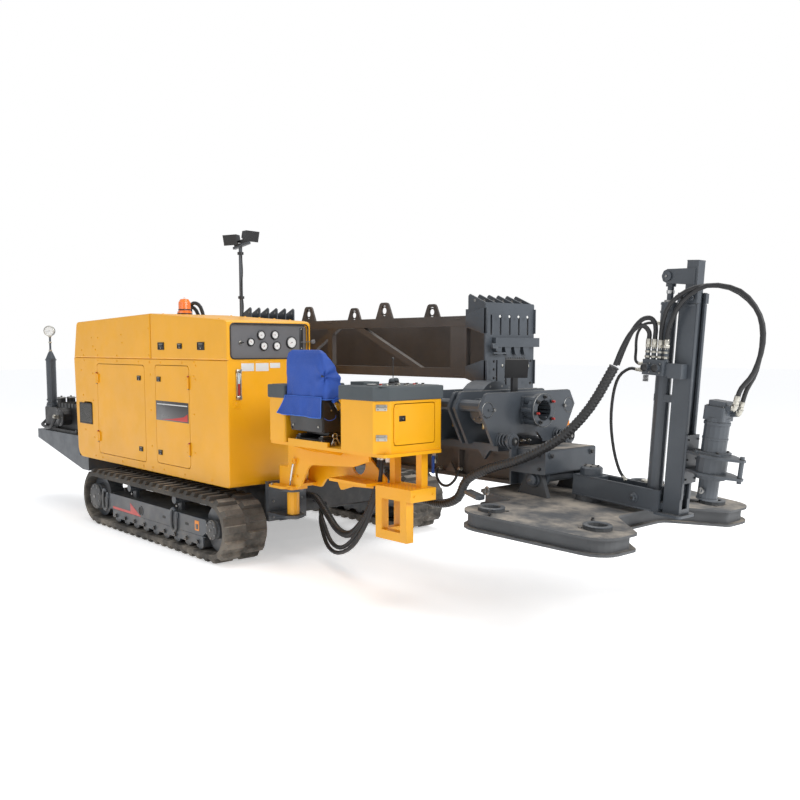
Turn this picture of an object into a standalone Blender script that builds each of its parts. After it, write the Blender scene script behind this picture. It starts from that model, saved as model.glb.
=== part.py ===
"""Horizontal directional drill on rubber tracks, as separate pieces in metres.

Sizes are measured from the drill's datum: the drill line runs along X at y = 0, +X is the
end that drills, +Y is the machine's left and z = 0 is the ground. The empty "machine"
carries every piece and moves that datum so that the middle of the base lies at the origin.
"""
import math

import bmesh
import bpy
from mathutils import Matrix, Vector

# Clearances
GAP = 0.0003            # between pieces that touch
PANEL_GAP = 0.005       # round a door or a lid
RUN = 0.006             # between pieces that pass each other
PIN_PLAY = 0.0015       # between a pin and its eye
FACE_PLAY = 0.0006      # between the side faces of an ear and of what turns or slides in it

# Whole machine
DATUM_TO_MIDDLE_X = 0.9328
TRACK_MIDDLE_Y = -0.06

# Tracks
TRACK_X = 0.05
TRACK_SPREAD = 0.922    # from the middle of the machine to the middle of a shoe
SHOE_WIDTH = 0.364
TRACK_HEIGHT = 0.50
WHEELBASE = 2.06
LUG_HEIGHT = 0.030
BELT_THICKNESS = 0.035
STRAIGHT_STEPS = 36
ARC_STEPS = 12
LUG_TAPER = 0.78

# Chassis and deck
DECK_TOP = 0.5557
DECK_THICKNESS = 0.014
RAIL_BOTTOM = 0.28
RAIL_WIDTH = 0.14
CHASSIS_REAR = -1.4597
CHASSIS_FRONT = 1.26
CHASSIS_RIGHT = -0.66
CHASSIS_LEFT = 0.54
AXLE_HEIGHT = (0.185, 0.315)

# Hood
HOOD_RIGHT = -1.03
HOOD_LEFT = -0.28
HOOD_BOTTOM = 0.556
HOOD_SEAM = 1.50
HOOD_FRONT = 1.16
HOOD_WALL = 0.028
ROOF_KINK = (-0.056, 1.876)
ROOF_REAR = (-1.575, 1.834)
SEAM_REAR = -1.651
HOOD_REAR_FOOT = -1.612
ROOF_FRONT = 1.802

# Drill line, frame and rod box
DRILL_LINE_Z = 1.20
FRAME_BOTTOM = 0.745
FRAME_TOP = 0.95
FRAME_HALF = 0.25
BEAM_WIDTH = 0.08
FRAME_REAR = -1.30
FRAME_FRONT = 3.1997
TILT_PIVOT = (1.05, 0.80)
CARRIAGE_TRAVEL = 2.90
ROD_BOX_NEAR = 0.14
ROD_BOX_FAR = 0.64
ROD_BOX_BOTTOM = 1.378
ROD_BOX_TOP = 1.82
ROD_BOX_REAR = -0.53
ROD_BOX_FRONT = 2.634

# Anchor plate and mast, in the plate's own frame: x forwards and z up from its hinge
PLATE_HINGE = (3.37, 0.79)
PLATE_TILT = math.radians(3.4)
PLATE_DROP = 0.10       # from the hinge down to the plate's top
PLATE_DEPTH = 0.10
PLATE_SKIN = 0.014
POST_X = 0.266
STAKE_CIRCLE = 0.759
STAKE_ANGLES = (50.5, 99.4)
MAST_REACH = 0.585
FEED_REACH = 0.442
MAST_HEIGHT = 1.257
AUGER_LEAN = math.radians(3.0)

# Operator station
POST = (1.50, -0.70)    # the swing post's axis

FINISHES = {
    "yellow": ((0.79, 0.30, 0.008), 0.35, 0.0),
    "slate": ((0.055, 0.066, 0.082), 0.45, 0.0),
    "truss_brown": ((0.045, 0.040, 0.036), 0.50, 0.0),
    "black": ((0.012, 0.012, 0.013), 0.50, 0.0),
    "rubber": ((0.045, 0.042, 0.038), 0.85, 0.0),
    "hose": ((0.014, 0.014, 0.015), 0.60, 0.0),
    "panel_grey": ((0.14, 0.14, 0.145), 0.50, 0.0),
    "console_pad": ((0.07, 0.085, 0.09), 0.70, 0.0),
    "cover_blue": ((0.024, 0.09, 0.38), 0.80, 0.0),
    "amber": ((0.85, 0.22, 0.02), 0.20, 0.0),
    "steel": ((0.55, 0.55, 0.54), 0.30, 1.0),
}


# Shapes

def facets(radius):
    """How many flat sides a round piece of a given radius gets."""
    return 8 if radius < 0.022 else 12 if radius < 0.05 else 16 if radius < 0.10 else 24


def outline(*corners):
    """Points of a closed outline whose corners are (u, v) or (u, v, fillet radius)."""
    points = []
    count = len(corners)
    for index, corner in enumerate(corners):
        here = Vector(corner[:2])
        if len(corner) == 2:
            points.append(here)
            continue
        before = Vector(corners[index - 1][:2]) - here
        after = Vector(corners[(index + 1) % count][:2]) - here
        half = before.angle(after) / 2
        radius = corner[2]
        steps = 2 if radius < 0.035 else 3 if radius < 0.08 else 5
        back = radius / math.tan(half)
        middle = here + (before.normalized() + after.normalized()).normalized() * (radius / math.sin(half))
        first = here + before.normalized() * back - middle
        last = here + after.normalized() * back - middle
        turn = first.angle_signed(last)
        points += [middle + rotated(first, -turn * step / steps) for step in range(steps + 1)]
    return points


def rotated(vector, angle):
    """A flat vector turned anticlockwise by an angle."""
    cosine, sine = math.cos(angle), math.sin(angle)
    return Vector((vector.x * cosine - vector.y * sine, vector.x * sine + vector.y * cosine))


def circle(centre, radius):
    """Points of a round outline."""
    sides = facets(radius)
    return [Vector((centre[0] + radius * math.cos(math.tau * k / sides),
                    centre[1] + radius * math.sin(math.tau * k / sides))) for k in range(sides)]


def prism(points, axis, low, high, soft=0.0):
    """A solid of an outline carried along an axis: 'x' takes (y, z), 'y' (x, z), 'z' (x, y)."""
    place = {"x": lambda u, v: (low, u, v), "y": lambda u, v: (u, low, v), "z": lambda u, v: (u, v, low)}[axis]
    shift = {"x": (high - low, 0, 0), "y": (0, high - low, 0), "z": (0, 0, high - low)}[axis]
    bm = bmesh.new()
    face = bm.faces.new([bm.verts.new(place(p[0], p[1])) for p in points])
    rim = list(face.edges)
    grown = bmesh.ops.extrude_face_region(bm, geom=[face])["geom"]
    bmesh.ops.translate(bm, verts=[g for g in grown if isinstance(g, bmesh.types.BMVert)], vec=shift)
    if soft:
        rim += [g for g in grown if isinstance(g, bmesh.types.BMEdge)]
        bmesh.ops.bevel(bm, geom=rim, offset=soft, segments=2, profile=0.5, affect="EDGES", material=-1)
    bmesh.ops.recalc_face_normals(bm, faces=bm.faces)
    return bm


def block(x, y, z, radius=0.0, axis="z", soft=0.0):
    """A box between pairs of places, with the edges along one axis rounded."""
    spans = {"x": (y, z, x), "y": (x, z, y), "z": (x, y, z)}[axis]
    (u0, u1), (v0, v1), (low, high) = spans
    corners = [(u0, v0), (u1, v0), (u1, v1), (u0, v1)]
    if radius:
        corners = [(u, v, radius) for u, v in corners]
    return prism(outline(*corners), axis, low, high, soft)


def turned(profile, base, direction, sides=0):
    """A solid of (radius, height) points spun about a direction from a base point."""
    sides = sides or facets(max(radius for radius, height in profile))
    bm = bmesh.new()
    verts = [bm.verts.new((radius, 0, height)) for radius, height in profile]
    edges = [bm.edges.new(pair) for pair in zip(verts, verts[1:])]
    if min(profile[0][0], profile[-1][0]) > 0:
        edges.append(bm.edges.new((verts[-1], verts[0])))
    bmesh.ops.spin(bm, geom=verts + edges, cent=(0, 0, 0), axis=(0, 0, 1), angle=math.tau,
                   steps=sides, use_merge=True)
    bmesh.ops.remove_doubles(bm, verts=bm.verts, dist=1e-6)
    turn = Vector(direction).to_track_quat("Z", "Y").to_matrix().to_4x4()
    bmesh.ops.transform(bm, matrix=Matrix.Translation(base) @ turn, verts=bm.verts)
    bmesh.ops.recalc_face_normals(bm, faces=bm.faces)
    return bm


def bar(start, end, radius, sides=0):
    """A round bar between two points."""
    along = Vector(end) - Vector(start)
    return turned([(0, 0), (radius, 0), (radius, along.length), (0, along.length)], start, along, sides)


def strut(start, end, width, depth, side=(0, 1, 0)):
    """A straight square bar between two points, its width along the given side."""
    start, end = Vector(start), Vector(end)
    along = (end - start).normalized()
    across = Vector(side).normalized()
    up = along.cross(across)
    bm = block((-width / 2, width / 2), (-depth / 2, depth / 2), (0, (end - start).length))
    frame = Matrix((across, up, along)).transposed().to_4x4()
    bmesh.ops.transform(bm, matrix=Matrix.Translation(start) @ frame, verts=bm.verts)
    bmesh.ops.recalc_face_normals(bm, faces=bm.faces)
    return bm


def bore(start, end, pin_radius):
    """A faceted hole in which a faceted pin of a given radius can turn."""
    sides = facets(pin_radius)
    return bar(start, end, (pin_radius + PIN_PLAY) / math.cos(math.pi / sides), sides)


# Objects

def to_mesh(bm, name):
    """Write a bmesh to a new mesh and free it."""
    mesh = bpy.data.meshes.new(name)
    bm.to_mesh(mesh)
    bm.free()
    return mesh


def fuse(*stages):
    """Join the first list of solids, cut the second, join the third, cut the fourth, and so on."""
    mesh = to_mesh(stages[0][0], "work")
    rest = [stages[0][1:], *stages[1:]]
    for index, solids in enumerate(rest):
        if not solids:
            continue
        group = bpy.data.collections.new("group")
        helpers = [bpy.data.objects.new("helper", to_mesh(bm, "helper")) for bm in solids]
        for helper in helpers:
            group.objects.link(helper)
        work = bpy.data.objects.new("work", mesh)
        scene_root.objects.link(work)
        modifier = work.modifiers.new("Boolean", "BOOLEAN")
        modifier.operand_type = "COLLECTION"
        modifier.collection = group
        modifier.solver = "EXACT"
        modifier.operation = "DIFFERENCE" if index % 2 else "UNION"
        scene_root.children.link(group)
        graph = bpy.context.evaluated_depsgraph_get()
        mesh = bpy.data.meshes.new_from_object(work.evaluated_get(graph))
        for thing in [work, *helpers]:
            bpy.data.objects.remove(thing)
        bpy.data.collections.remove(group)
    return mesh


def node(name, finish, mesh, carrier=None, pivot=(0, 0, 0)):
    """Make one named object of a mesh, with its origin at a point of its carrier's frame."""
    mesh.name = name
    mesh.transform(Matrix.Translation(-Vector(pivot)))
    mesh.materials.clear()
    mesh.materials.append(materials[finish])
    mesh.shade_smooth()
    mesh.set_sharp_from_angle(angle=math.radians(35))
    thing = bpy.data.objects.new(name, mesh)
    thing.location = pivot
    thing.parent = carrier or machine
    scene_root.objects.link(thing)
    return thing


def carrier_empty(name, location, rotation=(0, 0, 0), parent=None):
    """Make an empty on which pieces are placed."""
    thing = bpy.data.objects.new(name, None)
    thing.location = location
    thing.rotation_euler = rotation
    thing.parent = parent or machine
    scene_root.objects.link(thing)
    return thing


def hose(name, route, radius, finish="hose", resolution=2, per_span=3):
    """Make a cord through a route of points, on one smooth curve."""
    route = [Vector(p) for p in route]
    ends = [route[0] * 2 - route[1], *route, route[-1] * 2 - route[-2]]
    points = []
    for a, b, c, d in zip(ends, ends[1:], ends[2:], ends[3:]):
        for step in range(per_span):
            t = step / per_span
            points.append((b * 2 + (c - a) * t + (a * 2 - b * 5 + c * 4 - d) * t * t
                           + (b * 3 - a - c * 3 + d) * t ** 3) / 2)
    points.append(route[-1])
    curve = bpy.data.curves.new(name, "CURVE")
    curve.dimensions = "3D"
    spline = curve.splines.new("POLY")
    spline.points.add(len(points) - 1)
    for point, place in zip(spline.points, points):
        point.co = (*place, 1)
    curve.bevel_depth = radius
    curve.bevel_resolution = resolution
    curve.use_fill_caps = True
    curve.materials.append(materials[finish])
    thing = bpy.data.objects.new(name, curve)
    thing.parent = machine
    scene_root.objects.link(thing)
    return thing


for old in list(bpy.data.objects):
    bpy.data.objects.remove(old)

scene_root = bpy.context.scene.collection
materials = {}
for finish_name, (colour, roughness, metallic) in FINISHES.items():
    material = bpy.data.materials.new(finish_name)
    material.use_nodes = True
    shader = material.node_tree.nodes["Principled BSDF"]
    shader.inputs["Base Color"].default_value = (*colour, 1)
    shader.inputs["Roughness"].default_value = roughness
    shader.inputs["Metallic"].default_value = metallic
    materials[finish_name] = material

machine = bpy.data.objects.new("machine", None)
machine.location = (-DATUM_TO_MIDDLE_X, -TRACK_MIDDLE_Y, 0)
scene_root.objects.link(machine)


# Tracks, and the frames, wheels and rollers inside them

belt_radius = TRACK_HEIGHT / 2 - LUG_HEIGHT
belt_inner = belt_radius - BELT_THICKNESS
wheel_z = TRACK_HEIGHT / 2
wheel_radius = belt_inner * math.cos(math.pi / 2 / ARC_STEPS) - GAP


def track_station(index):
    """The middle of the turn, and the outward direction, at one step round the belt."""
    index %= 2 * (STRAIGHT_STEPS + ARC_STEPS)
    half, step = divmod(index, STRAIGHT_STEPS + ARC_STEPS)
    side = -1 if half == 0 else 1
    if step <= STRAIGHT_STEPS:
        along = (step / STRAIGHT_STEPS - 0.5) * WHEELBASE * -side
        return Vector((TRACK_X + along, 0, wheel_z)), Vector((0, 0, side))
    angle = (step - STRAIGHT_STEPS) / ARC_STEPS * math.pi
    middle = Vector((TRACK_X - side * WHEELBASE / 2, 0, wheel_z))
    return middle, Vector((-side * math.sin(angle), 0, side * math.cos(angle)))


def track_mesh(middle_y):
    """One rubber belt with two staggered rows of lugs."""
    bm = bmesh.new()
    count = 2 * (STRAIGHT_STEPS + ARC_STEPS)
    outer, inner = [], []
    for index in range(count):
        centre, out = track_station(index)
        across = [Vector((0, middle_y + share * SHOE_WIDTH / 2, 0)) for share in (-1, 0, 1)]
        outer.append([bm.verts.new(centre + out * belt_radius + offset) for offset in across])
        inner.append([bm.verts.new(centre + out * belt_inner + across[k]) for k in (0, 2)])
    lug_faces = []
    for index in range(count):
        after = (index + 1) % count
        a, b, c, d = outer[index], outer[after], inner[index], inner[after]
        rows = [bm.faces.new((a[k], b[k], b[k + 1], a[k + 1])) for k in (0, 1)]
        lug_faces.append(rows[index % 2])
        bm.faces.new((c[0], d[0], d[1], c[1]))
        bm.faces.new((a[0], b[0], d[0], c[0]))
        bm.faces.new((a[2], b[2], d[1], c[1]))
    bmesh.ops.recalc_face_normals(bm, faces=bm.faces)
    for face in bmesh.ops.extrude_discrete_faces(bm, faces=lug_faces)["faces"]:
        middle = face.calc_center_median()
        lift = face.normal * LUG_HEIGHT
        for vert in face.verts:
            vert.co = middle + (vert.co - middle) * LUG_TAPER + lift
    bmesh.ops.recalc_face_normals(bm, faces=bm.faces)
    return to_mesh(bm, "track")


ROLLER_COUNT = 9
ROLLER_SPAN = (-0.562, 0.868)
ROLLER_RADIUS = 0.062
FRAME_SPAN = (0.165, 0.010)     # the frame's outer and inner faces, from the shoe's middle
BEAM_Z = (0.178, 0.312)
CARRIER_X = (-0.33, 0.47)
CARRIER_RADIUS = 0.035


def track_frame_mesh(middle_y, outwards):
    """The beam inside a track, with its drive wheel, idler, rollers and covers."""
    out = middle_y + outwards * 0.158
    face = middle_y + outwards * 0.142
    inside = middle_y - outwards * (SHOE_WIDTH / 2 - 0.018)
    roller_z = TRACK_HEIGHT / 2 - belt_inner + GAP + ROLLER_RADIUS
    carrier_z = TRACK_HEIGHT / 2 + belt_inner - GAP - CARRIER_RADIUS
    rear_x, front_x = TRACK_X - WHEELBASE / 2, TRACK_X + WHEELBASE / 2
    solids = [prism(outline((-0.80, BEAM_Z[0], 0.02), (0.93, BEAM_Z[0], 0.02), (1.00, 0.22, 0.02),
                            (1.00, BEAM_Z[1], 0.02), (-0.68, BEAM_Z[1], 0.02), (-0.80, 0.26, 0.02)),
                    "y", *sorted((inside, out)))]
    for y in (out - outwards * 0.012, inside + outwards * 0.012):
        solids.append(block((-0.64, 0.94), sorted((y - 0.008, y + 0.008)), (0.108, BEAM_Z[0] + 0.02)))
    for index in range(ROLLER_COUNT):
        x = ROLLER_SPAN[0] + (ROLLER_SPAN[1] - ROLLER_SPAN[0]) * index / (ROLLER_COUNT - 1)
        solids.append(bar((x, face, roller_z), (x, inside + outwards * 0.03, roller_z), ROLLER_RADIUS, 8))
    for x in CARRIER_X:
        solids.append(bar((x, face, carrier_z), (x, middle_y - outwards * 0.05, carrier_z), CARRIER_RADIUS, 8))
        solids.append(block((x - 0.03, x + 0.03), sorted((face - outwards * 0.05, face - outwards * 0.08)),
                            (BEAM_Z[1] - 0.02, carrier_z)))
    for x, hub in ((rear_x, 0.115), (front_x, 0.075)):
        solids.append(bar((x, face - outwards * 0.05, wheel_z), (x, face - outwards * 0.17, wheel_z),
                          wheel_radius, 24))
        solids.append(turned([(0, 0), (hub, 0), (hub, 0.045), (hub * 0.8, 0.066), (0, 0.066)],
                             (x, face - outwards * 0.052, wheel_z), (0, outwards, 0)))
    solids.append(block((rear_x, -0.74), sorted((face - outwards * 0.06, inside)), (0.20, 0.30)))
    solids.append(block((0.95, front_x), sorted((face - outwards * 0.06, inside)), (0.20, 0.29)))
    return fuse(solids)


for side_name, outwards in (("right", -1), ("left", 1)):
    shoe_y = TRACK_MIDDLE_Y + outwards * TRACK_SPREAD
    node("track_" + side_name, "rubber", track_mesh(shoe_y))
    node("track_frame_" + side_name, "slate", track_frame_mesh(shoe_y, outwards))


# Chassis

frame_inner = TRACK_SPREAD - SHOE_WIDTH / 2 + 0.018
axle_ends = (TRACK_MIDDLE_Y - frame_inner - 0.0 + GAP, TRACK_MIDDLE_Y + frame_inner - GAP)
AXLES_X = ((-0.52, -0.30), (0.42, 0.64))
PIVOT_EAR = 0.135
FRAME_PIN = 0.035
LIFT_FOOT = (0.532, 0.430)
LIFT_HEAD = (0.535, 0.715)
LIFT_PIN = 0.018
LIFT_EAR = (0.034, 0.052)
LIFT_WELL = 0.075       # half the side of the hole that the cylinder stands in
AXLE_BOX_TOP = 0.40

chassis_solids = [
    block((CHASSIS_REAR, CHASSIS_FRONT), (CHASSIS_RIGHT, CHASSIS_LEFT), (DECK_TOP - DECK_THICKNESS, DECK_TOP)),
]
for y in (CHASSIS_RIGHT + 0.02, CHASSIS_LEFT - 0.02 - RAIL_WIDTH):
    chassis_solids.append(block((CHASSIS_REAR, CHASSIS_FRONT - 0.02), (y, y + RAIL_WIDTH),
                                (RAIL_BOTTOM, DECK_TOP - 0.004)))
for x in (CHASSIS_REAR, -0.45, 0.72, CHASSIS_FRONT - 0.16):
    chassis_solids.append(block((x, x + 0.12), (CHASSIS_RIGHT + 0.03, CHASSIS_LEFT - 0.03),
                                (0.33, DECK_TOP - 0.005)))
for low_x, high_x in AXLES_X:
    chassis_solids.append(block((low_x, high_x), axle_ends, AXLE_HEIGHT, 0.02, "y"))
    chassis_solids.append(block((low_x + 0.01, high_x - 0.01), (CHASSIS_RIGHT + 0.03, CHASSIS_LEFT - 0.03),
                                (0.20, AXLE_BOX_TOP)))
chassis_solids.append(prism(outline((0.90, DECK_TOP - 0.01), (1.22, DECK_TOP - 0.01), (1.13, TILT_PIVOT[1] + 0.03, 0.05),
                                    (0.97, TILT_PIVOT[1] + 0.03, 0.05)), "y", -PIVOT_EAR, PIVOT_EAR))
for y in (-LIFT_EAR[1], LIFT_EAR[0]):
    chassis_solids.append(prism(outline((LIFT_FOOT[0] - 0.05, AXLE_BOX_TOP - 0.005), (LIFT_FOOT[0] + 0.05, AXLE_BOX_TOP - 0.005),
                                        (LIFT_FOOT[0] + 0.03, LIFT_FOOT[1] + 0.03, 0.015),
                                        (LIFT_FOOT[0] - 0.03, LIFT_FOOT[1] + 0.03, 0.015)),
                                "y", y, y + LIFT_EAR[1] - LIFT_EAR[0]))
chassis_cuts = [
    bore((TILT_PIVOT[0], -0.3, TILT_PIVOT[1]), (TILT_PIVOT[0], 0.3, TILT_PIVOT[1]), FRAME_PIN),
    block((LIFT_FOOT[0] - LIFT_WELL, LIFT_FOOT[0] + LIFT_WELL), (-LIFT_WELL, LIFT_WELL), (0.50, 0.60)),
]
lift_pin = bar((LIFT_FOOT[0], -LIFT_EAR[1] - 0.01, LIFT_FOOT[1]), (LIFT_FOOT[0], LIFT_EAR[1] + 0.01, LIFT_FOOT[1]),
               LIFT_PIN)
node("chassis", "black", fuse(chassis_solids, chassis_cuts, [lift_pin]))


# Hood: the lower box, the rear roof, the lid over the gauges, two doors and the engine

DOORS = {                       # name: rear edge, front edge, sill, head, hinge edge
    "door_rear": (-1.125, -0.180, 0.630, 1.445, "rear"),
    "door_front": (0.021, 0.580, 0.647, 1.450, "front"),
}
DOOR_CORNER = 0.03
LEDGE = 0.07
LID_FRONT_WALL = 0.022
PANEL_FACE = HOOD_FRONT - LID_FRONT_WALL - GAP
GAUGE_SPAN = (-1.000, -0.310)
GAUGE_Z = (1.516, 1.770)
PANEL_THICKNESS = 0.030
LID_REAR = ROOF_KINK[0] + PANEL_GAP
SEAM_GAP = GAP


def rear_at(z):
    """Where the sloping rear wall stands at a height below the seam."""
    share = (z - HOOD_BOTTOM) / (HOOD_SEAM - HOOD_BOTTOM)
    return HOOD_REAR_FOOT + (SEAM_REAR - HOOD_REAR_FOOT) * share


inner_y = (HOOD_RIGHT + HOOD_WALL, HOOD_LEFT - HOOD_WALL)
seam_under = HOOD_SEAM - SEAM_GAP / 2
body_outline = outline((rear_at(HOOD_BOTTOM), HOOD_BOTTOM, 0.10), (HOOD_FRONT, HOOD_BOTTOM, 0.03),
                       (HOOD_FRONT, seam_under), (rear_at(seam_under), seam_under))
floor_top = HOOD_BOTTOM + HOOD_WALL
body_space = outline((rear_at(floor_top) + HOOD_WALL, floor_top, 0.08), (HOOD_FRONT - HOOD_WALL, floor_top),
                     (HOOD_FRONT - HOOD_WALL, HOOD_SEAM - 0.05), (HOOD_FRONT - LEDGE, HOOD_SEAM - 0.035),
                     (HOOD_FRONT - LEDGE, 1.7), (rear_at(seam_under) + HOOD_WALL, 1.7),
                     (rear_at(seam_under) + HOOD_WALL, seam_under))
door_cuts = []
for rear, front, sill, head, hinge in DOORS.values():
    door_cuts.append(block((rear - PANEL_GAP, front + PANEL_GAP), (HOOD_RIGHT - 0.05, inner_y[0] + 0.01),
                           (sill - PANEL_GAP, head + PANEL_GAP), DOOR_CORNER, "y"))
window = (-1.45, -1.26, 0.90, 1.09)
door_cuts.append(block(window[:2], (HOOD_RIGHT - 0.05, inner_y[0] + 0.01), window[2:], 0.02, "y"))
POLE_X = 0.045
PINS = {"door_rear": (1.317, 1.206, 0.733), "door_front": (1.337, 0.80)}
pole_bracket = block((POLE_X - 0.05, POLE_X + 0.05), (HOOD_LEFT - 0.01, HOOD_LEFT + 0.045), (1.36, 1.44))
node("hood_body", "yellow",
     fuse([prism(body_outline, "y", HOOD_RIGHT, HOOD_LEFT, 0.006)],
          [prism(body_space, "y", *inner_y), *door_cuts], [pole_bracket]))

for door_name, (rear, front, sill, head, hinge) in DOORS.items():
    axis_x = rear - PANEL_GAP / 2 if hinge == "rear" else front + PANEL_GAP / 2
    panel = block((rear, front), (HOOD_RIGHT, HOOD_RIGHT + 0.022), (sill, head), DOOR_CORNER, "y")
    knuckles = []
    for z in (head - 0.13, sill + 0.15):
        knuckles.append(bar((axis_x, HOOD_RIGHT - 0.008, z - 0.045), (axis_x, HOOD_RIGHT - 0.008, z + 0.045),
                            0.0079, 12))
        inwards = 1 if hinge == "rear" else -1
        knuckles.append(block(sorted((axis_x + inwards * 0.004, axis_x + inwards * 0.040)),
                              (HOOD_RIGHT - 0.012, HOOD_RIGHT + 0.004), (z - 0.04, z + 0.04)))
    node(door_name, "yellow", fuse([panel, *knuckles]), pivot=(axis_x, HOOD_RIGHT - 0.008, (sill + head) / 2))

seam_over = HOOD_SEAM + SEAM_GAP / 2
roof_rear = outline((SEAM_REAR, seam_over), (ROOF_KINK[0] - PANEL_GAP, seam_over),
                    (ROOF_KINK[0] - PANEL_GAP, ROOF_KINK[1]), (*ROOF_REAR, 0.04))
roof_space = outline((SEAM_REAR + HOOD_WALL, 1.3), (ROOF_KINK[0] - PANEL_GAP - HOOD_WALL, 1.3),
                     (ROOF_KINK[0] - PANEL_GAP - HOOD_WALL, ROOF_KINK[1] - HOOD_WALL),
                     (ROOF_REAR[0] + HOOD_WALL, ROOF_REAR[1] - HOOD_WALL),
                     (SEAM_REAR + HOOD_WALL, seam_over))
node("hood_roof", "yellow", fuse([prism(roof_rear, "y", HOOD_RIGHT, HOOD_LEFT, 0.014)],
                                 [prism(roof_space, "y", *inner_y)]))

lid_shape = outline((LID_REAR, seam_over), (HOOD_FRONT, seam_over), (HOOD_FRONT, ROOF_FRONT - 0.012, 0.03),
                    (1.09, ROOF_FRONT, 0.06), (LID_REAR, ROOF_KINK[1]))
lid_space = outline((LID_REAR + HOOD_WALL, 1.3), (HOOD_FRONT - LID_FRONT_WALL, 1.3),
                    (HOOD_FRONT - LID_FRONT_WALL, ROOF_FRONT - 0.016), (1.07, ROOF_FRONT - 0.014),
                    (LID_REAR + HOOD_WALL, ROOF_KINK[1] - HOOD_WALL))
lid_window = block((HOOD_FRONT - 0.1, HOOD_FRONT + 0.1), GAUGE_SPAN, GAUGE_Z, 0.025, "x")
node("hood_lid", "yellow", fuse([prism(lid_shape, "y", HOOD_RIGHT, HOOD_LEFT, 0.014)],
                                [prism(lid_space, "y", *inner_y), lid_window]),
     pivot=(ROOF_KINK[0], (HOOD_RIGHT + HOOD_LEFT) / 2, ROOF_KINK[1]))

GAUGES = (                      # y, z, radius
    (-0.818, 1.637, 0.026), (-0.726, 1.689, 0.030), (-0.604, 1.691, 0.030),
    (-0.704, 1.607, 0.030), (-0.587, 1.608, 0.030), (-0.452, 1.634, 0.042),
)
gauge_solids = [block((PANEL_FACE - PANEL_THICKNESS, PANEL_FACE), (inner_y[0] + GAP, inner_y[1] - GAP),
                      (GAUGE_Z[0] - 0.014, GAUGE_Z[1] + 0.014))]
for y, z, radius in GAUGES:
    gauge_solids.append(turned([(0, -0.01), (radius, -0.01), (radius, 0.010), (0, 0.010)], (PANEL_FACE, y, z), (1, 0, 0)))
gauge_solids.append(strut((PANEL_FACE - 0.01, -0.372, 1.637), (PANEL_FACE + 0.075, -0.30, 1.642), 0.008, 0.008))
gauge_solids.append(turned([(0, 0), (0.012, 0), (0.017, 0.012), (0.017, 0.028), (0, 0.034)],
                           (PANEL_FACE + 0.065, -0.308, 1.640), (0.75, 0.65, 0)))
node("gauge_panel", "panel_grey", fuse(gauge_solids))

node("engine_block", "black",
     fuse([block((-1.12, -0.08), (-0.88, -0.40), (floor_top + GAP, 1.22), 0.03, "z")]))

BEACON_RADIUS = 0.062
beacon_x, beacon_y = -0.16, -0.65
beacon_z = ROOF_KINK[1] + (ROOF_REAR[1] - ROOF_KINK[1]) * (beacon_x - ROOF_KINK[0]) / (ROOF_REAR[0] - ROOF_KINK[0])
beacon_foot = BEACON_RADIUS * (ROOF_KINK[1] - ROOF_REAR[1]) / (ROOF_KINK[0] - ROOF_REAR[0]) + GAP
node("beacon", "amber",
     fuse([turned([(0, beacon_foot), (BEACON_RADIUS, beacon_foot), (BEACON_RADIUS, 0.030), (0.052, 0.034), (0.050, 0.110),
                   (0.036, 0.135), (0, 0.142)], (beacon_x, beacon_y, beacon_z), (0, 0, 1))]))

pole_y = HOOD_LEFT + 0.07
node("lamp_pole", "slate",
     fuse([bar((POLE_X, pole_y, 1.30), (POLE_X, pole_y, 2.47), 0.016),
           block((POLE_X - 0.04, POLE_X + 0.04), (HOOD_LEFT + 0.045 + GAP, pole_y + 0.004), (1.37, 1.43)),
           strut((POLE_X - 0.10, pole_y, 2.462), (POLE_X + 0.14, pole_y, 2.492), 0.03, 0.02)]))


def lamp_solids(place, towards, width=0.15, height=0.095, depth=0.075):
    """A work lamp's tapered housing, with its face to a direction."""
    back = block((-width * 0.36, width * 0.36), (-height * 0.30, height * 0.30), (-depth / 2, depth / 2))
    for vert in back.verts:
        if vert.co.z > 0:
            vert.co.x *= 1.39
            vert.co.y *= 1.6
    turn = Vector(towards).to_track_quat("Z", "Y").to_matrix().to_4x4()
    bmesh.ops.transform(back, matrix=Matrix.Translation(place) @ turn, verts=back.verts)
    return back


node("work_lamps", "black",
     fuse([lamp_solids((POLE_X - 0.075, pole_y - 0.03, 2.535), (0.35, -1, -0.25)),
           lamp_solids((POLE_X + 0.115, pole_y + 0.02, 2.555), (1, 0.15, -0.25)),
           strut((POLE_X - 0.08, pole_y, 2.4928), (POLE_X + 0.12, pole_y, 2.5178), 0.03, 0.0352)]))


# Mud pump on its rear platform

PLATFORM_REAR = -2.75
PLATFORM_TOP = 0.74
PLATFORM_SIDES = (-1.00, -0.45)
gusset = outline((-1.46, 0.42, 0.02), (-1.46, 0.553), (HOOD_REAR_FOOT - 0.045, 0.553), (HOOD_REAR_FOOT - 0.075, PLATFORM_TOP),
                 (PLATFORM_REAR, PLATFORM_TOP), (PLATFORM_REAR, 0.65), (-1.60, 0.42, 0.05))
platform = [prism(gusset, "y", PLATFORM_SIDES[0], PLATFORM_SIDES[0] + 0.02),
            prism(gusset, "y", PLATFORM_SIDES[1] - 0.02, PLATFORM_SIDES[1]),
            block((PLATFORM_REAR, HOOD_REAR_FOOT - 0.075), PLATFORM_SIDES, (PLATFORM_TOP - 0.014, PLATFORM_TOP)),
            block((PLATFORM_REAR, PLATFORM_REAR + 0.02), PLATFORM_SIDES, (0.65, PLATFORM_TOP)),
            block((-1.50, -1.46), PLATFORM_SIDES, (0.42, 0.553))]
node("pump_platform", "slate", fuse(platform))

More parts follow.
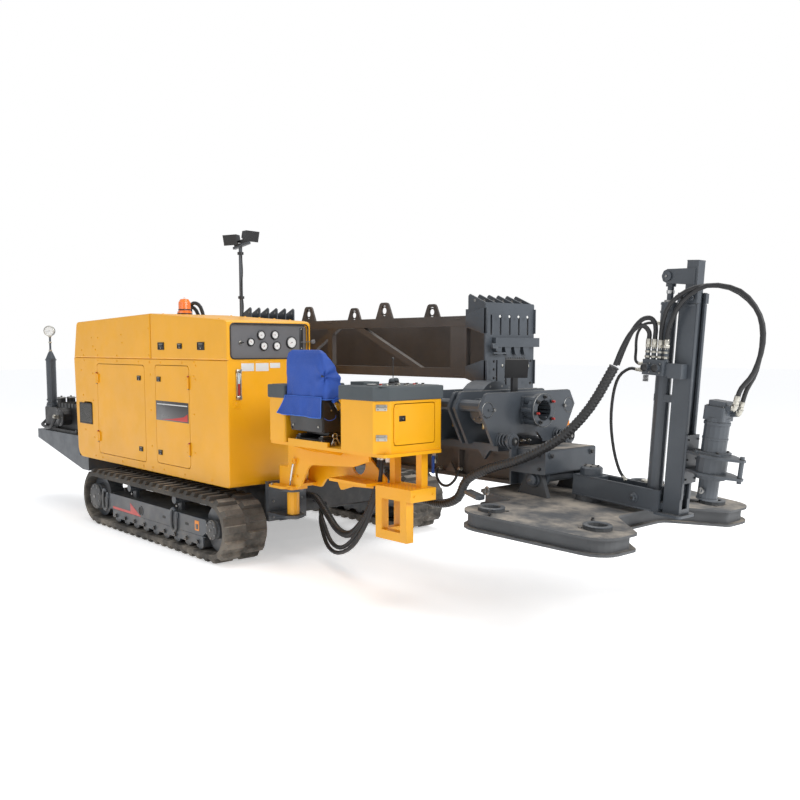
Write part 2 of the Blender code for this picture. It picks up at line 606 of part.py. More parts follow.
pump_base = PLATFORM_TOP + GAP
pump = [block((-2.36, -1.86), (-0.92, -0.62), (pump_base, 1.03), 0.06, "y"),
        block((-2.66, -2.33), (-0.95, -0.59), (pump_base, 0.98), 0.02, "y"),
        bar((-2.30, -0.77, 0.90), (-1.74, -0.77, 0.90), 0.11),
        block((-2.42, -1.80), (-0.97, -0.55), (pump_base, PLATFORM_TOP + 0.03))]
for y in (-0.87, -0.77, -0.67):
    pump.append(bar((-2.41, y, 0.90), (-2.41, y, 1.07), 0.042))
    pump.append(bar((-2.70, y, 0.86), (-2.50, y, 0.86), 0.038))
pump.append(bar((-2.10, -1.00, 0.90), (-2.10, -0.80, 0.90), 0.085))
node("mud_pump", "black", fuse(pump))

DAMPER = (-2.56, -0.91)
node("pressure_damper", "slate",
     fuse([turned([(0, 0), (0.060, 0), (0.060, 0.022), (0.046, 0.030), (0.049, 0.065),
                   (0.049, 0.50), (0.024, 0.56), (0, 0.60)], (*DAMPER, 0.98 + GAP), (0, 0, 1)),
           bar((*DAMPER, 1.55), (*DAMPER, 1.72), 0.011),
           turned([(0, -0.022), (0.052, -0.022), (0.052, 0.022), (0, 0.022)],
                  (*DAMPER, 1.765), (0.8, -0.6, 0))]))


# Operator station, which swings about its post

post_x, post_y = POST
POST_PIN = 0.030
BRACKET_Z = (0.352, 0.372, 0.548, 0.568)     # lower ear and upper ear
bracket = []
for low, high in (BRACKET_Z[:2], BRACKET_Z[2:]):
    bracket.append(prism(outline((CHASSIS_FRONT + GAP + 0.02, post_y - 0.09), (post_x + 0.03, post_y - 0.085, 0.06),
                                 (post_x + 0.085, post_y + 0.0, 0.05), (post_x + 0.03, post_y + 0.085, 0.06),
                                 (CHASSIS_FRONT + GAP + 0.02, post_y + 0.13)), "z", low, high))
bracket.append(block((CHASSIS_FRONT + GAP, CHASSIS_FRONT + 0.04), (post_y - 0.085, post_y + 0.26), (0.30, 0.600)))
node("swing_bracket", "slate",
     fuse(bracket, [bore((post_x, post_y, 0.2), (post_x, post_y, 0.7), POST_PIN)]))

ARM_TOP = 0.935
ARM_PLATES = (-0.775, -0.625)
arm_outline = outline((1.55, 0.60), (1.66, 0.59), (1.70, 0.62, 0.02), (1.80, 0.775, 0.10), (2.30, 0.81, 0.04),
                      (2.46, 0.86), (2.46, ARM_TOP - 0.003), (1.55, ARM_TOP - 0.003))
lower_outline = outline((1.59, 0.597), (1.74, 0.597, 0.02), (1.80, 0.665, 0.03), (1.93, 0.665, 0.03), (1.97, 0.60, 0.02),
                        (2.10, 0.64, 0.03), (2.44, 0.66, 0.02), (2.455, 0.73, 0.02), (2.20, ARM_TOP - 0.013),
                        (1.59, ARM_TOP - 0.013))
collar = (BRACKET_Z[1] + RUN - BRACKET_Z[0] + 0.012, BRACKET_Z[2] - RUN - BRACKET_Z[0] + 0.012)
arm = [block((post_x - 0.075, post_x + 0.085), (post_y - 0.075, post_y + 0.075), (BRACKET_Z[3] + GAP, 0.735), 0.015),
       turned([(0, 0), (POST_PIN, 0), (POST_PIN, collar[0]), (0.045, collar[0]), (0.045, collar[1]),
               (POST_PIN, collar[1]), (POST_PIN, 0.30), (0, 0.30)],
              (post_x, post_y, BRACKET_Z[0] - 0.012), (0, 0, 1), facets(POST_PIN)),
       prism(arm_outline, "y", ARM_PLATES[0], ARM_PLATES[0] + 0.018),
       prism(lower_outline, "y", ARM_PLATES[1], ARM_PLATES[1] + 0.018),
       block((1.56, 2.44), (ARM_PLATES[0] + 0.01, ARM_PLATES[1] + 0.01), (ARM_TOP - 0.03, ARM_TOP)),
       block((1.56, 1.69), (ARM_PLATES[0] + 0.01, ARM_PLATES[1] + 0.01), (0.607, 0.627)),
       block((2.03, 2.43), (ARM_PLATES[0] + 0.002, ARM_PLATES[1] + 0.01), (0.69, 0.71)),
       prism(outline((post_x - 0.13, post_y - 0.14, 0.03), (post_x + 0.07, post_y - 0.14, 0.03),
                     (post_x + 0.07, post_y - 0.06), (post_x - 0.13, post_y - 0.06)),
             "z", BRACKET_Z[3] + 0.012, BRACKET_Z[3] + 0.030)]
arm_hole = [prism(circle((2.17, 0.805), 0.075), "y", -0.70, -0.50)]
node("swing_arm", "yellow", fuse(arm, arm_hole), pivot=(post_x, post_y, 0.5))

tray_bottom = ARM_TOP + GAP
tray = [block((1.64, 2.86), (-0.99, -0.50), (tray_bottom, tray_bottom + 0.020), 0.02),
        block((1.86, 2.30), (-0.99, -0.97), (tray_bottom, 0.985)),
        block((1.86, 2.30), (-0.52, -0.50), (tray_bottom, 0.985))]
tray_top = tray_bottom + 0.020 + GAP
SEAT_X = (1.885, 2.255)
seat = [block(SEAT_X, (-0.93, -0.52), (1.005, 1.085), 0.05, "z", 0.01),
        prism(outline((-0.985, 1.02, 0.04), (-0.90, 1.02, 0.02), (-0.90, 1.546, 0.03), (-0.985, 1.496, 0.04)),
              "x", SEAT_X[0] + 0.02, SEAT_X[1] - 0.02),
        block((1.92, 2.19), (-0.86, -0.58), (tray_top, 1.01))]
node("seat", "black", fuse(seat))
cover_shape = outline((-1.003, 1.150), (-0.845, 1.20), (-0.83, 1.48, 0.05), (-0.875, 1.573, 0.05),
                      (-0.965, 1.574, 0.04), (-1.003, 1.515, 0.03))
cover_space = outline((-0.9865, 1.10), (-0.9865, 1.500, 0.04), (-0.90 + GAP, 1.550, 0.03), (-0.90 + GAP, 1.10))
node("seat_cover", "cover_blue",
     fuse([prism(cover_shape, "x", SEAT_X[0] - 0.02, SEAT_X[1] + 0.02, 0.004)],
          [prism(cover_space, "x", SEAT_X[0] + 0.004, SEAT_X[1] - 0.004)]))

CONSOLES = {                    # rear x, front x, chamfered front corner, bottom, pad's foot, top
    "console_rear": (1.655, 1.840, 0.0, 1.255, 1.345),
    "console_front": (2.450, 2.845, 0.075, 1.275, 1.362),
}
CONSOLE_Y = (-1.002, -0.495)


def console_shape(rear, front, chamfer, grow=0.0):
    """The plan of a console box, with its near corner cut off."""
    low_y, high_y = CONSOLE_Y[0] - grow, CONSOLE_Y[1] + grow
    corners = [(rear - grow, low_y, 0.012), (front + grow - chamfer, low_y, 0.012)]
    if chamfer:
        corners.append((front + grow, low_y + chamfer, 0.012))
    else:
        corners[-1] = (front + grow, low_y, 0.012)
    corners += [(front + grow, high_y, 0.012), (rear - grow, high_y, 0.012)]
    return outline(*corners)


STATION_DOOR = (-0.895, -0.560, 1.006, 1.254)
for console_name, (rear, front, chamfer, pad_foot, top) in CONSOLES.items():
    shell = [prism(console_shape(rear, front, chamfer), "z", tray_top, pad_foot)]
    hollow = [block((rear + 0.02, front - 0.02), (CONSOLE_Y[0] + 0.02 + chamfer, CONSOLE_Y[1] - 0.02),
                    (tray_top + 0.015, pad_foot - 0.015))]
    if chamfer:
        low_y, high_y, sill, head = STATION_DOOR
        hollow.append(block((front - 0.05, front + 0.05), (low_y - PANEL_GAP, high_y + PANEL_GAP),
                            (sill - PANEL_GAP, head + PANEL_GAP), 0.015, "x"))
    else:
        hollow.append(block((rear + 0.05, front - 0.05), (CONSOLE_Y[1] - 0.05, CONSOLE_Y[1] + 0.05), (1.05, 1.20)))
    node(console_name, "yellow", fuse(shell, hollow))
    pad = [prism(console_shape(rear, front, chamfer, 0.010), "z", pad_foot + GAP, top, 0.008)]
    levers = []
    if chamfer:
        for x, y in ((2.55, -0.62), (2.62, -0.72)):
            levers.append(turned([(0, 0), (0.016, 0), (0.014, 0.024), (0.020, 0.034), (0.014, 0.048), (0, 0.052)],
                                 (x, y, top - 0.01), (0, 0, 1)))
        levers.append(block((2.46, 2.60), (-0.93, -0.80), (top - 0.01, top + 0.022), 0.01))
    node(console_name + "_pad", "console_pad", fuse(pad + levers))

low_y, high_y, sill, head = STATION_DOOR
front_face = CONSOLES["console_front"][1]
DOOR_PIN = 0.0055
door_pin = (front_face + DOOR_PIN, low_y - PANEL_GAP / 2)
node("console_door", "yellow",
     fuse([block((front_face - 0.018, front_face), (low_y, high_y), (sill, head), 0.015, "x"),
           bar((*door_pin, sill + 0.02), (*door_pin, head - 0.02), DOOR_PIN, 12),
           block((front_face - 0.004, front_face + 0.009), (low_y - 0.0005, low_y + 0.03), (sill + 0.025, head - 0.025))]),
     pivot=(*door_pin, (sill + head) / 2))

STEP_X = (2.46, 2.80)
step = [block(STEP_X, (-0.72, -0.50), (0.690, 0.705)),
        block(STEP_X, (-0.72, -0.70), (0.625, 0.700)),
        block(STEP_X, (-0.52, -0.50), (0.640, 0.700)),
        block((STEP_X[1] - 0.02, STEP_X[1]), (-0.72, -0.50), (0.625, 0.700)),
        block((2.46, 2.52), (-0.72, -0.66), (0.36, 0.70)),
        block((2.70, 2.76), (-0.72, -0.66), (0.36, 0.70)),
        block((2.46, 2.76), (-0.72, -0.66), (0.36, 0.42)),
        block((2.46, 2.52), (-0.56, -0.50), (0.36, 0.70)),
        block((2.46, 2.52), (-0.72, -0.50), (0.36, 0.42)),
        block((2.465, 2.515), (-0.60, -0.545), (0.69, tray_bottom + 0.01)),
        block((2.72, 2.77), (-0.60, -0.545), (0.69, tray_bottom + 0.01))]
node("station_tray", "yellow", fuse(tray + step))


# Drill frame, which tilts about its pin on the chassis

beam_inner = FRAME_HALF - BEAM_WIDTH
frame_solids = []
for sign in (-1, 1):
    span = sorted((sign * FRAME_HALF, sign * beam_inner))
    web = sorted((sign * (FRAME_HALF - 0.045), sign * (beam_inner + 0.005)))
    frame_solids.append(block((FRAME_REAR, FRAME_FRONT), web, (FRAME_BOTTOM + 0.004, FRAME_TOP - 0.004)))
    frame_solids.append(block((FRAME_REAR, FRAME_FRONT), span, (FRAME_TOP - 0.022, FRAME_TOP)))
    frame_solids.append(block((FRAME_REAR, FRAME_FRONT), span, (FRAME_BOTTOM, FRAME_BOTTOM + 0.022)))
    for x in (-0.9, 0.1, 1.9, 2.75):
        frame_solids.append(block((x, x + 0.014), span, (FRAME_BOTTOM + 0.01, FRAME_TOP - 0.01)))
    boss = sorted((sign * (PIVOT_EAR + FACE_PLAY), sign * (beam_inner + 0.01)))
    frame_solids.append(turned([(0, 0), (0.075, 0), (0.075, boss[1] - boss[0]), (0, boss[1] - boss[0])],
                               (TILT_PIVOT[0], boss[0], TILT_PIVOT[1] + 0.03), (0, 1, 0)))
frame_solids.append(block((FRAME_REAR, FRAME_REAR + 0.03), (-FRAME_HALF, FRAME_HALF), (FRAME_BOTTOM, FRAME_TOP)))
frame_solids.append(bar((TILT_PIVOT[0], -beam_inner - 0.01, TILT_PIVOT[1]), (TILT_PIVOT[0], beam_inner + 0.01, TILT_PIVOT[1]),
                        FRAME_PIN))
for x in (-0.34, LIFT_HEAD[0] - 0.045, 1.75, 2.45, 3.05):
    frame_solids.append(block((x, x + 0.09), (-beam_inner - 0.01, beam_inner + 0.01),
                              (FRAME_TOP - 0.09, FRAME_TOP - 0.015)))
for y in (-LIFT_EAR[1], LIFT_EAR[0]):
    frame_solids.append(prism(outline((LIFT_HEAD[0] - 0.03, LIFT_HEAD[1] - 0.03, 0.015),
                                      (LIFT_HEAD[0] + 0.03, LIFT_HEAD[1] - 0.03, 0.015),
                                      (LIFT_HEAD[0] + 0.035, FRAME_TOP - 0.06), (LIFT_HEAD[0] - 0.035, FRAME_TOP - 0.06)),
                              "y", y, y + LIFT_EAR[1] - LIFT_EAR[0]))
frame_solids.append(bar((LIFT_HEAD[0], -LIFT_EAR[1] - 0.01, LIFT_HEAD[1]), (LIFT_HEAD[0], LIFT_EAR[1] + 0.01, LIFT_HEAD[1]),
                        LIFT_PIN))
ARMS_X = (0.45, 1.40)
SHELF_TOP = 1.087
for x in ARMS_X:
    frame_solids.append(prism(outline((FRAME_HALF - 0.01, 0.80), (0.30, 0.80), (0.66, 1.03), (0.66, SHELF_TOP),
                                      (0.29, SHELF_TOP), (FRAME_HALF - 0.01, 0.93)), "x", x - 0.03, x + 0.03))
COLUMNS_X = ((-0.46, -0.30), (2.42, 2.58))
column_shape = outline((FRAME_HALF - 0.01, 0.76), (FRAME_HALF - 0.01, 0.94), (0.30, 1.10), (0.30, ROD_BOX_BOTTOM - GAP),
                       (0.63, ROD_BOX_BOTTOM - GAP), (0.63, 1.31), (0.36, 1.02), (0.30, 0.76))
for low_x, high_x in COLUMNS_X:
    frame_solids.append(prism(column_shape, "x", low_x, high_x))
node("drill_frame", "truss_brown", fuse(frame_solids), pivot=(TILT_PIVOT[0], 0, TILT_PIVOT[1]))

# Rod box: two trusses, two finned ends and the sheet behind

CHORD = 0.07
chord_x = (ROD_BOX_REAR + 0.06, 2.44)
TRUSS_POSTS = (-0.30, 0.855, 2.36)
DIAGONALS = (                   # x at the lower chord, x at the upper chord
    (0.30, 0.98), (-0.20, 0.30), (1.98, 1.17),
)
LUGS_X = {"near": (0.53, 1.53), "far": (0.60, 1.60)}


def truss(side, low_y, high_y):
    """One long side of the rod box, with its lifting lugs."""
    solids = [block(chord_x, (low_y, high_y), (ROD_BOX_BOTTOM, ROD_BOX_BOTTOM + CHORD)),
              block(chord_x, (low_y, high_y), (ROD_BOX_TOP - CHORD, ROD_BOX_TOP))]
    middle = (low_y + high_y) / 2
    for x in TRUSS_POSTS:
        width = 0.16 if x > 2 else 0.06
        solids.append(block((x - width / 2, x + width / 2), (low_y + 0.004, high_y - 0.004),
                            (ROD_BOX_BOTTOM + 0.02, ROD_BOX_TOP - 0.02)))
    for low, high in DIAGONALS:
        solids.append(strut((low, middle, ROD_BOX_BOTTOM + 0.04), (high, middle, ROD_BOX_TOP - 0.04), 0.04, 0.045))
    for x in LUGS_X[side]:
        lug = outline((x - 0.105, ROD_BOX_TOP - 0.01), (x + 0.105, ROD_BOX_TOP - 0.01), (x + 0.045, 1.945, 0.03),
                      (x - 0.045, 1.945, 0.03))
        solids.append(prism(lug, "y", middle - 0.008, middle + 0.008))
    holes = [block((x - 0.03, x + 0.03), (low_y - 0.1, high_y + 0.1), (1.838, 1.925), 0.028, "y")
             for x in LUGS_X[side]]
    return fuse(solids, holes)


TRUSS_DEPTH = 0.05
node("rod_box_truss_near", "truss_brown", truss("near", ROD_BOX_NEAR, ROD_BOX_NEAR + TRUSS_DEPTH))
node("rod_box_truss_far", "truss_brown", truss("far", ROD_BOX_FAR - TRUSS_DEPTH, ROD_BOX_FAR))
sheet_y = ROD_BOX_FAR - TRUSS_DEPTH - 0.008
node("rod_box_sheet", "truss_brown",
     fuse([block(chord_x, (sheet_y, sheet_y + 0.008 - GAP), (ROD_BOX_BOTTOM + 0.03, ROD_BOX_TOP - 0.03))]))

FIN_COUNT = 6
FIN_PITCH = 0.097
FIN_THICKNESS = 0.012
for end_name, plate_x, inwards in (("front", ROD_BOX_FRONT, -1), ("rear", ROD_BOX_REAR, 1)):
    end = plate_x + inwards * 0.014
    tip = plate_x + inwards * 0.175
    solids = [block(sorted((plate_x, end)), (ROD_BOX_NEAR - 0.008, ROD_BOX_FAR + 0.008), (1.262, 1.908), 0.012, "x")]
    for index in range(FIN_COUNT):
        y = ROD_BOX_NEAR + 0.002 + index * FIN_PITCH
        fin = outline((plate_x + inwards * 0.005, 1.832), (tip, 1.832), (tip, 1.957),
                      (plate_x + inwards * 0.160, 1.971), (plate_x + inwards * 0.005, 1.905))
        solids.append(prism(fin, "y", y - FIN_THICKNESS / 2 + 0.004, y + FIN_THICKNESS / 2 + 0.004))
    seat_x = chord_x[1] if end_name == "front" else chord_x[0]
    for low_y, high_y in ((ROD_BOX_NEAR - 0.006, ROD_BOX_NEAR + 0.06), (ROD_BOX_FAR - 0.06, ROD_BOX_FAR + 0.006)):
        for low_z, high_z in ((ROD_BOX_BOTTOM, ROD_BOX_BOTTOM + CHORD + 0.015), (ROD_BOX_TOP - CHORD - 0.015, 1.865)):
            solids.append(block(sorted((end - inwards * 0.004, seat_x - inwards * GAP)), (low_y, high_y), (low_z, high_z)))
    if end_name == "front":
        solids.append(block((ROD_BOX_FRONT - 0.004, ROD_BOX_FRONT + 0.035), (0.20, ROD_BOX_FAR + 0.03), (1.600, 1.665)))
        for index in range(4):
            y = 0.24 + index * FIN_PITCH
            solids.append(prism(outline((y - 0.036, 1.605), (y + 0.036, 1.605), (y + 0.02, 1.545, 0.012),
                                        (y - 0.02, 1.545, 0.012)), "x", ROD_BOX_FRONT - 0.004, ROD_BOX_FRONT + 0.028))
    slots = []
    for index in range(5):
        y = 0.19 + index * FIN_PITCH
        slots.append(block((plate_x - 0.05, plate_x + 0.05), (y - 0.008, y + 0.008), (1.685, 1.824)))
    for index in range(3):
        y = 0.25 + index * FIN_PITCH
        slots.append(block((plate_x - 0.05, plate_x + 0.05), (y - 0.008, y + 0.008), (1.30, 1.51)))
    node("rod_box_end_" + end_name, "slate", fuse(solids, slots))


# Rod loader arms

CUP_Y = 0.32
arms = []
for x in ARMS_X:
    arms.append(block((x - 0.03, x + 0.03), (CUP_Y - 0.06, 0.655), (SHELF_TOP + GAP, SHELF_TOP + 0.06), 0.0))
    cup = prism(outline((CUP_Y - 0.062, SHELF_TOP + 0.05), (CUP_Y + 0.075, SHELF_TOP + 0.05),
                        (CUP_Y + 0.065, 1.245, 0.01), (CUP_Y - 0.062, 1.205, 0.01)), "x", x - 0.025, x + 0.025)
    arms.append(cup)
arms.append(bar((ARMS_X[0], 0.625, SHELF_TOP + 0.05), (ARMS_X[1], 0.625, SHELF_TOP + 0.05), 0.022))
cup_cuts = [prism(circle((CUP_Y, DRILL_LINE_Z + 0.012), 0.045), "x", x - 0.1, x + 0.1) for x in ARMS_X]
cup_cuts += [block((x - 0.1, x + 0.1), (CUP_Y - 0.045, CUP_Y + 0.045), (DRILL_LINE_Z + 0.012, 1.4)) for x in ARMS_X]
node("loader_arms", "slate", fuse(arms, cup_cuts))


# Drill head carriage and its spindle

HEAD_REAR, HEAD_FRONT = -1.16, -0.55
HEAD_FACE = HEAD_FRONT - 0.03
HEAD_HALF = ROD_BOX_NEAR - 0.020    # the head runs beside the rod box
carriage = [block((HEAD_REAR, HEAD_FRONT), (-0.235, 0.235), (FRAME_TOP + GAP, FRAME_TOP + 0.045)),
            block((HEAD_REAR + 0.04, HEAD_FRONT - 0.05), (-0.14, 0.14), (FRAME_TOP + 0.04, 1.13)),
            block((HEAD_REAR + 0.16, HEAD_FACE), (-HEAD_HALF, HEAD_HALF), (1.06, 1.43), 0.05, "x", 0.012),
            bar((HEAD_REAR + 0.02, -0.056, 1.34), (HEAD_REAR + 0.20, -0.056, 1.34), 0.050),
            bar((HEAD_REAR + 0.02, 0.056, 1.34), (HEAD_REAR + 0.20, 0.056, 1.34), 0.050),
            bar((HEAD_REAR + 0.06, 0, DRILL_LINE_Z - 0.06), (HEAD_REAR + 0.20, 0, DRILL_LINE_Z - 0.06), 0.055)]
SPINDLE = 0.045
SPINDLE_FLANGE = 0.070
node("drill_head", "slate",
     fuse(carriage, [bore((HEAD_FACE - 0.13, 0, DRILL_LINE_Z), (0, 0, DRILL_LINE_Z), SPINDLE)]))
node("spindle", "steel",
     fuse([turned([(0, -0.128), (SPINDLE, -0.128), (SPINDLE, FACE_PLAY), (SPINDLE_FLANGE, FACE_PLAY),
                   (SPINDLE_FLANGE, 0.050), (0.058, 0.056), (0.058, 0.112), (0.040, 0.122), (0.040, 0.202),
                   (0.030, 0.217), (0, 0.217)], (HEAD_FACE, 0, DRILL_LINE_Z), (1, 0, 0))]),
     pivot=(HEAD_FRONT, 0, DRILL_LINE_Z))


# Vises and the rod guide

VISE_PLATES = (3.150, 2.930, 2.880, 2.672)
VISE_PLATE = 0.022
ROTOR = 0.175
HUB = 0.100
BORE = 0.066
vise_shape = outline((-0.34, 0.985), (-0.466, 1.22), (-0.41, 1.316, 0.02), (0.41, 1.316, 0.02),
                     (0.466, 1.22), (0.34, 0.985))
vise_mouth = outline((-0.17, 0.9), (-0.17, 1.0), (-0.115, 1.055), (0.075, 1.055), (0.13, 1.0), (0.13, 0.9))
TIE_BARS = ((-0.40, 1.235), (0.40, 1.235))     # y, z
TIE_BAR_RADIUS = 0.036
front_vise = [prism(vise_shape, "x", x - VISE_PLATE, x) for x in VISE_PLATES]
for y, z in TIE_BARS:
    front_vise.append(bar((VISE_PLATES[-1] - 0.01, y, z), (VISE_PLATES[0] - 0.01, y, z), TIE_BAR_RADIUS))
front_vise += [turned([(0, 0), (0.075, 0), (0.075, 0.21), (0.045, 0.21), (0.045, 0.25), (0, 0.25)],
                      (3.035, sign * 0.13, DRILL_LINE_Z), (0, sign, 0), 12) for sign in (-1, 1)]
GUIDE_TOP = 1.28
front_vise += [block((2.915, 3.14), (-0.14, 0.14), (1.10, GUIDE_TOP), 0.03, "x")]
for sign in (-1, 1):
    front_vise.append(block((VISE_PLATES[-1] - 0.04, VISE_PLATES[0]), sorted((sign * 0.175, sign * 0.30)),
                            (FRAME_TOP + GAP, 0.995)))
front_vise.append(block((3.149, 3.166), (-0.09, 0.09), (DRILL_LINE_Z - 0.09, DRILL_LINE_Z + 0.09), 0.012, "x"))
front_vise.append(turned([(0, 0), (0.083, 0), (0.083, 0.055), (0.105, 0.055), (0.105, 0.105), (0, 0.105)],
                         (3.16, 0, DRILL_LINE_Z), (1, 0, 0), 16))
vise_cuts = [prism(vise_mouth, "x", 3.0, 3.3),
             bar((2.90, 0, DRILL_LINE_Z), (3.5, 0, DRILL_LINE_Z), BORE, 16),
             bore((2.60, 0, DRILL_LINE_Z), (2.900, 0, DRILL_LINE_Z), HUB)]
node("vise_front", "slate", fuse(front_vise, vise_cuts))

rotor_low, rotor_high = VISE_PLATES[3] + FACE_PLAY, VISE_PLATES[2] - VISE_PLATE - FACE_PLAY
hub_low, hub_high = VISE_PLATES[3] - VISE_PLATE - 0.008, VISE_PLATES[2] + 0.008
rotor = [turned([(0, 0), (HUB, 0), (HUB, rotor_low - hub_low), (ROTOR, rotor_low - hub_low),
                 (ROTOR, rotor_high - hub_low), (HUB, rotor_high - hub_low), (HUB, hub_high - hub_low),
                 (0, hub_high - hub_low)], (hub_low, 0, DRILL_LINE_Z), (1, 0, 0)),
         bar((2.747, -0.235, DRILL_LINE_Z), (2.747, 0.235, DRILL_LINE_Z), 0.06)]
node("vise_breakout", "slate",
     fuse(rotor, [bar((2.5, 0, DRILL_LINE_Z), (3.0, 0, DRILL_LINE_Z), BORE)]),
     pivot=(2.75, 0, DRILL_LINE_Z))

nose_z = (0.830, 0.975)
NOSE_X = (3.20, 3.485)
nose = [block(NOSE_X, (-0.250, 0.250), nose_z, 0.01, "y"),
        block((NOSE_X[0], NOSE_X[0] + 0.014), (-0.250, 0.250), (FRAME_BOTTOM, nose_z[0] + 0.01)),
        bar((PLATE_HINGE[0], -0.235, PLATE_HINGE[1]), (PLATE_HINGE[0], 0.235, PLATE_HINGE[1]), 0.030)]
NOSE_EAR = (0.150, 0.178)
for sign in (-1, 1):
    span = sorted((sign * NOSE_EAR[0], sign * NOSE_EAR[1]))
    nose.append(prism(outline((NOSE_X[0] + 0.002, FRAME_BOTTOM), (3.43, FRAME_BOTTOM, 0.04), (3.45, 0.84),
                              (NOSE_X[0] + 0.002, 0.84)), "y", *span))
    nose.append(bar((3.1505 + 0.01, sign * 0.28, 1.02), (3.262, sign * 0.28, 1.02), 0.014))
    nose.append(turned([(0, 0), (0.052, 0), (0.052, 0.014), (0.03, 0.022), (0, 0.022)], (3.2395, sign * 0.28, 1.02), (1, 0, 0)))
    nose.append(block((3.2405, 3.26), sorted((sign * 0.235, sign * 0.30)), (0.90, 1.01)))
    nose.append(block((3.2405, 3.26), sorted((sign * 0.20, sign * 0.30)), (0.87, 0.93)))
nose_hollow = [block((NOSE_X[0] + 0.02, NOSE_X[1] - 0.014), (-0.236, 0.236), (0.80, nose_z[1] - 0.012))]
node("frame_nose", "slate", fuse([nose[0]], nose_hollow, nose[1:]))

node("vise_lamp", "black",
     fuse([lamp_solids((3.05, -0.03, 1.475), (0.75, -0.62, -0.35), 0.15, 0.13, 0.09),
           block((3.00, 3.02), (-0.02, 0.03), (GUIDE_TOP + GAP, 1.46))]))


# Anchor plate with its stake rings and hinge ears

plate_frame = carrier_empty("anchor_plate_frame", (PLATE_HINGE[0], 0, PLATE_HINGE[1]), (0, PLATE_TILT, 0))
ring_places = []
for angle in STAKE_ANGLES:
    for sign in (-1, 1):
        ring_places.append((POST_X + STAKE_CIRCLE * math.cos(math.radians(angle)),
                            sign * STAKE_CIRCLE * math.sin(math.radians(angle))))


def plate_corners(inset):
    """The plate's plan, drawn in from its edge."""
    soft, tight = max(0.01, 0.15 - inset), max(0.01, 0.05 - inset)
    half = [(-0.31 + inset, 0.375 - inset, tight), (0.03 + inset, 0.43 - inset, 0.05 + inset),
            (-0.04 + inset, 0.93 - inset, soft), (0.93 - inset, 0.766 - inset, soft),
            (0.93 - inset, 0.48 + inset, tight), (0.63 - inset, 0.24, 0.10 + inset)]
    mirrored = [(x, -y, r) for x, y, r in reversed(half)]
    return outline(*half, *mirrored)


plate_top = -PLATE_DROP
plate_foot = plate_top - PLATE_DEPTH
plate_solids = [prism(plate_corners(0.0), "z", plate_top - PLATE_SKIN, plate_top),
                prism(plate_corners(0.028), "z", plate_foot + 0.002, plate_top - 0.002),
                prism(plate_corners(0.0), "z", plate_foot, plate_foot + PLATE_SKIN)]
pocket_plan = outline((-0.22, -0.29), (0.12, -0.33), (0.07, -0.78), (0.82, -0.66), (0.82, -0.54), (0.53, -0.24),
                      (0.53, 0.24), (0.82, 0.54), (0.82, 0.66), (0.07, 0.78), (0.12, 0.33), (-0.22, 0.29))
pocket = [prism(pocket_plan, "z", plate_foot - 0.01, plate_top - PLATE_SKIN)]
STAKE_BORE = 0.052
late = []
for x, y in ring_places:
    late.append(bar((x, y, plate_foot + 0.001), (x, y, plate_top + 0.018), 0.078, 12))
for y in (-0.20, 0.20):
    late.append(block((-0.25, 0.60), (y - 0.006, y + 0.006), (plate_foot + 0.01, plate_top - 0.005)))
PLATE_EAR = 0.033
for sign in (-1, 1):
    low, high = sorted((sign * (NOSE_EAR[1] + FACE_PLAY), sign * (NOSE_EAR[1] + FACE_PLAY + PLATE_EAR)))
    late.append(prism(outline((-0.13, plate_top - 0.005), (0.11, plate_top - 0.005), (0.045, 0.052, 0.05),
                              (-0.055, 0.052, 0.05)), "y", low, high))
bores = [bar((x, y, plate_foot - 0.1), (x, y, plate_top + 0.1), STAKE_BORE, 12) for x, y in ring_places]
bores.append(bore((0, -0.4, 0), (0, 0.4, 0), 0.030))
POST_PLATE_PIN = 0.040
ARM_FOOT = plate_top + 0.030
bores.append(bore((POST_X, 0, plate_foot + 0.03), (POST_X, 0, 0.2), POST_PLATE_PIN))
late.append(bar((POST_X, 0, plate_foot + 0.01), (POST_X, 0, ARM_FOOT - FACE_PLAY), 0.085))
node("anchor_plate", "slate", fuse(plate_solids, pocket, late, bores), plate_frame)


# Anchor mast on its swinging arm

arm_x = (POST_X - 0.075, POST_X + 0.520)
mast_x = POST_X + MAST_REACH
feed_x = POST_X + FEED_REACH
arm = [block(arm_x, (-0.078, 0.078), (ARM_FOOT, ARM_FOOT + 0.125), 0.0),
       bar((POST_X, 0, plate_foot + 0.032), (POST_X, 0, ARM_FOOT + 0.005), POST_PLATE_PIN),
       block((mast_x - 0.095, mast_x + 0.075), (-0.085, 0.085), (ARM_FOOT - 0.012, ARM_FOOT + 0.004), 0.02)]
arm_channel = [block((POST_X + 0.085, mast_x + 0.2), (-0.060, 0.060), (ARM_FOOT + 0.018, 0.2))]
arm_extra = [turned([(0, 0.1), (0.068, 0.1), (0.068, 0.168), (0.060, 0.176), (0, 0.176)], (POST_X, 0, ARM_FOOT), (0, 0, 1))]
node("mast_arm", "slate", fuse(arm, arm_channel, arm_extra), plate_frame, (POST_X, 0, ARM_FOOT))

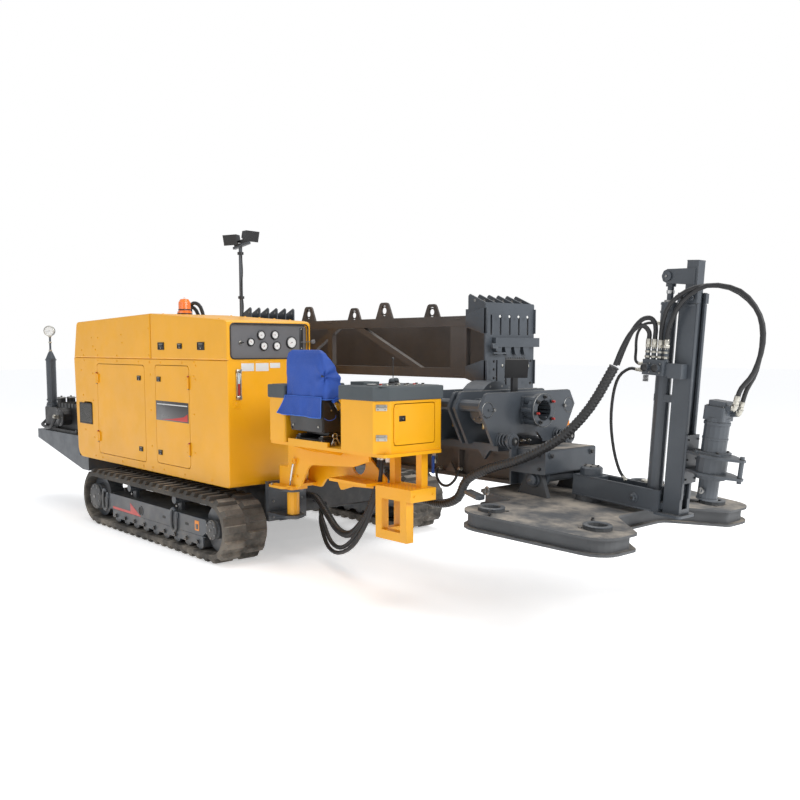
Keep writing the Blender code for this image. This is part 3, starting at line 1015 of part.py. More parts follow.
MAST_HALF = 0.052
MAST_WALL = 0.008
MAST_SLOT = 0.026
mast_foot = ARM_FOOT + 0.004 + GAP
mast_top = plate_top + MAST_HEIGHT
mast = [block((mast_x - MAST_HALF, mast_x + MAST_HALF), (-MAST_HALF, MAST_HALF), (mast_foot, mast_top)),
        block((mast_x - MAST_HALF - 0.010, mast_x + MAST_HALF + 0.008 - FACE_PLAY), (-MAST_HALF - 0.010, MAST_HALF + 0.010),
              (mast_top - 0.058, mast_top - 0.004), 0.006),
        block((mast_x - 0.090, mast_x - MAST_HALF + 0.002), (-0.055, 0.055), (mast_foot + 0.014, mast_foot + 0.05))]
mast_cut = [block((mast_x - MAST_HALF + MAST_WALL, mast_x + MAST_HALF - MAST_WALL),
                  (-MAST_HALF + MAST_WALL, MAST_HALF - MAST_WALL), (mast_foot + 0.01, mast_top + 0.1)),
            block((mast_x, mast_x + 0.2), (-MAST_SLOT, MAST_SLOT), (mast_foot + 0.03, mast_top + 0.1))]
node("mast_tube", "slate", fuse(mast, mast_cut), plate_frame)

feed_foot = ARM_FOOT + 0.018 + GAP
FEED_RADIUS = 0.044
feed_top = mast_top - 0.055
feed_rod_hole = bore((feed_x, 0, feed_top - 1.08), (feed_x, 0, feed_top + 0.1), 0.018)
node("feed_cylinder", "slate",
     fuse([bar((feed_x, 0, feed_foot), (feed_x, 0, feed_top), FEED_RADIUS),
           block((feed_x - 0.035, mast_x - MAST_HALF - 0.010 - GAP), (-0.03, 0.03), (0.55, 0.59))], [feed_rod_hole]),
     plate_frame)

SLIDE_HALF = 0.034
SLIDE_PROUD = 0.172
slide_top = mast_top + SLIDE_PROUD
BRACKET_FACE = mast_x + MAST_HALF + 0.020
bracket_z = (0.115, 0.385)
EYE_Z = mast_top + 0.085
slide = [block((mast_x - SLIDE_HALF, mast_x + SLIDE_HALF), (-SLIDE_HALF, SLIDE_HALF), (mast_foot + 0.10, slide_top)),
         block((mast_x + SLIDE_HALF - 0.002, BRACKET_FACE), (FACE_PLAY - MAST_SLOT, MAST_SLOT - FACE_PLAY), (bracket_z[0] + 0.01, bracket_z[1] - 0.01)),
         block((BRACKET_FACE - 0.012, BRACKET_FACE), (-0.062, 0.062), bracket_z),
         turned([(0, 0), (0.018, 0), (0.018, 1.04 + EYE_Z - feed_top - 0.055), (0.028, 1.04 + EYE_Z - feed_top - 0.055),
                 (0.028, 1.04 + EYE_Z - feed_top - 0.005), (0, 1.04 + EYE_Z - feed_top - 0.005)],
                (feed_x, 0, feed_top - 1.04), (0, 0, 1), facets(0.018))]
for sign in (-1, 1):
    low, high = sorted((sign * 0.024, sign * 0.040))
    slide.append(prism(outline((feed_x - 0.038, EYE_Z - 0.036, 0.034), (mast_x + 0.02, EYE_Z - 0.045), (mast_x + 0.02, EYE_Z + 0.045),
                               (feed_x - 0.038, EYE_Z + 0.038, 0.034)), "y", low, high))
slide.append(bar((feed_x, -0.047, EYE_Z), (feed_x, 0.047, EYE_Z), 0.016))
node("mast_slide", "slate", fuse(slide), plate_frame)

auger_base = (POST_X + STAKE_CIRCLE, 0, plate_top)
auger_frame = carrier_empty("auger_frame", auger_base, (0, AUGER_LEAN, 0), plate_frame)


def auger_x(z):
    """How far the plate-frame face of the bracket lies behind the leaning auger axis at a height."""
    return BRACKET_FACE - auger_base[0] - math.tan(AUGER_LEAN) * z


HUB_Z = (0.147, 0.262)
motor = [turned([(0, 0), (0.082, 0), (0.082, 0.135), (0.066, 0.14), (0.066, 0.335), (0, 0.335)],
                (0, 0, HUB_Z[1] + 0.003), (0, 0, 1)),
         block((-0.073, 0.073), (-0.073, 0.073), (0.393, 0.413), 0.01),
         block((-0.060, 0.060), (-0.060, 0.060), (0.585, 0.66), 0.012),
         block((-0.045, 0.055), (-0.045, 0.045), (0.655, 0.69), 0.01),
         bar((0.05, -0.03, 0.655), (0.085, -0.03, 0.662), 0.018),
         bar((0.05, 0.03, 0.625), (0.085, 0.03, 0.632), 0.018)]
for z in (0.285, 0.385):
    motor.append(prism(outline((auger_x(z) + GAP, -0.060), (-0.02, -0.098), (0.08, -0.085, 0.04), (0.185, -0.012),
                               (0.185, 0.012), (0.08, 0.085, 0.04), (-0.02, 0.098), (auger_x(z) + GAP, 0.060)),
                       "z", z, z + 0.014))
motor.append(bar((0.168, 0, 0.27), (0.168, 0, 0.415), 0.013))
node("auger_motor", "slate", fuse(motor), auger_frame)
hub_solids = [bar((0, 0, HUB_Z[0]), (0, 0, HUB_Z[1] + 0.003 - GAP), 0.054),
              bar((0, -0.082, HUB_Z[0] + 0.055), (0, 0.082, HUB_Z[0] + 0.055), 0.011)]
node("auger_hub", "slate", fuse(hub_solids, [bar((0, 0, 0.1), (0, 0, 0.235), 0.030)]), auger_frame)

VALVE_Z = (0.700, 0.785)
valve = [block((feed_x - 0.060, feed_x + 0.075), (-0.135, -0.078), VALVE_Z, 0.008),
         block((mast_x - 0.05, mast_x + 0.03), (-0.115, -MAST_HALF - GAP), (0.690, 0.770)),
         block((feed_x + 0.05, mast_x - 0.04), (-0.115, -0.080), (0.700, 0.765)),
         bar((feed_x - 0.030, -0.16, 0.74), (feed_x - 0.030, -0.12, 0.74), 0.022),
         bar((feed_x + 0.035, -0.16, 0.74), (feed_x + 0.035, -0.12, 0.74), 0.022)]
VALVE_SPOOLS = [feed_x - 0.045 + index * 0.038 for index in range(4)]
SPOOL_TOP = 0.850
for x in VALVE_SPOOLS:
    valve.append(bar((x, -0.107, VALVE_Z[1] - 0.01), (x, -0.107, SPOOL_TOP), 0.013))
node("anchor_valve", "slate", fuse(valve), plate_frame)


# Lift cylinder under the drill frame

lift_axis = (Vector((LIFT_HEAD[0], 0, LIFT_HEAD[1])) - Vector((LIFT_FOOT[0], 0, LIFT_FOOT[1])))
lift_pitch = math.atan2(lift_axis.z, lift_axis.x)
lift_frame = carrier_empty("lift_frame", (LIFT_FOOT[0], 0, LIFT_FOOT[1]), (0, -lift_pitch, 0))
LIFT_BARREL = 0.036
LIFT_ROD = 0.020
LIFT_SLACK = 0.0055     # round the head pin, where the linkage is open
lift_length = lift_axis.length
barrel_end = lift_length - 0.045
eye_half = LIFT_EAR[0] - FACE_PLAY
node("lift_barrel", "slate",
     fuse([bar((0.036, 0, 0), (barrel_end, 0, 0), LIFT_BARREL),
           block((0.010, 0.045), (-0.024, 0.024), (-0.020, 0.020)),
           bar((0, -eye_half, 0), (0, eye_half, 0), 0.026, 12)],
          [bore((0, -0.2, 0), (0, 0.2, 0), LIFT_PIN),
           bore((0.052, 0, 0), (barrel_end + 0.1, 0, 0), LIFT_ROD)]), lift_frame)
node("lift_rod", "steel",
     fuse([bar((0.058, 0, 0), (lift_length - 0.026, 0, 0), LIFT_ROD),
           bar((lift_length, -eye_half, 0), (lift_length, eye_half, 0), 0.034, 12)],
          [bar((lift_length, -0.2, 0), (lift_length, 0.2, 0), LIFT_PIN + LIFT_SLACK, 12)]), lift_frame)


# Hoses

plate_place = Matrix.Translation((PLATE_HINGE[0], 0, PLATE_HINGE[1])) @ Matrix.Rotation(PLATE_TILT, 4, "Y")


def on_plate(x, y, z):
    """A point of the anchor plate's own frame, in the machine's frame."""
    return plate_place @ Vector((x, y, z))


CONDUIT_RADIUS = 0.030
HOSE_RADIUS = 0.013
spool_z = SPOOL_TOP + FACE_PLAY
conduit_end = Vector((3.95, -0.235, 1.49))
hose("conduit_anchor", [(2.00, -0.21, FRAME_BOTTOM - FACE_PLAY), (2.00, -0.21, 0.73), (2.00, -0.21, 0.71), (2.03, -0.22, 0.67), (2.20, -0.27, 0.625),
                        (2.45, -0.34, 0.585), (2.70, -0.36, 0.57), (2.87, -0.37, 0.63), (2.96, -0.38, 0.76),
                        (3.15, -0.38, 0.85), (3.42, -0.37, 0.94), (3.66, -0.32, 1.08), (3.82, -0.27, 1.26), conduit_end],
     CONDUIT_RADIUS)
hose("hose_feed", [conduit_end + Vector((0.004, 0.001, 0.008)), (4.00, -0.205, 1.60), (4.05, -0.16, 1.70),
                   on_plate(VALVE_SPOOLS[0] + 0.001, -0.110, spool_z + 0.08), on_plate(VALVE_SPOOLS[0], -0.107, spool_z + 0.04),
                   on_plate(VALVE_SPOOLS[0], -0.107, spool_z + 0.02), on_plate(VALVE_SPOOLS[0], -0.107, spool_z)],
     HOSE_RADIUS)
hose("hose_auger", [on_plate(VALVE_SPOOLS[3], -0.107, spool_z), on_plate(VALVE_SPOOLS[3], -0.107, spool_z + 0.02),
                    on_plate(VALVE_SPOOLS[3], -0.107, spool_z + 0.04), on_plate(VALVE_SPOOLS[3] + 0.01, -0.11, spool_z + 0.12),
                    (4.28, -0.105, 1.84), (4.42, -0.10, 1.92), (4.57, -0.07, 1.88), (4.66, -0.05, 1.76),
                    (4.67, -0.03, 1.62), (4.625, -0.02, 1.47)], HOSE_RADIUS)
hose("conduit_station", [(2.30, -0.56, tray_bottom - FACE_PLAY), (2.30, -0.56, tray_bottom - 0.03),
                         (2.30, -0.56, tray_bottom - 0.06), (2.31, -0.565, 0.78), (2.29, -0.57, 0.62), (2.16, -0.56, 0.42),
                         (1.95, -0.52, 0.27), (1.74, -0.47, 0.26), (1.55, -0.42, 0.34), (1.38, -0.390, 0.440),
                         (CHASSIS_FRONT + 0.030, -0.385, 0.450), (CHASSIS_FRONT - 0.005, -0.385, 0.450),
                         (CHASSIS_FRONT - 0.040 + FACE_PLAY, -0.385, 0.450)], 0.028)
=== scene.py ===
"""The dressed directional drill: finishes, fittings, cloth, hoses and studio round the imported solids."""

import logging
import math
import random
from dataclasses import dataclass
from enum import Enum
from typing import Callable, Iterable, Optional, Sequence, Union

import bmesh
import bpy
from mathutils import Matrix, Vector, noise


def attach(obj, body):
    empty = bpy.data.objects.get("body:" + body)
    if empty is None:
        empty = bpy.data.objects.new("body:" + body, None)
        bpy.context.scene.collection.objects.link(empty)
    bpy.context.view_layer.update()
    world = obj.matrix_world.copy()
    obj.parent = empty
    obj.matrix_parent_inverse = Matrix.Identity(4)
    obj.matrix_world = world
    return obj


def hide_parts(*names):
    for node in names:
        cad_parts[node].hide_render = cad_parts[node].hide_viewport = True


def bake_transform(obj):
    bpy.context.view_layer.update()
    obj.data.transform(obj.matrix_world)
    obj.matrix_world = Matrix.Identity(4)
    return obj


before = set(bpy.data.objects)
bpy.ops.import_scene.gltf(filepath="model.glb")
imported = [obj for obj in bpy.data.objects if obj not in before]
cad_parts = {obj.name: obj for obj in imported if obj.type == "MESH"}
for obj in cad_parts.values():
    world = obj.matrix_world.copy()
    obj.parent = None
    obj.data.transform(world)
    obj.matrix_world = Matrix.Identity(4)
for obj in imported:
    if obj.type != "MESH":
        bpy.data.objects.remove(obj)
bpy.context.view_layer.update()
log = logging.getLogger("drill")

Socket = bpy.types.NodeSocket
Input = Union[bpy.types.NodeSocket, float]
Colour = Union[bpy.types.NodeSocket, Sequence[float]]

# The machine's own datum is its track middle line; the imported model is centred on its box.
DATUM = Vector((-0.9328, 0.06, 0.0))
PLATE_HINGE = Vector((3.37, 0.0, 0.79))
PLATE_TILT = math.radians(3.4)
AUGER_LEAN = math.radians(3.0)
DRILL_LINE_Z = 1.20
X, Y, Z = Vector((1, 0, 0)), Vector((0, 1, 0)), Vector((0, 0, 1))
MACHINE = Matrix.Translation(DATUM)
PLATE = MACHINE @ Matrix.Translation(PLATE_HINGE) @ Matrix.Rotation(PLATE_TILT, 4, "Y")
AUGER = PLATE @ Matrix.Translation((1.025, 0, -0.10)) @ Matrix.Rotation(AUGER_LEAN, 4, "Y")


# Finishes

class Wear(Enum):
    """How a surface ages."""

    PAINT = "paint"
    METAL = "metal"
    RUBBER = "rubber"
    CLOTH = "cloth"
    PLASTIC = "plastic"


def node_group(name: str, inputs: Sequence[tuple[str, str, float]],
               outputs: Sequence[tuple[str, str]]) -> tuple:
    """Make an empty shader node group.

    Args:
        name: The group's name.
        inputs: Name, socket type and default of each input.
        outputs: Name and socket type of each output.

    Returns:
        The node tree, its input node and its output node.
    """
    tree = bpy.data.node_groups.new(name, "ShaderNodeTree")
    for label, kind, value in inputs:
        socket = tree.interface.new_socket(name=label, in_out="INPUT", socket_type=kind)
        socket.default_value = value
    for label, kind in outputs:
        tree.interface.new_socket(name=label, in_out="OUTPUT", socket_type=kind)
    return tree, tree.nodes.new("NodeGroupInput"), tree.nodes.new("NodeGroupOutput")


def math_node(tree: bpy.types.NodeTree, operation: str, a: Input, b: Optional[Input] = None,
              clamp: bool = False) -> bpy.types.NodeSocket:
    """Add a Math node and return its output; a and b are sockets or numbers.

    Args:
        tree: The node tree that the node goes into.
        operation: The node's operation.
        a: The first value.
        b: The second value.
        clamp: Whether the result is kept within 0 and 1.

    Returns:
        The node's output.
    """
    node = tree.nodes.new("ShaderNodeMath")
    node.operation = operation
    node.use_clamp = clamp
    for index, value in enumerate((a, b)):
        if value is None:
            continue
        if isinstance(value, bpy.types.NodeSocket):
            tree.links.new(value, node.inputs[index])
        else:
            node.inputs[index].default_value = value
    return node.outputs[0]


def noise_node(tree: bpy.types.NodeTree, vector: Socket, scale: Input, detail: float = 4.0,
               rough: float = 0.6) -> bpy.types.NodeSocket:
    """Add a Noise Texture on a vector and return its factor; scale is a socket or a number.

    Args:
        tree: The node tree that the node goes into.
        vector: Where the noise is looked up.
        scale: How fine the noise is.
        detail: How many octaves it has.
        rough: How strong the finer octaves are.

    Returns:
        The node's factor.
    """
    node = tree.nodes.new("ShaderNodeTexNoise")
    node.inputs["Detail"].default_value = detail
    node.inputs["Roughness"].default_value = rough
    tree.links.new(vector, node.inputs["Vector"])
    if isinstance(scale, bpy.types.NodeSocket):
        tree.links.new(scale, node.inputs["Scale"])
    else:
        node.inputs["Scale"].default_value = scale
    return node.outputs["Fac"]


def ramp(tree: bpy.types.NodeTree, value: Socket, low: float, high: float) -> Socket:
    """Map a value from low..high to 0..1, clamped and smooth.

    Args:
        tree: The node tree that the node goes into.
        value: The value to map.
        low: What becomes 0.
        high: What becomes 1.

    Returns:
        The mapped value.
    """
    node = tree.nodes.new("ShaderNodeMapRange")
    node.interpolation_type = "SMOOTHSTEP"
    node.inputs["From Min"].default_value = low
    node.inputs["From Max"].default_value = high
    tree.links.new(value, node.inputs["Value"])
    return node.outputs["Result"]


class Effects:
    """The shader node groups that several finishes share."""

    def __init__(self) -> None:
        """Build each group once."""
        self.edges = self._edges()
        self.dust = self._dust()
        self.blotches = self._blotches()
        self.grain = self._grain()
        self.weave = self._weave()

    def _edges(self) -> bpy.types.NodeTree:
        """Where a rounded edge is rubbed: a broken line along the corners."""
        tree, _, out = node_group("edge_rub",
                                  (("Reach", "NodeSocketFloat", 0.004), ("Amount", "NodeSocketFloat", 0.5)),
                                  (("Mask", "NodeSocketFloat"),))
        given = tree.nodes[0]
        rounded = tree.nodes.new("ShaderNodeBevel")
        rounded.samples = 4
        tree.links.new(given.outputs["Reach"], rounded.inputs["Radius"])
        flat = tree.nodes.new("ShaderNodeNewGeometry")
        across = tree.nodes.new("ShaderNodeVectorMath")
        across.operation = "DOT_PRODUCT"
        tree.links.new(rounded.outputs["Normal"], across.inputs[0])
        tree.links.new(flat.outputs["Normal"], across.inputs[1])
        turn = ramp(tree, math_node(tree, "SUBTRACT", 1.0, across.outputs["Value"]), 0.02, 0.22)
        place = tree.nodes.new("ShaderNodeTexCoord").outputs["Object"]
        patches = ramp(tree, noise_node(tree, place, 9.0, 6.0, 0.7), 0.46, 0.62)
        specks = ramp(tree, noise_node(tree, place, 70.0, 3.0, 0.6), 0.42, 0.60)
        broken = math_node(tree, "MULTIPLY", patches, specks)
        mask = math_node(tree, "MULTIPLY", math_node(tree, "MULTIPLY", turn, broken),
                         given.outputs["Amount"], True)
        tree.links.new(mask, out.inputs["Mask"])
        return tree

    def _dust(self) -> bpy.types.NodeTree:
        """Dust that lies on level faces and splashes up from the ground."""
        tree, given, out = node_group("dust",
                                      (("Top", "NodeSocketFloat", 0.2), ("Foot", "NodeSocketFloat", 0.5),
                                       ("Height", "NodeSocketFloat", 0.6)), (("Mask", "NodeSocketFloat"),))
        place = tree.nodes.new("ShaderNodeTexCoord").outputs["Object"]
        split = tree.nodes.new("ShaderNodeSeparateXYZ")
        tree.links.new(place, split.inputs[0])
        facing = tree.nodes.new("ShaderNodeSeparateXYZ")
        tree.links.new(tree.nodes.new("ShaderNodeNewGeometry").outputs["Normal"], facing.inputs[0])
        cloud = ramp(tree, noise_node(tree, place, 5.0, 8.0, 0.65), 0.35, 0.70)
        level = math_node(tree, "MULTIPLY", ramp(tree, facing.outputs["Z"], 0.5, 1.0), given.outputs["Top"])
        low = math_node(tree, "SUBTRACT", 1.0,
                        math_node(tree, "DIVIDE", split.outputs["Z"], given.outputs["Height"]), True)
        foot = math_node(tree, "MULTIPLY", low, given.outputs["Foot"])
        mask = math_node(tree, "MULTIPLY", math_node(tree, "ADD", level, foot), cloud, True)
        tree.links.new(mask, out.inputs["Mask"])
        return tree

    def _blotches(self) -> bpy.types.NodeTree:
        """Large soft variation, for colour and roughness."""
        tree, given, out = node_group("blotches", (("Scale", "NodeSocketFloat", 3.0),),
                                      (("Value", "NodeSocketFloat"),))
        place = tree.nodes.new("ShaderNodeTexCoord").outputs["Object"]
        big = noise_node(tree, place, given.outputs["Scale"], 5.0, 0.6)
        tree.links.new(ramp(tree, big, 0.30, 0.72), out.inputs["Value"])
        return tree

    def _grain(self) -> bpy.types.NodeTree:
        """Fine height for paint skin, cast faces and rubber."""
        tree, given, out = node_group("grain", (("Scale", "NodeSocketFloat", 250.0),),
                                      (("Height", "NodeSocketFloat"),))
        place = tree.nodes.new("ShaderNodeTexCoord").outputs["Object"]
        tree.links.new(noise_node(tree, place, given.outputs["Scale"], 2.0, 0.5), out.inputs["Height"])
        return tree

    def _weave(self) -> bpy.types.NodeTree:
        """Over-and-under threads of a coated cloth."""
        tree, given, out = node_group("weave", (("Scale", "NodeSocketFloat", 160.0),),
                                      (("Height", "NodeSocketFloat"),))
        place = tree.nodes.new("ShaderNodeTexCoord").outputs["Object"]
        heights = []
        for direction in ("X", "Z"):
            wave = tree.nodes.new("ShaderNodeTexWave")
            wave.bands_direction = direction
            wave.inputs["Distortion"].default_value = 0.6
            tree.links.new(place, wave.inputs["Vector"])
            tree.links.new(given.outputs["Scale"], wave.inputs["Scale"])
            heights.append(wave.outputs["Fac"])
        tree.links.new(math_node(tree, "MAXIMUM", *heights), out.inputs["Height"])
        return tree


@dataclass(frozen=True)
class Finish:
    """One finish: its colours in linear light and how it has aged."""

    name: str
    colour: tuple[float, float, float]
    rough: float = 0.45
    metal: float = 0.0
    wear: Wear = Wear.PAINT
    shade: float = 0.85
    bare: tuple[float, float, float] = (0.20, 0.19, 0.18)
    rub: float = 0.5
    dust: float = 0.25
    foot: float = 0.4
    grain: float = 300.0
    bump: float = 0.04
    coat: float = 0.0
    glow: float = 0.0

    def make(self, effects: Effects) -> bpy.types.Material:
        """Build the material.

        Args:
            effects: The shared node groups.

        Returns:
            The new material.
        """
        material = bpy.data.materials.new(self.name)
        material.use_nodes = True
        material.diffuse_color = (*self.colour, 1)
        tree = material.node_tree
        shader = tree.nodes["Principled BSDF"]
        colour = self._mix(tree, self._value(tree, effects.blotches, "Scale", 2.2),
                           tuple(c * self.shade for c in self.colour), self.colour)
        dust = self._group(tree, effects.dust)
        dust.inputs["Top"].default_value = self.dust
        dust.inputs["Foot"].default_value = self.foot
        colour = self._mix(tree, dust.outputs["Mask"], colour, (0.33, 0.29, 0.24))
        metal = None
        if self.wear in (Wear.PAINT, Wear.METAL, Wear.PLASTIC) and self.rub > 0:
            edges = self._group(tree, effects.edges)
            edges.inputs["Amount"].default_value = self.rub
            colour = self._mix(tree, edges.outputs["Mask"], colour, self.bare)
            if self.wear is Wear.PAINT:
                metal = math_node(tree, "MULTIPLY", edges.outputs["Mask"], 0.7)
        tree.links.new(colour, shader.inputs["Base Color"])
        if metal is not None:
            tree.links.new(metal, shader.inputs["Metallic"])
        else:
            shader.inputs["Metallic"].default_value = self.metal
        spread = self._value(tree, effects.blotches, "Scale", 7.0)
        dull = math_node(tree, "MULTIPLY_ADD", spread, 0.16)
        dull.node.inputs[2].default_value = self.rough - 0.08
        rough = math_node(tree, "MULTIPLY_ADD", dust.outputs["Mask"], 0.35)
        tree.links.new(dull, rough.node.inputs[2])
        tree.links.new(rough, shader.inputs["Roughness"])
        shader.inputs["Coat Weight"].default_value = self.coat
        shader.inputs["Coat Roughness"].default_value = 0.12
        if self.glow:
            shader.inputs["Emission Color"].default_value = (*self.colour, 1)
            shader.inputs["Emission Strength"].default_value = self.glow
        kind = effects.weave if self.wear is Wear.CLOTH else effects.grain
        bump = tree.nodes.new("ShaderNodeBump")
        bump.inputs["Strength"].default_value = self.bump
        bump.inputs["Distance"].default_value = 0.002
        tree.links.new(self._value(tree, kind, "Scale", self.grain), bump.inputs["Height"])
        tree.links.new(bump.outputs["Normal"], shader.inputs["Normal"])
        return material

    @staticmethod
    def _group(tree: bpy.types.NodeTree, group: bpy.types.NodeTree) -> bpy.types.Node:
        """Place a shared group in a material."""
        node = tree.nodes.new("ShaderNodeGroup")
        node.node_tree = group
        return node

    def _value(self, tree: bpy.types.NodeTree, group: bpy.types.NodeTree, name: str,
               value: float) -> bpy.types.NodeSocket:
        """Place a shared group with one value set and return its output."""
        node = self._group(tree, group)
        node.inputs[name].default_value = value
        return node.outputs[0]

    @staticmethod
    def _mix(tree: bpy.types.NodeTree, mask: Socket, low: Colour, high: Colour) -> Socket:
        """Mix two colours, each a socket or three numbers, by a mask."""
        node = tree.nodes.new("ShaderNodeMix")
        node.data_type = "RGBA"
        tree.links.new(mask, node.inputs["Factor"])
        for socket, value in ((node.inputs[6], low), (node.inputs[7], high)):
            if isinstance(value, bpy.types.NodeSocket):
                tree.links.new(value, socket)
            else:
                socket.default_value = (*value, 1)
        return node.outputs[2]


FINISHES = (
    Finish("yellow_paint", (0.84, 0.390, 0.004), 0.40, shade=0.93, bare=(0.30, 0.12, 0.02),
           rub=0.35, dust=0.12, foot=0.10, coat=0.05),
    Finish("slate_paint", (0.060, 0.070, 0.083), 0.42, shade=0.80, rub=0.55, dust=0.22, foot=0.35,
           coat=0.15),
    Finish("truss_paint", (0.085, 0.070, 0.061), 0.50, shade=0.70, bare=(0.16, 0.09, 0.05), rub=0.5,
           dust=0.35, foot=0.0),
    Finish("black_paint", (0.014, 0.014, 0.015), 0.45, rub=0.4, dust=0.20),
    Finish("plate_paint", (0.075, 0.078, 0.082), 0.60, shade=0.70, rub=0.8, dust=0.95, foot=0.2,
           bump=0.10, grain=60.0),
    Finish("track_rubber", (0.050, 0.046, 0.041), 0.85, wear=Wear.RUBBER, shade=0.7, dust=0.75,
           foot=0.65, bump=0.15, grain=120.0),
    Finish("hose_rubber", (0.013, 0.013, 0.014), 0.50, wear=Wear.RUBBER, dust=0.10, foot=0.05,
           bump=0.08),
    Finish("hose_guard", (0.018, 0.018, 0.019), 0.38, wear=Wear.RUBBER, dust=0.12, foot=0.05,
           bump=0.05),
    Finish("panel_grey", (0.145, 0.145, 0.152), 0.50, rub=0.2, dust=0.10, foot=0.0),
    Finish("console_pad", (0.072, 0.085, 0.092), 0.75, wear=Wear.RUBBER, dust=0.15, foot=0.0,
           bump=0.20, grain=500.0),
    Finish("seat_black", (0.0065, 0.0065, 0.007), 0.80, wear=Wear.RUBBER, dust=0.10, foot=0.0,
           bump=0.10, grain=400.0),
    Finish("cover_edge", (0.045, 0.16, 0.62), 0.55, wear=Wear.CLOTH, shade=0.85, dust=0.03,
           foot=0.0, bump=0.25, grain=170.0),
    Finish("cover_blue", (0.019, 0.080, 0.40), 0.66, wear=Wear.CLOTH, shade=0.80, dust=0.06,
           foot=0.0, bump=0.35, grain=170.0),
    Finish("amber_lens", (0.95, 0.22, 0.01), 0.12, wear=Wear.PLASTIC, rub=0.0, dust=0.05, foot=0.0,
           bump=0.0, coat=1.0, glow=0.08),
    Finish("chrome", (0.62, 0.62, 0.61), 0.16, 1.0, Wear.METAL, bare=(0.45, 0.44, 0.42), rub=0.2,
           dust=0.05, foot=0.0, bump=0.01),
    Finish("steel", (0.30, 0.295, 0.285), 0.38, 1.0, Wear.METAL, bare=(0.5, 0.5, 0.49), rub=0.4,
           dust=0.15, foot=0.1, bump=0.05),
    Finish("zinc", (0.52, 0.50, 0.44), 0.35, 0.9, Wear.METAL, rub=0.2, dust=0.10, foot=0.0,
           bump=0.03),
    Finish("black_plastic", (0.016, 0.016, 0.017), 0.40, wear=Wear.PLASTIC, rub=0.0, dust=0.10,
           foot=0.05, bump=0.05),
    Finish("red_paint", (0.55, 0.018, 0.012), 0.35, rub=0.2, dust=0.10, foot=0.1, coat=0.3),
    Finish("amber_tag", (0.80, 0.26, 0.02), 0.45, wear=Wear.PLASTIC, rub=0.0, dust=0.10, foot=0.05,
           bump=0.02),
    Finish("brass", (0.46, 0.41, 0.26), 0.36, 1.0, Wear.METAL, rub=0.2, dust=0.10, foot=0.0,
           bump=0.02),
    Finish("red_cap", (0.42, 0.020, 0.014), 0.40, wear=Wear.PLASTIC, rub=0.0, dust=0.12, foot=0.0),
    Finish("blue_handle", (0.02, 0.10, 0.50), 0.40, wear=Wear.PLASTIC, rub=0.0, dust=0.08,
           foot=0.0),
    Finish("dial_white", (0.80, 0.80, 0.78), 0.45, wear=Wear.PLASTIC, rub=0.0, dust=0.03, foot=0.0,
           bump=0.0),
    Finish("blank_plate", (0.72, 0.72, 0.70), 0.40, wear=Wear.PLASTIC, rub=0.0, dust=0.05, foot=0.0,
           bump=0.01),
    Finish("dark_plate", (0.035, 0.032, 0.032), 0.35, wear=Wear.PLASTIC, rub=0.0, dust=0.05,
           foot=0.0, bump=0.01, coat=0.4),
    Finish("sight_glass", (0.70, 0.78, 0.80), 0.10, wear=Wear.PLASTIC, rub=0.0, dust=0.02, foot=0.0,
           bump=0.0, coat=1.0),
    # Dark mesh, frames and pans, and also painted shade: the dark plates behind the grilles, under the
    # louvres and in the track beam's holes.
    Finish("dark_parts_and_painted_shade", (0.030, 0.028, 0.026), 0.60, wear=Wear.METAL, rub=0.0, dust=0.25, foot=0.0),
)

NODE_FINISHES = {
    "yellow_paint": "hood_body hood_roof hood_lid door_front door_rear station_tray swing_arm "
                    "console_front console_rear console_door",
    "truss_paint": "rod_box_truss_near rod_box_truss_far rod_box_sheet drill_frame",
    "black_paint": "chassis engine_block mud_pump work_lamps",
    "black_plastic": "vise_lamp",
    "plate_paint": "anchor_plate",
    "track_rubber": "track_left track_right",
    "panel_grey": "gauge_panel",
    "console_pad": "console_front_pad console_rear_pad",
    "seat_black": "seat",
    "cover_blue": "seat_cover",
    "amber_lens": "beacon",
    "chrome": "spindle lift_rod",
    "hose_rubber": "conduit_anchor conduit_station hose_feed hose_auger",
}


# Shapes

def aimed(base: Sequence[float], direction: Sequence[float]) -> Matrix:
    """Stand a shape at a place with its own z along a direction."""
    return Matrix.Translation(base) @ Vector(direction).to_track_quat("Z", "Y").to_matrix().to_4x4()


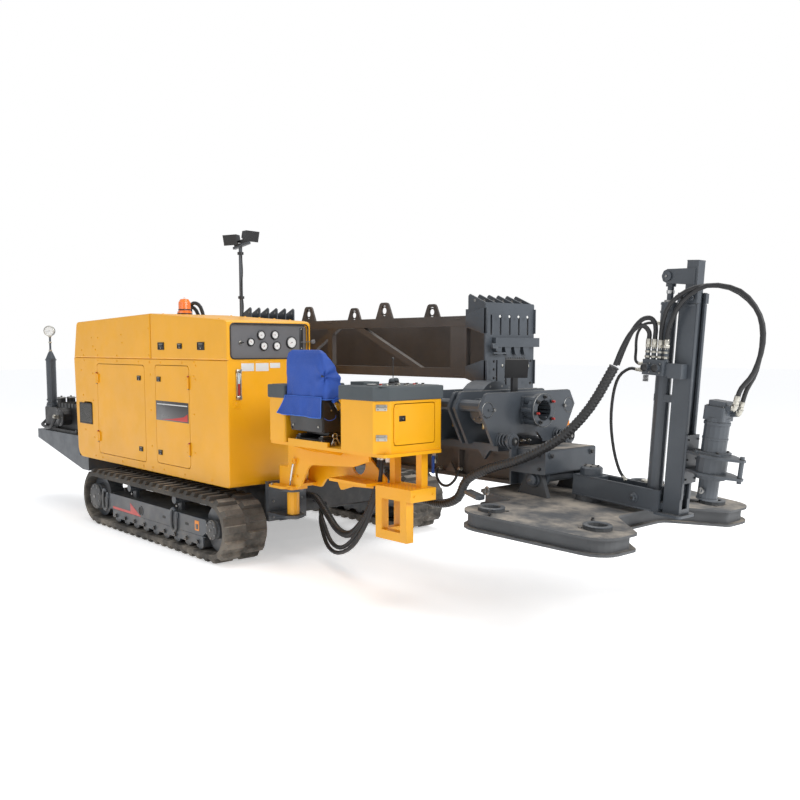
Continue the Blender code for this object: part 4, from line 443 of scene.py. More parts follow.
class Shapes:
    """A piece that grows from bmesh shapes, each placed and given one of the piece's finishes."""

    def __init__(self, name: str, place: Matrix = MACHINE) -> None:
        """Start an empty piece.

        Args:
            name: The piece's name.
            place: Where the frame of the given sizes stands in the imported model.
        """
        self.name = name
        self.place = place
        self.bm = bmesh.new()
        self.finishes: list[str] = []

    def add(self, shape: bmesh.types.BMesh, finish: str, turn: Optional[Matrix] = None) -> "Shapes":
        """Join a shape in a finish, turned by a matrix in the piece's own frame.

        Args:
            shape: The shape, which is used up.
            finish: The name of its finish.
            turn: Turns the shape in the piece's own frame.

        Returns:
            The piece itself.
        """
        if finish not in self.finishes:
            self.finishes.append(finish)
        slot = self.finishes.index(finish)
        bmesh.ops.recalc_face_normals(shape, faces=shape.faces)
        for face in shape.faces:
            face.material_index = slot
        shape.transform(self.place @ (turn or Matrix.Identity(4)))
        scratch = bpy.data.meshes.new("scratch")
        shape.to_mesh(scratch)
        shape.free()
        self.bm.from_mesh(scratch)
        bpy.data.meshes.remove(scratch)
        return self

    def brick(self, x: Sequence[float], y: Sequence[float], z: Sequence[float], finish: str,
              soft: float = 0.003, turn: Optional[Matrix] = None) -> "Shapes":
        """Add a box between pairs of places with softened edges.

        Args:
            x: Where it starts and ends in x.
            y: The same in y.
            z: The same in z.
            finish: The name of its finish.
            soft: How wide its edges are rounded.
            turn: Turns the shape in the piece's own frame.

        Returns:
            The piece itself.
        """
        shape = bmesh.new()
        bmesh.ops.create_cube(shape, size=1.0)
        size = Vector((x[1] - x[0], y[1] - y[0], z[1] - z[0]))
        bmesh.ops.scale(shape, vec=size, verts=shape.verts)
        bmesh.ops.translate(shape, vec=Vector((x[0], y[0], z[0])) + size / 2, verts=shape.verts)
        self._soften(shape, min(soft, 0.45 * min(size)), list(shape.edges))
        return self.add(shape, finish, turn)

    def rod(self, start: Vector, end: Vector, radius: float, finish: str, sides: int = 20, soft: float = 0.0,
            tip: Optional[float] = None) -> "Shapes":
        """Add a round bar between two points, tapered to a tip radius if one is given.

        Args:
            start: The middle of one end.
            end: The middle of the other end.
            radius: Its radius.
            finish: The name of its finish.
            sides: How many sides stand for the round; 6 makes a nut.
            soft: How wide the rims are rounded.
            tip: The radius at the far end.

        Returns:
            The piece itself.
        """
        start, end = Vector(start), Vector(end)
        along = end - start
        shape = bmesh.new()
        bmesh.ops.create_cone(shape, cap_ends=True, segments=sides, radius1=radius, depth=along.length,
                              radius2=radius if tip is None else tip)
        if soft:
            self._soften(shape, soft,
                         [e for e in shape.edges if abs(e.verts[0].co.z - e.verts[1].co.z) < 1e-6])
        return self.add(shape, finish, aimed((start + end) / 2, along))

    def lathe(self, profile: Sequence[tuple[float, float]], base: Vector, direction: Vector, finish: str,
              sides: int = 28) -> "Shapes":
        """Add (radius, height) points spun about a direction; an open ring profile is closed.

        Args:
            profile: The points of the profile.
            base: Where height 0 lies.
            direction: Where the heights go.
            finish: The name of its finish.
            sides: How many sides stand for the round.

        Returns:
            The piece itself.
        """
        shape = bmesh.new()
        verts = [shape.verts.new((r, 0, h)) for r, h in profile]
        edges = [shape.edges.new(pair) for pair in zip(verts, verts[1:])]
        if min(profile[0][0], profile[-1][0]) > 0:
            edges.append(shape.edges.new((verts[-1], verts[0])))
        bmesh.ops.spin(shape, geom=verts + edges, cent=(0, 0, 0), axis=(0, 0, 1), angle=math.tau,
                       steps=sides, use_merge=True)
        bmesh.ops.remove_doubles(shape, verts=shape.verts, dist=1e-6)
        return self.add(shape, finish, aimed(base, direction))

    def plate(self, corners: Sequence[tuple[float, float]], axis: str, low: float, high: float, finish: str,
              soft: float = 0.002, turn: Optional[Matrix] = None) -> "Shapes":
        """Add an outline carried along an axis: 'x' takes (y, z), 'y' (x, z) and 'z' (x, y).

        Args:
            corners: The outline's corners in turn.
            axis: The axis along which it is carried.
            low: Where it starts.
            high: Where it ends.
            finish: The name of its finish.
            soft: How wide its edges are rounded.
            turn: Turns the shape in the piece's own frame.

        Returns:
            The piece itself.
        """
        point = {"x": lambda u, v: (low, u, v),
                 "y": lambda u, v: (u, low, v),
                 "z": lambda u, v: (u, v, low)}[axis]
        shape = bmesh.new()
        face = shape.faces.new([shape.verts.new(point(*corner)) for corner in corners])
        grown = bmesh.ops.extrude_face_region(shape, geom=[face])["geom"]
        shift = {"x": X, "y": Y, "z": Z}[axis] * (high - low)
        bmesh.ops.translate(shape, vec=shift, verts=[g for g in grown if isinstance(g, bmesh.types.BMVert)])
        bmesh.ops.recalc_face_normals(shape, faces=shape.faces)
        self._soften(shape, soft, [e for e in shape.edges if e.calc_face_angle(0.0) > 0.6])
        return self.add(shape, finish, turn)

    def ring(self, centre: Vector, direction: Vector, radius: float, thick: float, finish: str,
             sides: int = 28, around: int = 8) -> "Shapes":
        """Add a round ring about a direction.

        Args:
            centre: The ring's middle.
            direction: The ring's axis.
            radius: The ring's own radius.
            thick: The radius of its bar.
            finish: The name of its finish.
            sides: How many sides the ring has.
            around: How many sides its bar has.

        Returns:
            The piece itself.
        """
        shape = bmesh.new()
        made = bmesh.ops.create_circle(shape, cap_ends=False, segments=around, radius=thick)
        bmesh.ops.rotate(shape, cent=(0, 0, 0), matrix=Matrix.Rotation(math.pi / 2, 3, "X"),
                         verts=shape.verts)
        bmesh.ops.translate(shape, vec=(radius, 0, 0), verts=shape.verts)
        bmesh.ops.spin(shape, geom=made["verts"] + list(shape.edges), cent=(0, 0, 0), axis=(0, 0, 1),
                       angle=math.tau, steps=sides, use_merge=True)
        return self.add(shape, finish, aimed(centre, direction))

    def tube(self, route: Sequence[Vector], radius: float, finish: str, sides: int = 12, per_span: int = 4,
             swell: Optional[Callable[[int], float]] = None) -> "Shapes":
        """Add a tube along a smooth route; swell gives a factor on the radius at each ring.

        Args:
            route: The points that the tube goes through.
            radius: Its radius.
            finish: The name of its finish.
            sides: How many sides it has.
            per_span: How many rings each span gets.
            swell: The factor on the radius at a ring.

        Returns:
            The piece itself.
        """
        points = smooth(route, per_span) if per_span > 1 else [Vector(p) for p in route]
        shape = sweep(points, radius, sides, swell)
        return self.add(shape, finish)

    def bolts(self, places: Iterable[Vector], direction: Vector, size: float, finish: str,
              washer: bool = True) -> "Shapes":
        """Add hexagon bolt heads, each on its washer.

        Args:
            places: Where the heads stand.
            direction: Where they point.
            size: The head's size.
            finish: The name of their finish.
            washer: Whether they have washers.

        Returns:
            The piece itself.
        """
        direction = Vector(direction).normalized()
        for place in places:
            place = Vector(place)
            if washer:
                self.rod(place, place + direction * size * 0.25, size * 1.15, finish, 14)
            self.rod(place, place + direction * size * 0.95, size * 0.85, finish, 6, size * 0.08)
        return self

    def finish(self, body: str, slot: str, replaces: Sequence[str] = (),
               smooth_angle: float = 35.0) -> bpy.types.Object:
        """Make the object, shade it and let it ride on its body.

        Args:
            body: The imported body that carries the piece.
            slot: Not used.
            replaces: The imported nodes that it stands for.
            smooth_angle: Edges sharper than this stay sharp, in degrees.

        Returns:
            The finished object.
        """
        mesh = bpy.data.meshes.new(self.name)
        self.bm.to_mesh(mesh)
        self.bm.free()
        for name in self.finishes:
            mesh.materials.append(MATERIALS[name])
        mesh.shade_smooth()
        mesh.set_sharp_from_angle(angle=math.radians(smooth_angle))
        thing = bpy.data.objects.new(self.name, mesh)
        bpy.context.scene.collection.objects.link(thing)
        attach(thing, body)
        if replaces:
            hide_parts(*replaces)
        log.info("%s: %d faces on %s", self.name, len(mesh.polygons), body)
        return thing

    @staticmethod
    def _soften(shape: bmesh.types.BMesh, width: float, edges: list) -> None:
        """Round some edges of a shape."""
        if width > 0 and edges:
            bmesh.ops.bevel(shape, geom=edges, offset=width, segments=2, profile=0.5, affect="EDGES",
                            material=-1)


def smooth(route: Sequence[Vector], per_span: int) -> list[Vector]:
    """Points of one smooth curve through a route.

    Args:
        route: The points that the curve goes through.
        per_span: How many points each span gets.

    Returns:
        The curve's points, from the first to the last of the route.
    """
    route = [Vector(p) for p in route]
    ends = [route[0] * 2 - route[1], *route, route[-1] * 2 - route[-2]]
    points = []
    for a, b, c, d in zip(ends, ends[1:], ends[2:], ends[3:]):
        for step in range(per_span):
            t = step / per_span
            points.append((b * 2 + (c - a) * t + (a * 2 - b * 5 + c * 4 - d) * t * t
                           + (b * 3 - a - c * 3 + d) * t ** 3) / 2)
    return [*points, route[-1]]


def sweep(points: Sequence[Vector], radius: float, sides: int,
          swell: Optional[Callable[[int], float]] = None) -> bmesh.types.BMesh:
    """Carry a circle along points by extruding its ring from each to the next.

    Args:
        points: The line to follow.
        radius: The circle's radius.
        sides: How many sides it has.
        swell: The factor on the radius at a ring.

    Returns:
        The tube as a shape.
    """
    shape = bmesh.new()
    heading = (points[1] - points[0]).normalized()
    turn = heading.to_track_quat("Z", "Y").to_matrix()
    bmesh.ops.create_circle(shape, cap_ends=True, segments=sides,
                            radius=radius * (swell(0) if swell else 1.0),
                            matrix=Matrix.Translation(points[0]) @ turn.to_4x4())
    ring = list(shape.edges)
    for index in range(1, len(points)):
        after = points[min(index + 1, len(points) - 1)] - points[index - 1]
        fresh = heading.rotation_difference(after.normalized()).to_matrix() @ turn
        grown = bmesh.ops.extrude_edge_only(shape, edges=ring)["geom"]
        verts = [g for g in grown if isinstance(g, bmesh.types.BMVert)]
        ring = [g for g in grown if isinstance(g, bmesh.types.BMEdge)]
        factor = swell(index) / swell(index - 1) if swell else 1.0
        move = (Matrix.Translation(points[index]) @ fresh.to_4x4() @ Matrix.Scale(factor, 4)
                @ (Matrix.Translation(points[index - 1]) @ turn.to_4x4()).inverted())
        bmesh.ops.transform(shape, matrix=move, verts=verts)
        heading, turn = after.normalized(), fresh
    bmesh.ops.contextual_create(shape, geom=ring)
    return shape


def helix(start: Vector, end: Vector, radius: float, turns: float, steps: int = 14) -> list[Vector]:
    """Points of a coil spring from one point to another, its end turns flat.

    Args:
        start: The middle of one end.
        end: The middle of the other end.
        radius: The coil's radius.
        turns: How often it goes round.
        steps: How many points a turn has.

    Returns:
        The coil's points.
    """
    along = Vector(end) - Vector(start)
    turn = along.to_track_quat("Z", "Y").to_matrix()
    count = int(turns * steps)
    points = []
    for index in range(count + 1):
        share = index / count
        rise = min(1.0, max(0.0, (share * turns - 0.8) / (turns - 1.6)))
        angle = math.tau * turns * share
        points.append(Vector(start) + turn
                      @ Vector((radius * math.cos(angle), radius * math.sin(angle), along.length * rise)))
    return points


MATERIALS: dict[str, bpy.types.Material] = {}


def dress_nodes() -> None:
    """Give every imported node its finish; slate is the machine's common one."""
    chosen = {name: finish for finish, names in NODE_FINISHES.items() for name in names.split()}
    for name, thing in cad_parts.items():
        thing.data.materials.clear()
        thing.data.materials.append(MATERIALS[chosen.get(name, "slate_paint")])


# Studio

@dataclass
class Studio:
    """The pale floor, the soft lights and the camera."""

    eye: tuple[float, float, float] = (6.904, -4.48, 1.6)
    heading: tuple[float, float] = (-0.7454, 0.6667)
    pitch: float = math.atan(88 / 900)
    lens: float = 40.5
    shift: float = 0.04375
    floor_half: float = 60.0

    def build(self) -> None:
        """Make the camera, the floor, the world and the lamps."""
        self._camera()
        self._floor()
        self._light()

    def _camera(self) -> None:
        """Place the camera at the photograph's viewpoint."""
        data = bpy.data.cameras.new("camera")
        data.lens, data.sensor_width, data.shift_y = self.lens, 36.0, self.shift
        data.clip_end = 300.0
        thing = bpy.data.objects.new("camera", data)
        ahead = Vector((*self.heading, 0)).normalized() * math.cos(self.pitch) - Z * math.sin(self.pitch)
        thing.location = Vector(self.eye) + DATUM
        thing.rotation_euler = ahead.to_track_quat("-Z", "Y").to_euler()
        bpy.context.scene.collection.objects.link(thing)
        bpy.context.scene.camera = thing

    def _floor(self) -> None:
        """Lay a plain floor that is white to the camera where no shadow falls."""
        shape = bmesh.new()
        bmesh.ops.create_grid(shape, x_segments=1, y_segments=1, size=self.floor_half)
        mesh = bpy.data.meshes.new("floor")
        shape.to_mesh(mesh)
        shape.free()
        material = bpy.data.materials.new("floor")
        material.use_nodes = True
        shader = material.node_tree.nodes["Principled BSDF"]
        shader.inputs["Base Color"].default_value = (0.93, 0.93, 0.93, 1)
        shader.inputs["Roughness"].default_value = 0.9
        shader.inputs["Specular IOR Level"].default_value = 0.1
        shader.inputs["Emission Color"].default_value = (1, 1, 1, 1)
        shader.inputs["Emission Strength"].default_value = 0.42
        mesh.materials.append(material)
        thing = bpy.data.objects.new("floor", mesh)
        bpy.context.scene.collection.objects.link(thing)

    def _light(self) -> None:
        """Light the machine softly and evenly, and show white behind it."""
        scene = bpy.context.scene
        scene.view_settings.view_transform = "Standard"
        world = scene.world or bpy.data.worlds.new("studio")
        scene.world = world
        world.use_nodes = True
        tree = world.node_tree
        tree.nodes.clear()
        out = tree.nodes.new("ShaderNodeOutputWorld")
        kinds = ("ShaderNodeBackground", "ShaderNodeBackground", "ShaderNodeMixShader")
        lit, seen, either = (tree.nodes.new(kind) for kind in kinds)
        lit.inputs["Color"].default_value = (0.95, 0.97, 1.0, 1)
        lit.inputs["Strength"].default_value = 0.62
        seen.inputs["Color"].default_value = (1, 1, 1, 1)
        tree.links.new(tree.nodes.new("ShaderNodeLightPath").outputs["Is Camera Ray"], either.inputs["Fac"])
        tree.links.new(lit.outputs[0], either.inputs[1])
        tree.links.new(seen.outputs[0], either.inputs[2])
        tree.links.new(either.outputs[0], out.inputs["Surface"])
        for name, place, size, power in (("key", (11.0, 0.5, 5.5), 5.0, 620.0),
                                         ("fill", (1.0, -9.5, 4.5), 6.0, 90.0),
                                         ("top", (0.5, 1.0, 8.0), 7.0, 300.0)):
            data = bpy.data.lights.new(name, "AREA")
            data.shape, data.size, data.energy = "DISK", size, power
            thing = bpy.data.objects.new(name, data)
            thing.location = Vector(place) + DATUM
            aim = Vector((1.0, 0, 0.6)) - Vector(place)
            thing.rotation_euler = aim.to_track_quat("-Z", "Y").to_euler()
            scene.collection.objects.link(thing)


# Cords

def at(x: float, y: float, z: float) -> Vector:
    """A place of the machine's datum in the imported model."""
    return DATUM + Vector((x, y, z))


def on_auger(x: float, y: float, z: float) -> Vector:
    """The place in the model of a point given in the auger motor's frame."""
    return AUGER @ Vector((x, y, z))


def on_plate(x: float, y: float, z: float) -> Vector:
    """A place of the anchor plate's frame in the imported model."""
    return PLATE @ Vector((x, y, z))


def placed(place: Callable[..., Vector], *points: Sequence[float]) -> tuple[Vector, ...]:
    """A route whose points are all given in one frame."""
    return tuple(place(*point) for point in points)


@dataclass(frozen=True)
class Hose:
    """One free hose with its real size, and the bodies it hangs between."""

    name: str
    route: tuple
    radius: float
    body: str
    far_body: str = ""
    stands_for: str = ""
    rib: float = 0.0
    finish: str = "hose_rubber"
    per_span: int = 3
    ends: tuple[bool, bool] = (True, True)
    far_end: str = "object"

    def build(self) -> bpy.types.Object:
        """Returns:
            The hose's tube.
        """
        path = smooth(self.route, self.per_span)
        piece = Shapes(self.name, Matrix.Identity(4))
        if self.rib:
            fine = self._even(path, self.rib / 4)
            piece.add(sweep(fine, self.radius, 16, lambda i: (1.0, 0.95, 0.85, 0.95)[i % 4]), self.finish)
        else:
            piece.add(sweep(path if len(path) > 24 else smooth(self.route, self.per_span * 2), self.radius,
                            12), self.finish)
        ends = self._ferrules(path)
        node = (self.stands_for,) if self.stands_for else ()
        thing = self._bent(piece) if self.far_body else piece.finish(self.body, "hose", node, 60.0)
        return thing

    def _bent(self, piece: Shapes) -> bpy.types.Object:
        """Finish a hose that crosses a joint as one mesh in the model's frame, attached to neither body.

        Args:
            piece: The hose's shapes.

        Returns:
            The finished hose.
        """
        mesh = bpy.data.meshes.new(self.name)
        piece.bm.to_mesh(mesh)
        piece.bm.free()
        for name in piece.finishes:
            mesh.materials.append(MATERIALS[name])
        mesh.shade_smooth()
        mesh.set_sharp_from_angle(angle=math.radians(60))
        thing = bpy.data.objects.new(self.name, mesh)
        bpy.context.scene.collection.objects.link(thing)
        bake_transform(thing)
        if self.stands_for:
            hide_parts(self.stands_for)
        return thing

    def _ferrules(self, path: Sequence[Vector]) -> list:
        """Crimp a sleeve with its nut over each end that has one.

        Args:
            path: The hose's middle line.

        Returns:
            The sleeves.
        """
        made = []
        for index, (tip, inner, body) in enumerate(((path[0], path[1], self.body),
                (path[-1], path[-2], self.far_body or self.body))):
            if not self.ends[index]:
                continue
            way = (inner - tip).normalized()
            piece = Shapes(f"{self.name}_end_{index}", Matrix.Identity(4))
            piece.rod(tip + way * 0.001, tip + way * self.radius * 1.3, self.radius * 1.35, "zinc", 6, 0.001)
            piece.rod(tip + way * self.radius * 1.3, tip + way * self.radius * 3.6, self.radius * 1.18,
                      "zinc", 16, 0.001)
            made.append(piece.finish(body, "steel"))
        return made

    @staticmethod
    def _even(points: Sequence[Vector], step: float) -> list[Vector]:
        """Points along a line at even steps.

        Args:
            points: The line.
            step: The step.

        Returns:
            The points.
        """
        made, spare = [points[0].copy()], 0.0
        for a, b in zip(points, points[1:]):
            span = (b - a).length
            place = step - spare
            while place <= span:
                made.append(a.lerp(b, place / span))
                place += step
            spare = (spare + span) % step
        if (made[-1] - points[-1]).length > step * 0.3:
            made.append(points[-1].copy())
        return made


FACE_PLAY = 0.0006
FRAME_BOTTOM = 0.745
TRAY_BOTTOM = 0.9353
CHASSIS_FRONT = 1.26
SPOOL_X = (0.663, 0.701, 0.739, 0.777)
SPOOL_Z = 0.850 + FACE_PLAY


def spool(index: int, *rises: float) -> tuple[Vector, ...]:
    """Places over one of the valve's spools, where a hose comes in."""
    return placed(on_plate, *((SPOOL_X[index], -0.107, SPOOL_Z + rise) for rise in rises))


def cad_hoses() -> list[Hose]:
    """The four hoses that the solids have too, the last two by freer routes."""
    anchor = ((2.00, -0.21, FRAME_BOTTOM - FACE_PLAY), (2.00, -0.21, 0.73), (2.00, -0.21, 0.71),
              (2.03, -0.22, 0.67), (2.20, -0.27, 0.625), (2.45, -0.34, 0.585), (2.70, -0.36, 0.57),
              (2.87, -0.37, 0.63), (2.96, -0.38, 0.76), (3.15, -0.38, 0.85), (3.42, -0.37, 0.94),
              (3.66, -0.32, 1.08), (3.82, -0.27, 1.26), (3.95, -0.235, 1.49))
    station = ((2.30, -0.56, TRAY_BOTTOM - FACE_PLAY), (2.30, -0.56, TRAY_BOTTOM - 0.03),
               (2.30, -0.56, TRAY_BOTTOM - 0.06), (2.31, -0.565, 0.78), (2.29, -0.57, 0.62),
               (2.16, -0.56, 0.42), (1.95, -0.52, 0.27), (1.74, -0.47, 0.26), (1.55, -0.42, 0.34),
               (1.38, -0.390, 0.440), (CHASSIS_FRONT + 0.03, -0.385, 0.450),
               (CHASSIS_FRONT - 0.005, -0.385, 0.450), (CHASSIS_FRONT - 0.04 + FACE_PLAY, -0.385, 0.450))
    feed = (*placed(at, (3.954, -0.234, 1.498), (3.982, -0.213, 1.59), (4.013, -0.182, 1.672),
                    (4.045, -0.150, 1.715), (4.070, -0.126, 1.712)),
            on_plate(SPOOL_X[0] + 0.001, -0.110, SPOOL_Z + 0.08), *spool(0, 0.04, 0.02, 0.0))
    auger = (*spool(3, 0.0, 0.02, 0.04), on_plate(SPOOL_X[3] + 0.010, -0.11, SPOOL_Z + 0.12),
             *placed(at, (4.28, -0.105, 1.84), (4.42, -0.10, 1.92), (4.59, -0.07, 1.885),
                     (4.69, -0.05, 1.76), (4.705, -0.035, 1.62), (4.66, -0.03, 1.47)),
             *placed(on_auger, (0.122, -0.030, 0.775), (0.107, -0.030, 0.714), (0.103, -0.030, 0.687)))
    return [
        Hose("anchor_conduit", placed(at, *anchor), 0.030, "frame", "plate", "conduit_anchor", 0.022,
             "hose_guard", ends=(False, False)),
        Hose("station_conduit", placed(at, *station), 0.028, "station", "machine", "conduit_station", 0.020,
             "hose_guard", ends=(False, False)),
        Hose("feed_hose", feed, 0.013, "plate", "mast", "hose_feed", ends=(False, True)),
        Hose("auger_hose", auger, 0.013, "mast", "slide", "hose_auger"),
    ]


# Hood

@dataclass
class Gauge:
    """One round gauge on the panel, by its place and radius."""

    name: str
    y: float
    z: float
    radius: float
    reading: float

    def build(self, face: float) -> bpy.types.Object:
        """Dress the gauge with its rim, blank dial, ticks and needle.

        Args:
            face: Where the panel's face stands along X.

        Returns:
            The gauge's piece.
        """
        r, middle = self.radius, Vector((face, self.y, self.z))
        piece = Shapes(f"gauge_{self.name}")
        piece.lathe([(r + 0.0015, 0.0), (r + 0.005, 0.001), (r + 0.004, 0.014), (r - 0.002, 0.0165),
                     (r - 0.004, 0.0125), (r + 0.0005, 0.0106)], middle, X, "black_plastic", 32)
        piece.lathe([(0, 0.0125), (r - 0.0035, 0.0125), (r - 0.0035, 0.0102), (0, 0.0102)], middle, X,
                    "dial_white", 32)
        dial = middle + X * 0.0125
        for step in range(11):
            angle = math.radians(225 - 27 * step)
            out = Vector((0, math.cos(angle), math.sin(angle)))
            inner = 0.74 if step % 5 else 0.66
            piece.rod(dial + out * r * inner, dial + out * r * 0.84, 0.0008, "black_plastic", 6)
        angle = math.radians(225 - 270 * self.reading)
        out = Vector((0, math.cos(angle), math.sin(angle)))
        piece.rod(dial + X * 0.0008 - out * r * 0.18, dial + X * 0.0008 + out * r * 0.64, 0.0013,
                  "red_paint", 6, tip=0.0004)
        piece.rod(dial, dial + X * 0.0025, r * 0.10, "black_plastic", 12)
        return piece.finish("lid", "panel_grey")


@dataclass
class Hood:
    """Fittings of the engine hood: screws, latches, gauges, plates and the grilles."""

    side: float = -1.03
    left: float = -0.28
    front: float = 1.16
    seam: float = 1.50
    panel: float = 1.1377
    screws: tuple = ((-0.090, 1.751), (-0.608, 1.706), (-1.234, 1.685), (-1.093, 1.682), (-0.591, 1.637),
                     (-1.208, 1.606), (-1.466, 1.568), (-1.154, 1.575), (-1.423, 1.524), (-1.415, 1.476),
                     (-1.106, 1.524), (-1.109, 1.476), (-0.702, 1.524), (-0.704, 1.476), (-0.286, 1.476),
                     (-0.086, 1.530), (-0.080, 1.476), (0.112, 1.474), (0.473, 1.478), (0.663, 1.482),
                     (0.686, 1.456), (-1.486, 1.381), (-1.229, 1.355), (-0.069, 1.373), (0.657, 1.373),
                     (0.681, 1.349), (-1.457, 1.148), (-1.234, 1.105), (-0.072, 1.074), (0.651, 1.079),
                     (-1.429, 0.821), (-1.229, 0.762), (-0.069, 0.774), (0.655, 0.776), (-1.214, 0.591),
                     (-1.066, 0.586), (-0.646, 0.590), (-0.233, 0.591), (-0.065, 0.594), (0.133, 0.594),
                     (0.482, 0.591), (0.90, 0.591))
    gauges: tuple = (Gauge("small", -0.818, 1.637, 0.026, 0.3),
                     Gauge("upper_right", -0.726, 1.689, 0.030, 0.1),
                     Gauge("upper_left", -0.604, 1.691, 0.030, 0.2),
                     Gauge("lower_right", -0.704, 1.607, 0.030, 0.0),
                     Gauge("lower_left", -0.587, 1.608, 0.030, 0.15),
                     Gauge("large", -0.452, 1.634, 0.042, 0.05))

    def build(self) -> None:
        """Build every fitting of the hood."""
        self._screws()
        self._latches()
        self._lid()
        for gauge in self.gauges:
            gauge.build(self.panel)
        self._plates()
        self._sight_gauge()
        self._grilles()
        self._beacon()
        self._hoses()

    def _screws(self) -> None:
        """Set the domed screws along the seams of both sides."""
        still, tops = Shapes("hood_screws"), Shapes("lid_screws")
        for x, z in self.screws:
            piece = tops if x > -0.055 and z > self.seam else still
            for face, way in ((self.side, -Y), (self.left, Y)):
                if face == self.left and -0.02 < x < 0.30 and 1.3 < z < 1.5:
                    continue
                piece.lathe([(0, 0.0062), (0.004, 0.0056), (0.0072, 0.0032), (0.0078, -0.001), (0, -0.001)],
                            (x, face, z), way, "yellow_paint", 12)
                piece.rod((x, face, z), Vector((x, face, z)) + way * 0.0012, 0.0115, "yellow_paint", 16)
        for x in (0.08, 0.30, 0.52, 0.74, 0.96):
            z = 1.876 - 0.0645 * (x + 0.056)
            for y in (-0.335, -0.975):
                tops.lathe([(0, 0.007), (0.005, 0.006), (0.009, 0.003), (0.010, -0.002), (0, -0.002)],
                           (x, y, z), Z, "yellow_paint", 12)
        still.finish("machine", "yellow")
        tops.finish("lid", "yellow")

    def _paddle(self, piece: Shapes, x: float, z: float, wide: float, tall: float) -> None:
        """Set one black paddle latch in its frame on the right side.

        Args:
            piece: The piece that it joins.
            x: Its middle in x.
            z: Its middle in z.
            wide: Half its width.
            tall: Half its height.
        """
        y = self.side
        for low, high, bottom, top in ((x - wide, x + wide, z + tall - 0.005, z + tall),
                                       (x - wide, x + wide, z - tall, z - tall + 0.005),
                                       (x - wide, x - wide + 0.005, z - tall, z + tall),
                                       (x + wide - 0.005, x + wide, z - tall, z + tall)):
            piece.brick((low, high), (y - 0.006, y + 0.001), (bottom, top), "black_plastic", 0.0012)
        piece.brick((x - wide + 0.004, x + wide - 0.004), (y - 0.0012, y + 0.0005),
                    (z - tall + 0.004, z + tall - 0.004), "dark_parts_and_painted_shade", 0.0004)
        piece.brick((x - wide * 0.62, x + wide * 0.62), (y - 0.005, y - 0.001),
                    (z - tall * 0.35, z + tall * 0.62), "black_plastic", 0.0015)
        piece.rod((x - wide * 0.62, y - 0.0045, z + tall * 0.55),
                  (x + wide * 0.62, y - 0.0045, z + tall * 0.55), 0.0022, "zinc", 8)
        piece.rod((x, y - 0.004, z - tall * 0.55), (x, y - 0.0065, z - tall * 0.55), 0.0055, "zinc", 14)

    def _latches(self) -> None:
        """Put the latches, pulls and red-capped hinge pins on both doors."""
        doors = (("rear_door", ((-0.276, 1.338), (-0.268, 0.734)), -1.1275, (1.315, 0.780)),
                 ("front_door", ((0.082, 1.338), (0.084, 0.735)), 0.5825, (1.320, 0.797)))
        for body, places, pin_x, pin_z in doors:
            piece = Shapes(f"{body}_fittings")
            for x, z in places:
                self._paddle(piece, x, z, 0.032, 0.020)
            for z in pin_z:
                piece.rod((pin_x, self.side - 0.008, z + 0.0452), (pin_x, self.side - 0.008, z + 0.056),
                          0.0072, "red_cap", 12, 0.002)
                piece.rod((pin_x, self.side - 0.008, z - 0.052), (pin_x, self.side - 0.008, z - 0.0452),
                          0.0060, "steel", 12, 0.001)
                inward = 1 if body == "rear_door" else -1
                for rise in (-0.024, 0.024):
                    piece.lathe([(0, 0.004), (0.0045, 0.003), (0.006, 0), (0, -0.001)],
                                (pin_x + inward * 0.026, self.side - 0.012, z + rise), -Y, "yellow_paint",
                                10)
            piece.finish(body, "yellow")
        badge = Shapes("blank_badge")
        badge.brick((0.024, 0.566), (self.side - 0.0018, self.side - 0.0002), (1.003, 1.162), "dark_plate",
                    0.0006)
        badge.plate(((0.10, 1.012), (0.552, 1.012), (0.552, 1.074), (0.49, 1.048), (0.30, 1.024)), "y",
                    self.side - 0.0026, self.side - 0.0016, "red_paint", 0.0003)
        badge.brick((0.044, 0.55), (self.side - 0.0024, self.side - 0.0016), (1.132, 1.140), "blank_plate",
                    0.0003)
        badge.finish("front_door", "black")

    def _lid(self) -> None:
        """Set the lid's two pulls and latch, and the rubber round the gauge window."""
        piece = Shapes("lid_fittings")
        for x in (0.136, 0.780):
            self._paddle(piece, x, 1.607, 0.052, 0.030)
        self._paddle(piece, 0.448, 1.607, 0.036, 0.021)
        low_y, high_y, low_z, high_z = -1.000, -0.310, 1.516, 1.770
        route = []
        for cy, cz, start in ((high_y - 0.028, high_z - 0.028, 0), (low_y + 0.028, high_z - 0.028, 90),
                              (low_y + 0.028, low_z + 0.028, 180), (high_y - 0.028, low_z + 0.028, 270)):
            for step in range(5):
                a = math.radians(start + 22.5 * step)
                route.append(Vector((self.front + 0.002, cy + 0.031 * math.cos(a),
                                     cz + 0.031 * math.sin(a))))
        route.append(route[0])
        piece.tube(route, 0.0052, "black_plastic", 8, 1)
        piece.brick((self.panel, self.panel + 0.004), (-0.372, -0.340), (1.580, 1.748), "black_plastic",
                    0.0015)
        for z in (1.590, 1.738):
            piece.rod((self.panel + 0.003, -0.356, z), (self.panel + 0.008, -0.356, z), 0.005, "zinc", 12,
                      0.001)
        switch = Vector((self.panel, -0.904, 1.633))
        piece.rod(switch, switch + X * 0.006, 0.013, "zinc", 18, 0.001)
        piece.rod(switch + X * 0.006, switch + X * 0.022, 0.0085, "black_plastic", 14, 0.002)
        piece.brick((switch.x + 0.021, switch.x + 0.030), (switch.y - 0.015, switch.y + 0.015),
                    (switch.z - 0.004, switch.z + 0.004), "black_plastic", 0.002)
        for y in (-0.986, -0.322):
            for z in (1.532, 1.754):
                piece.lathe([(0, 0.003), (0.0045, 0.0025), (0.006, 0), (0, -0.001)], (self.panel, y, z), X,
                            "zinc", 10)
        piece.finish("lid", "yellow")

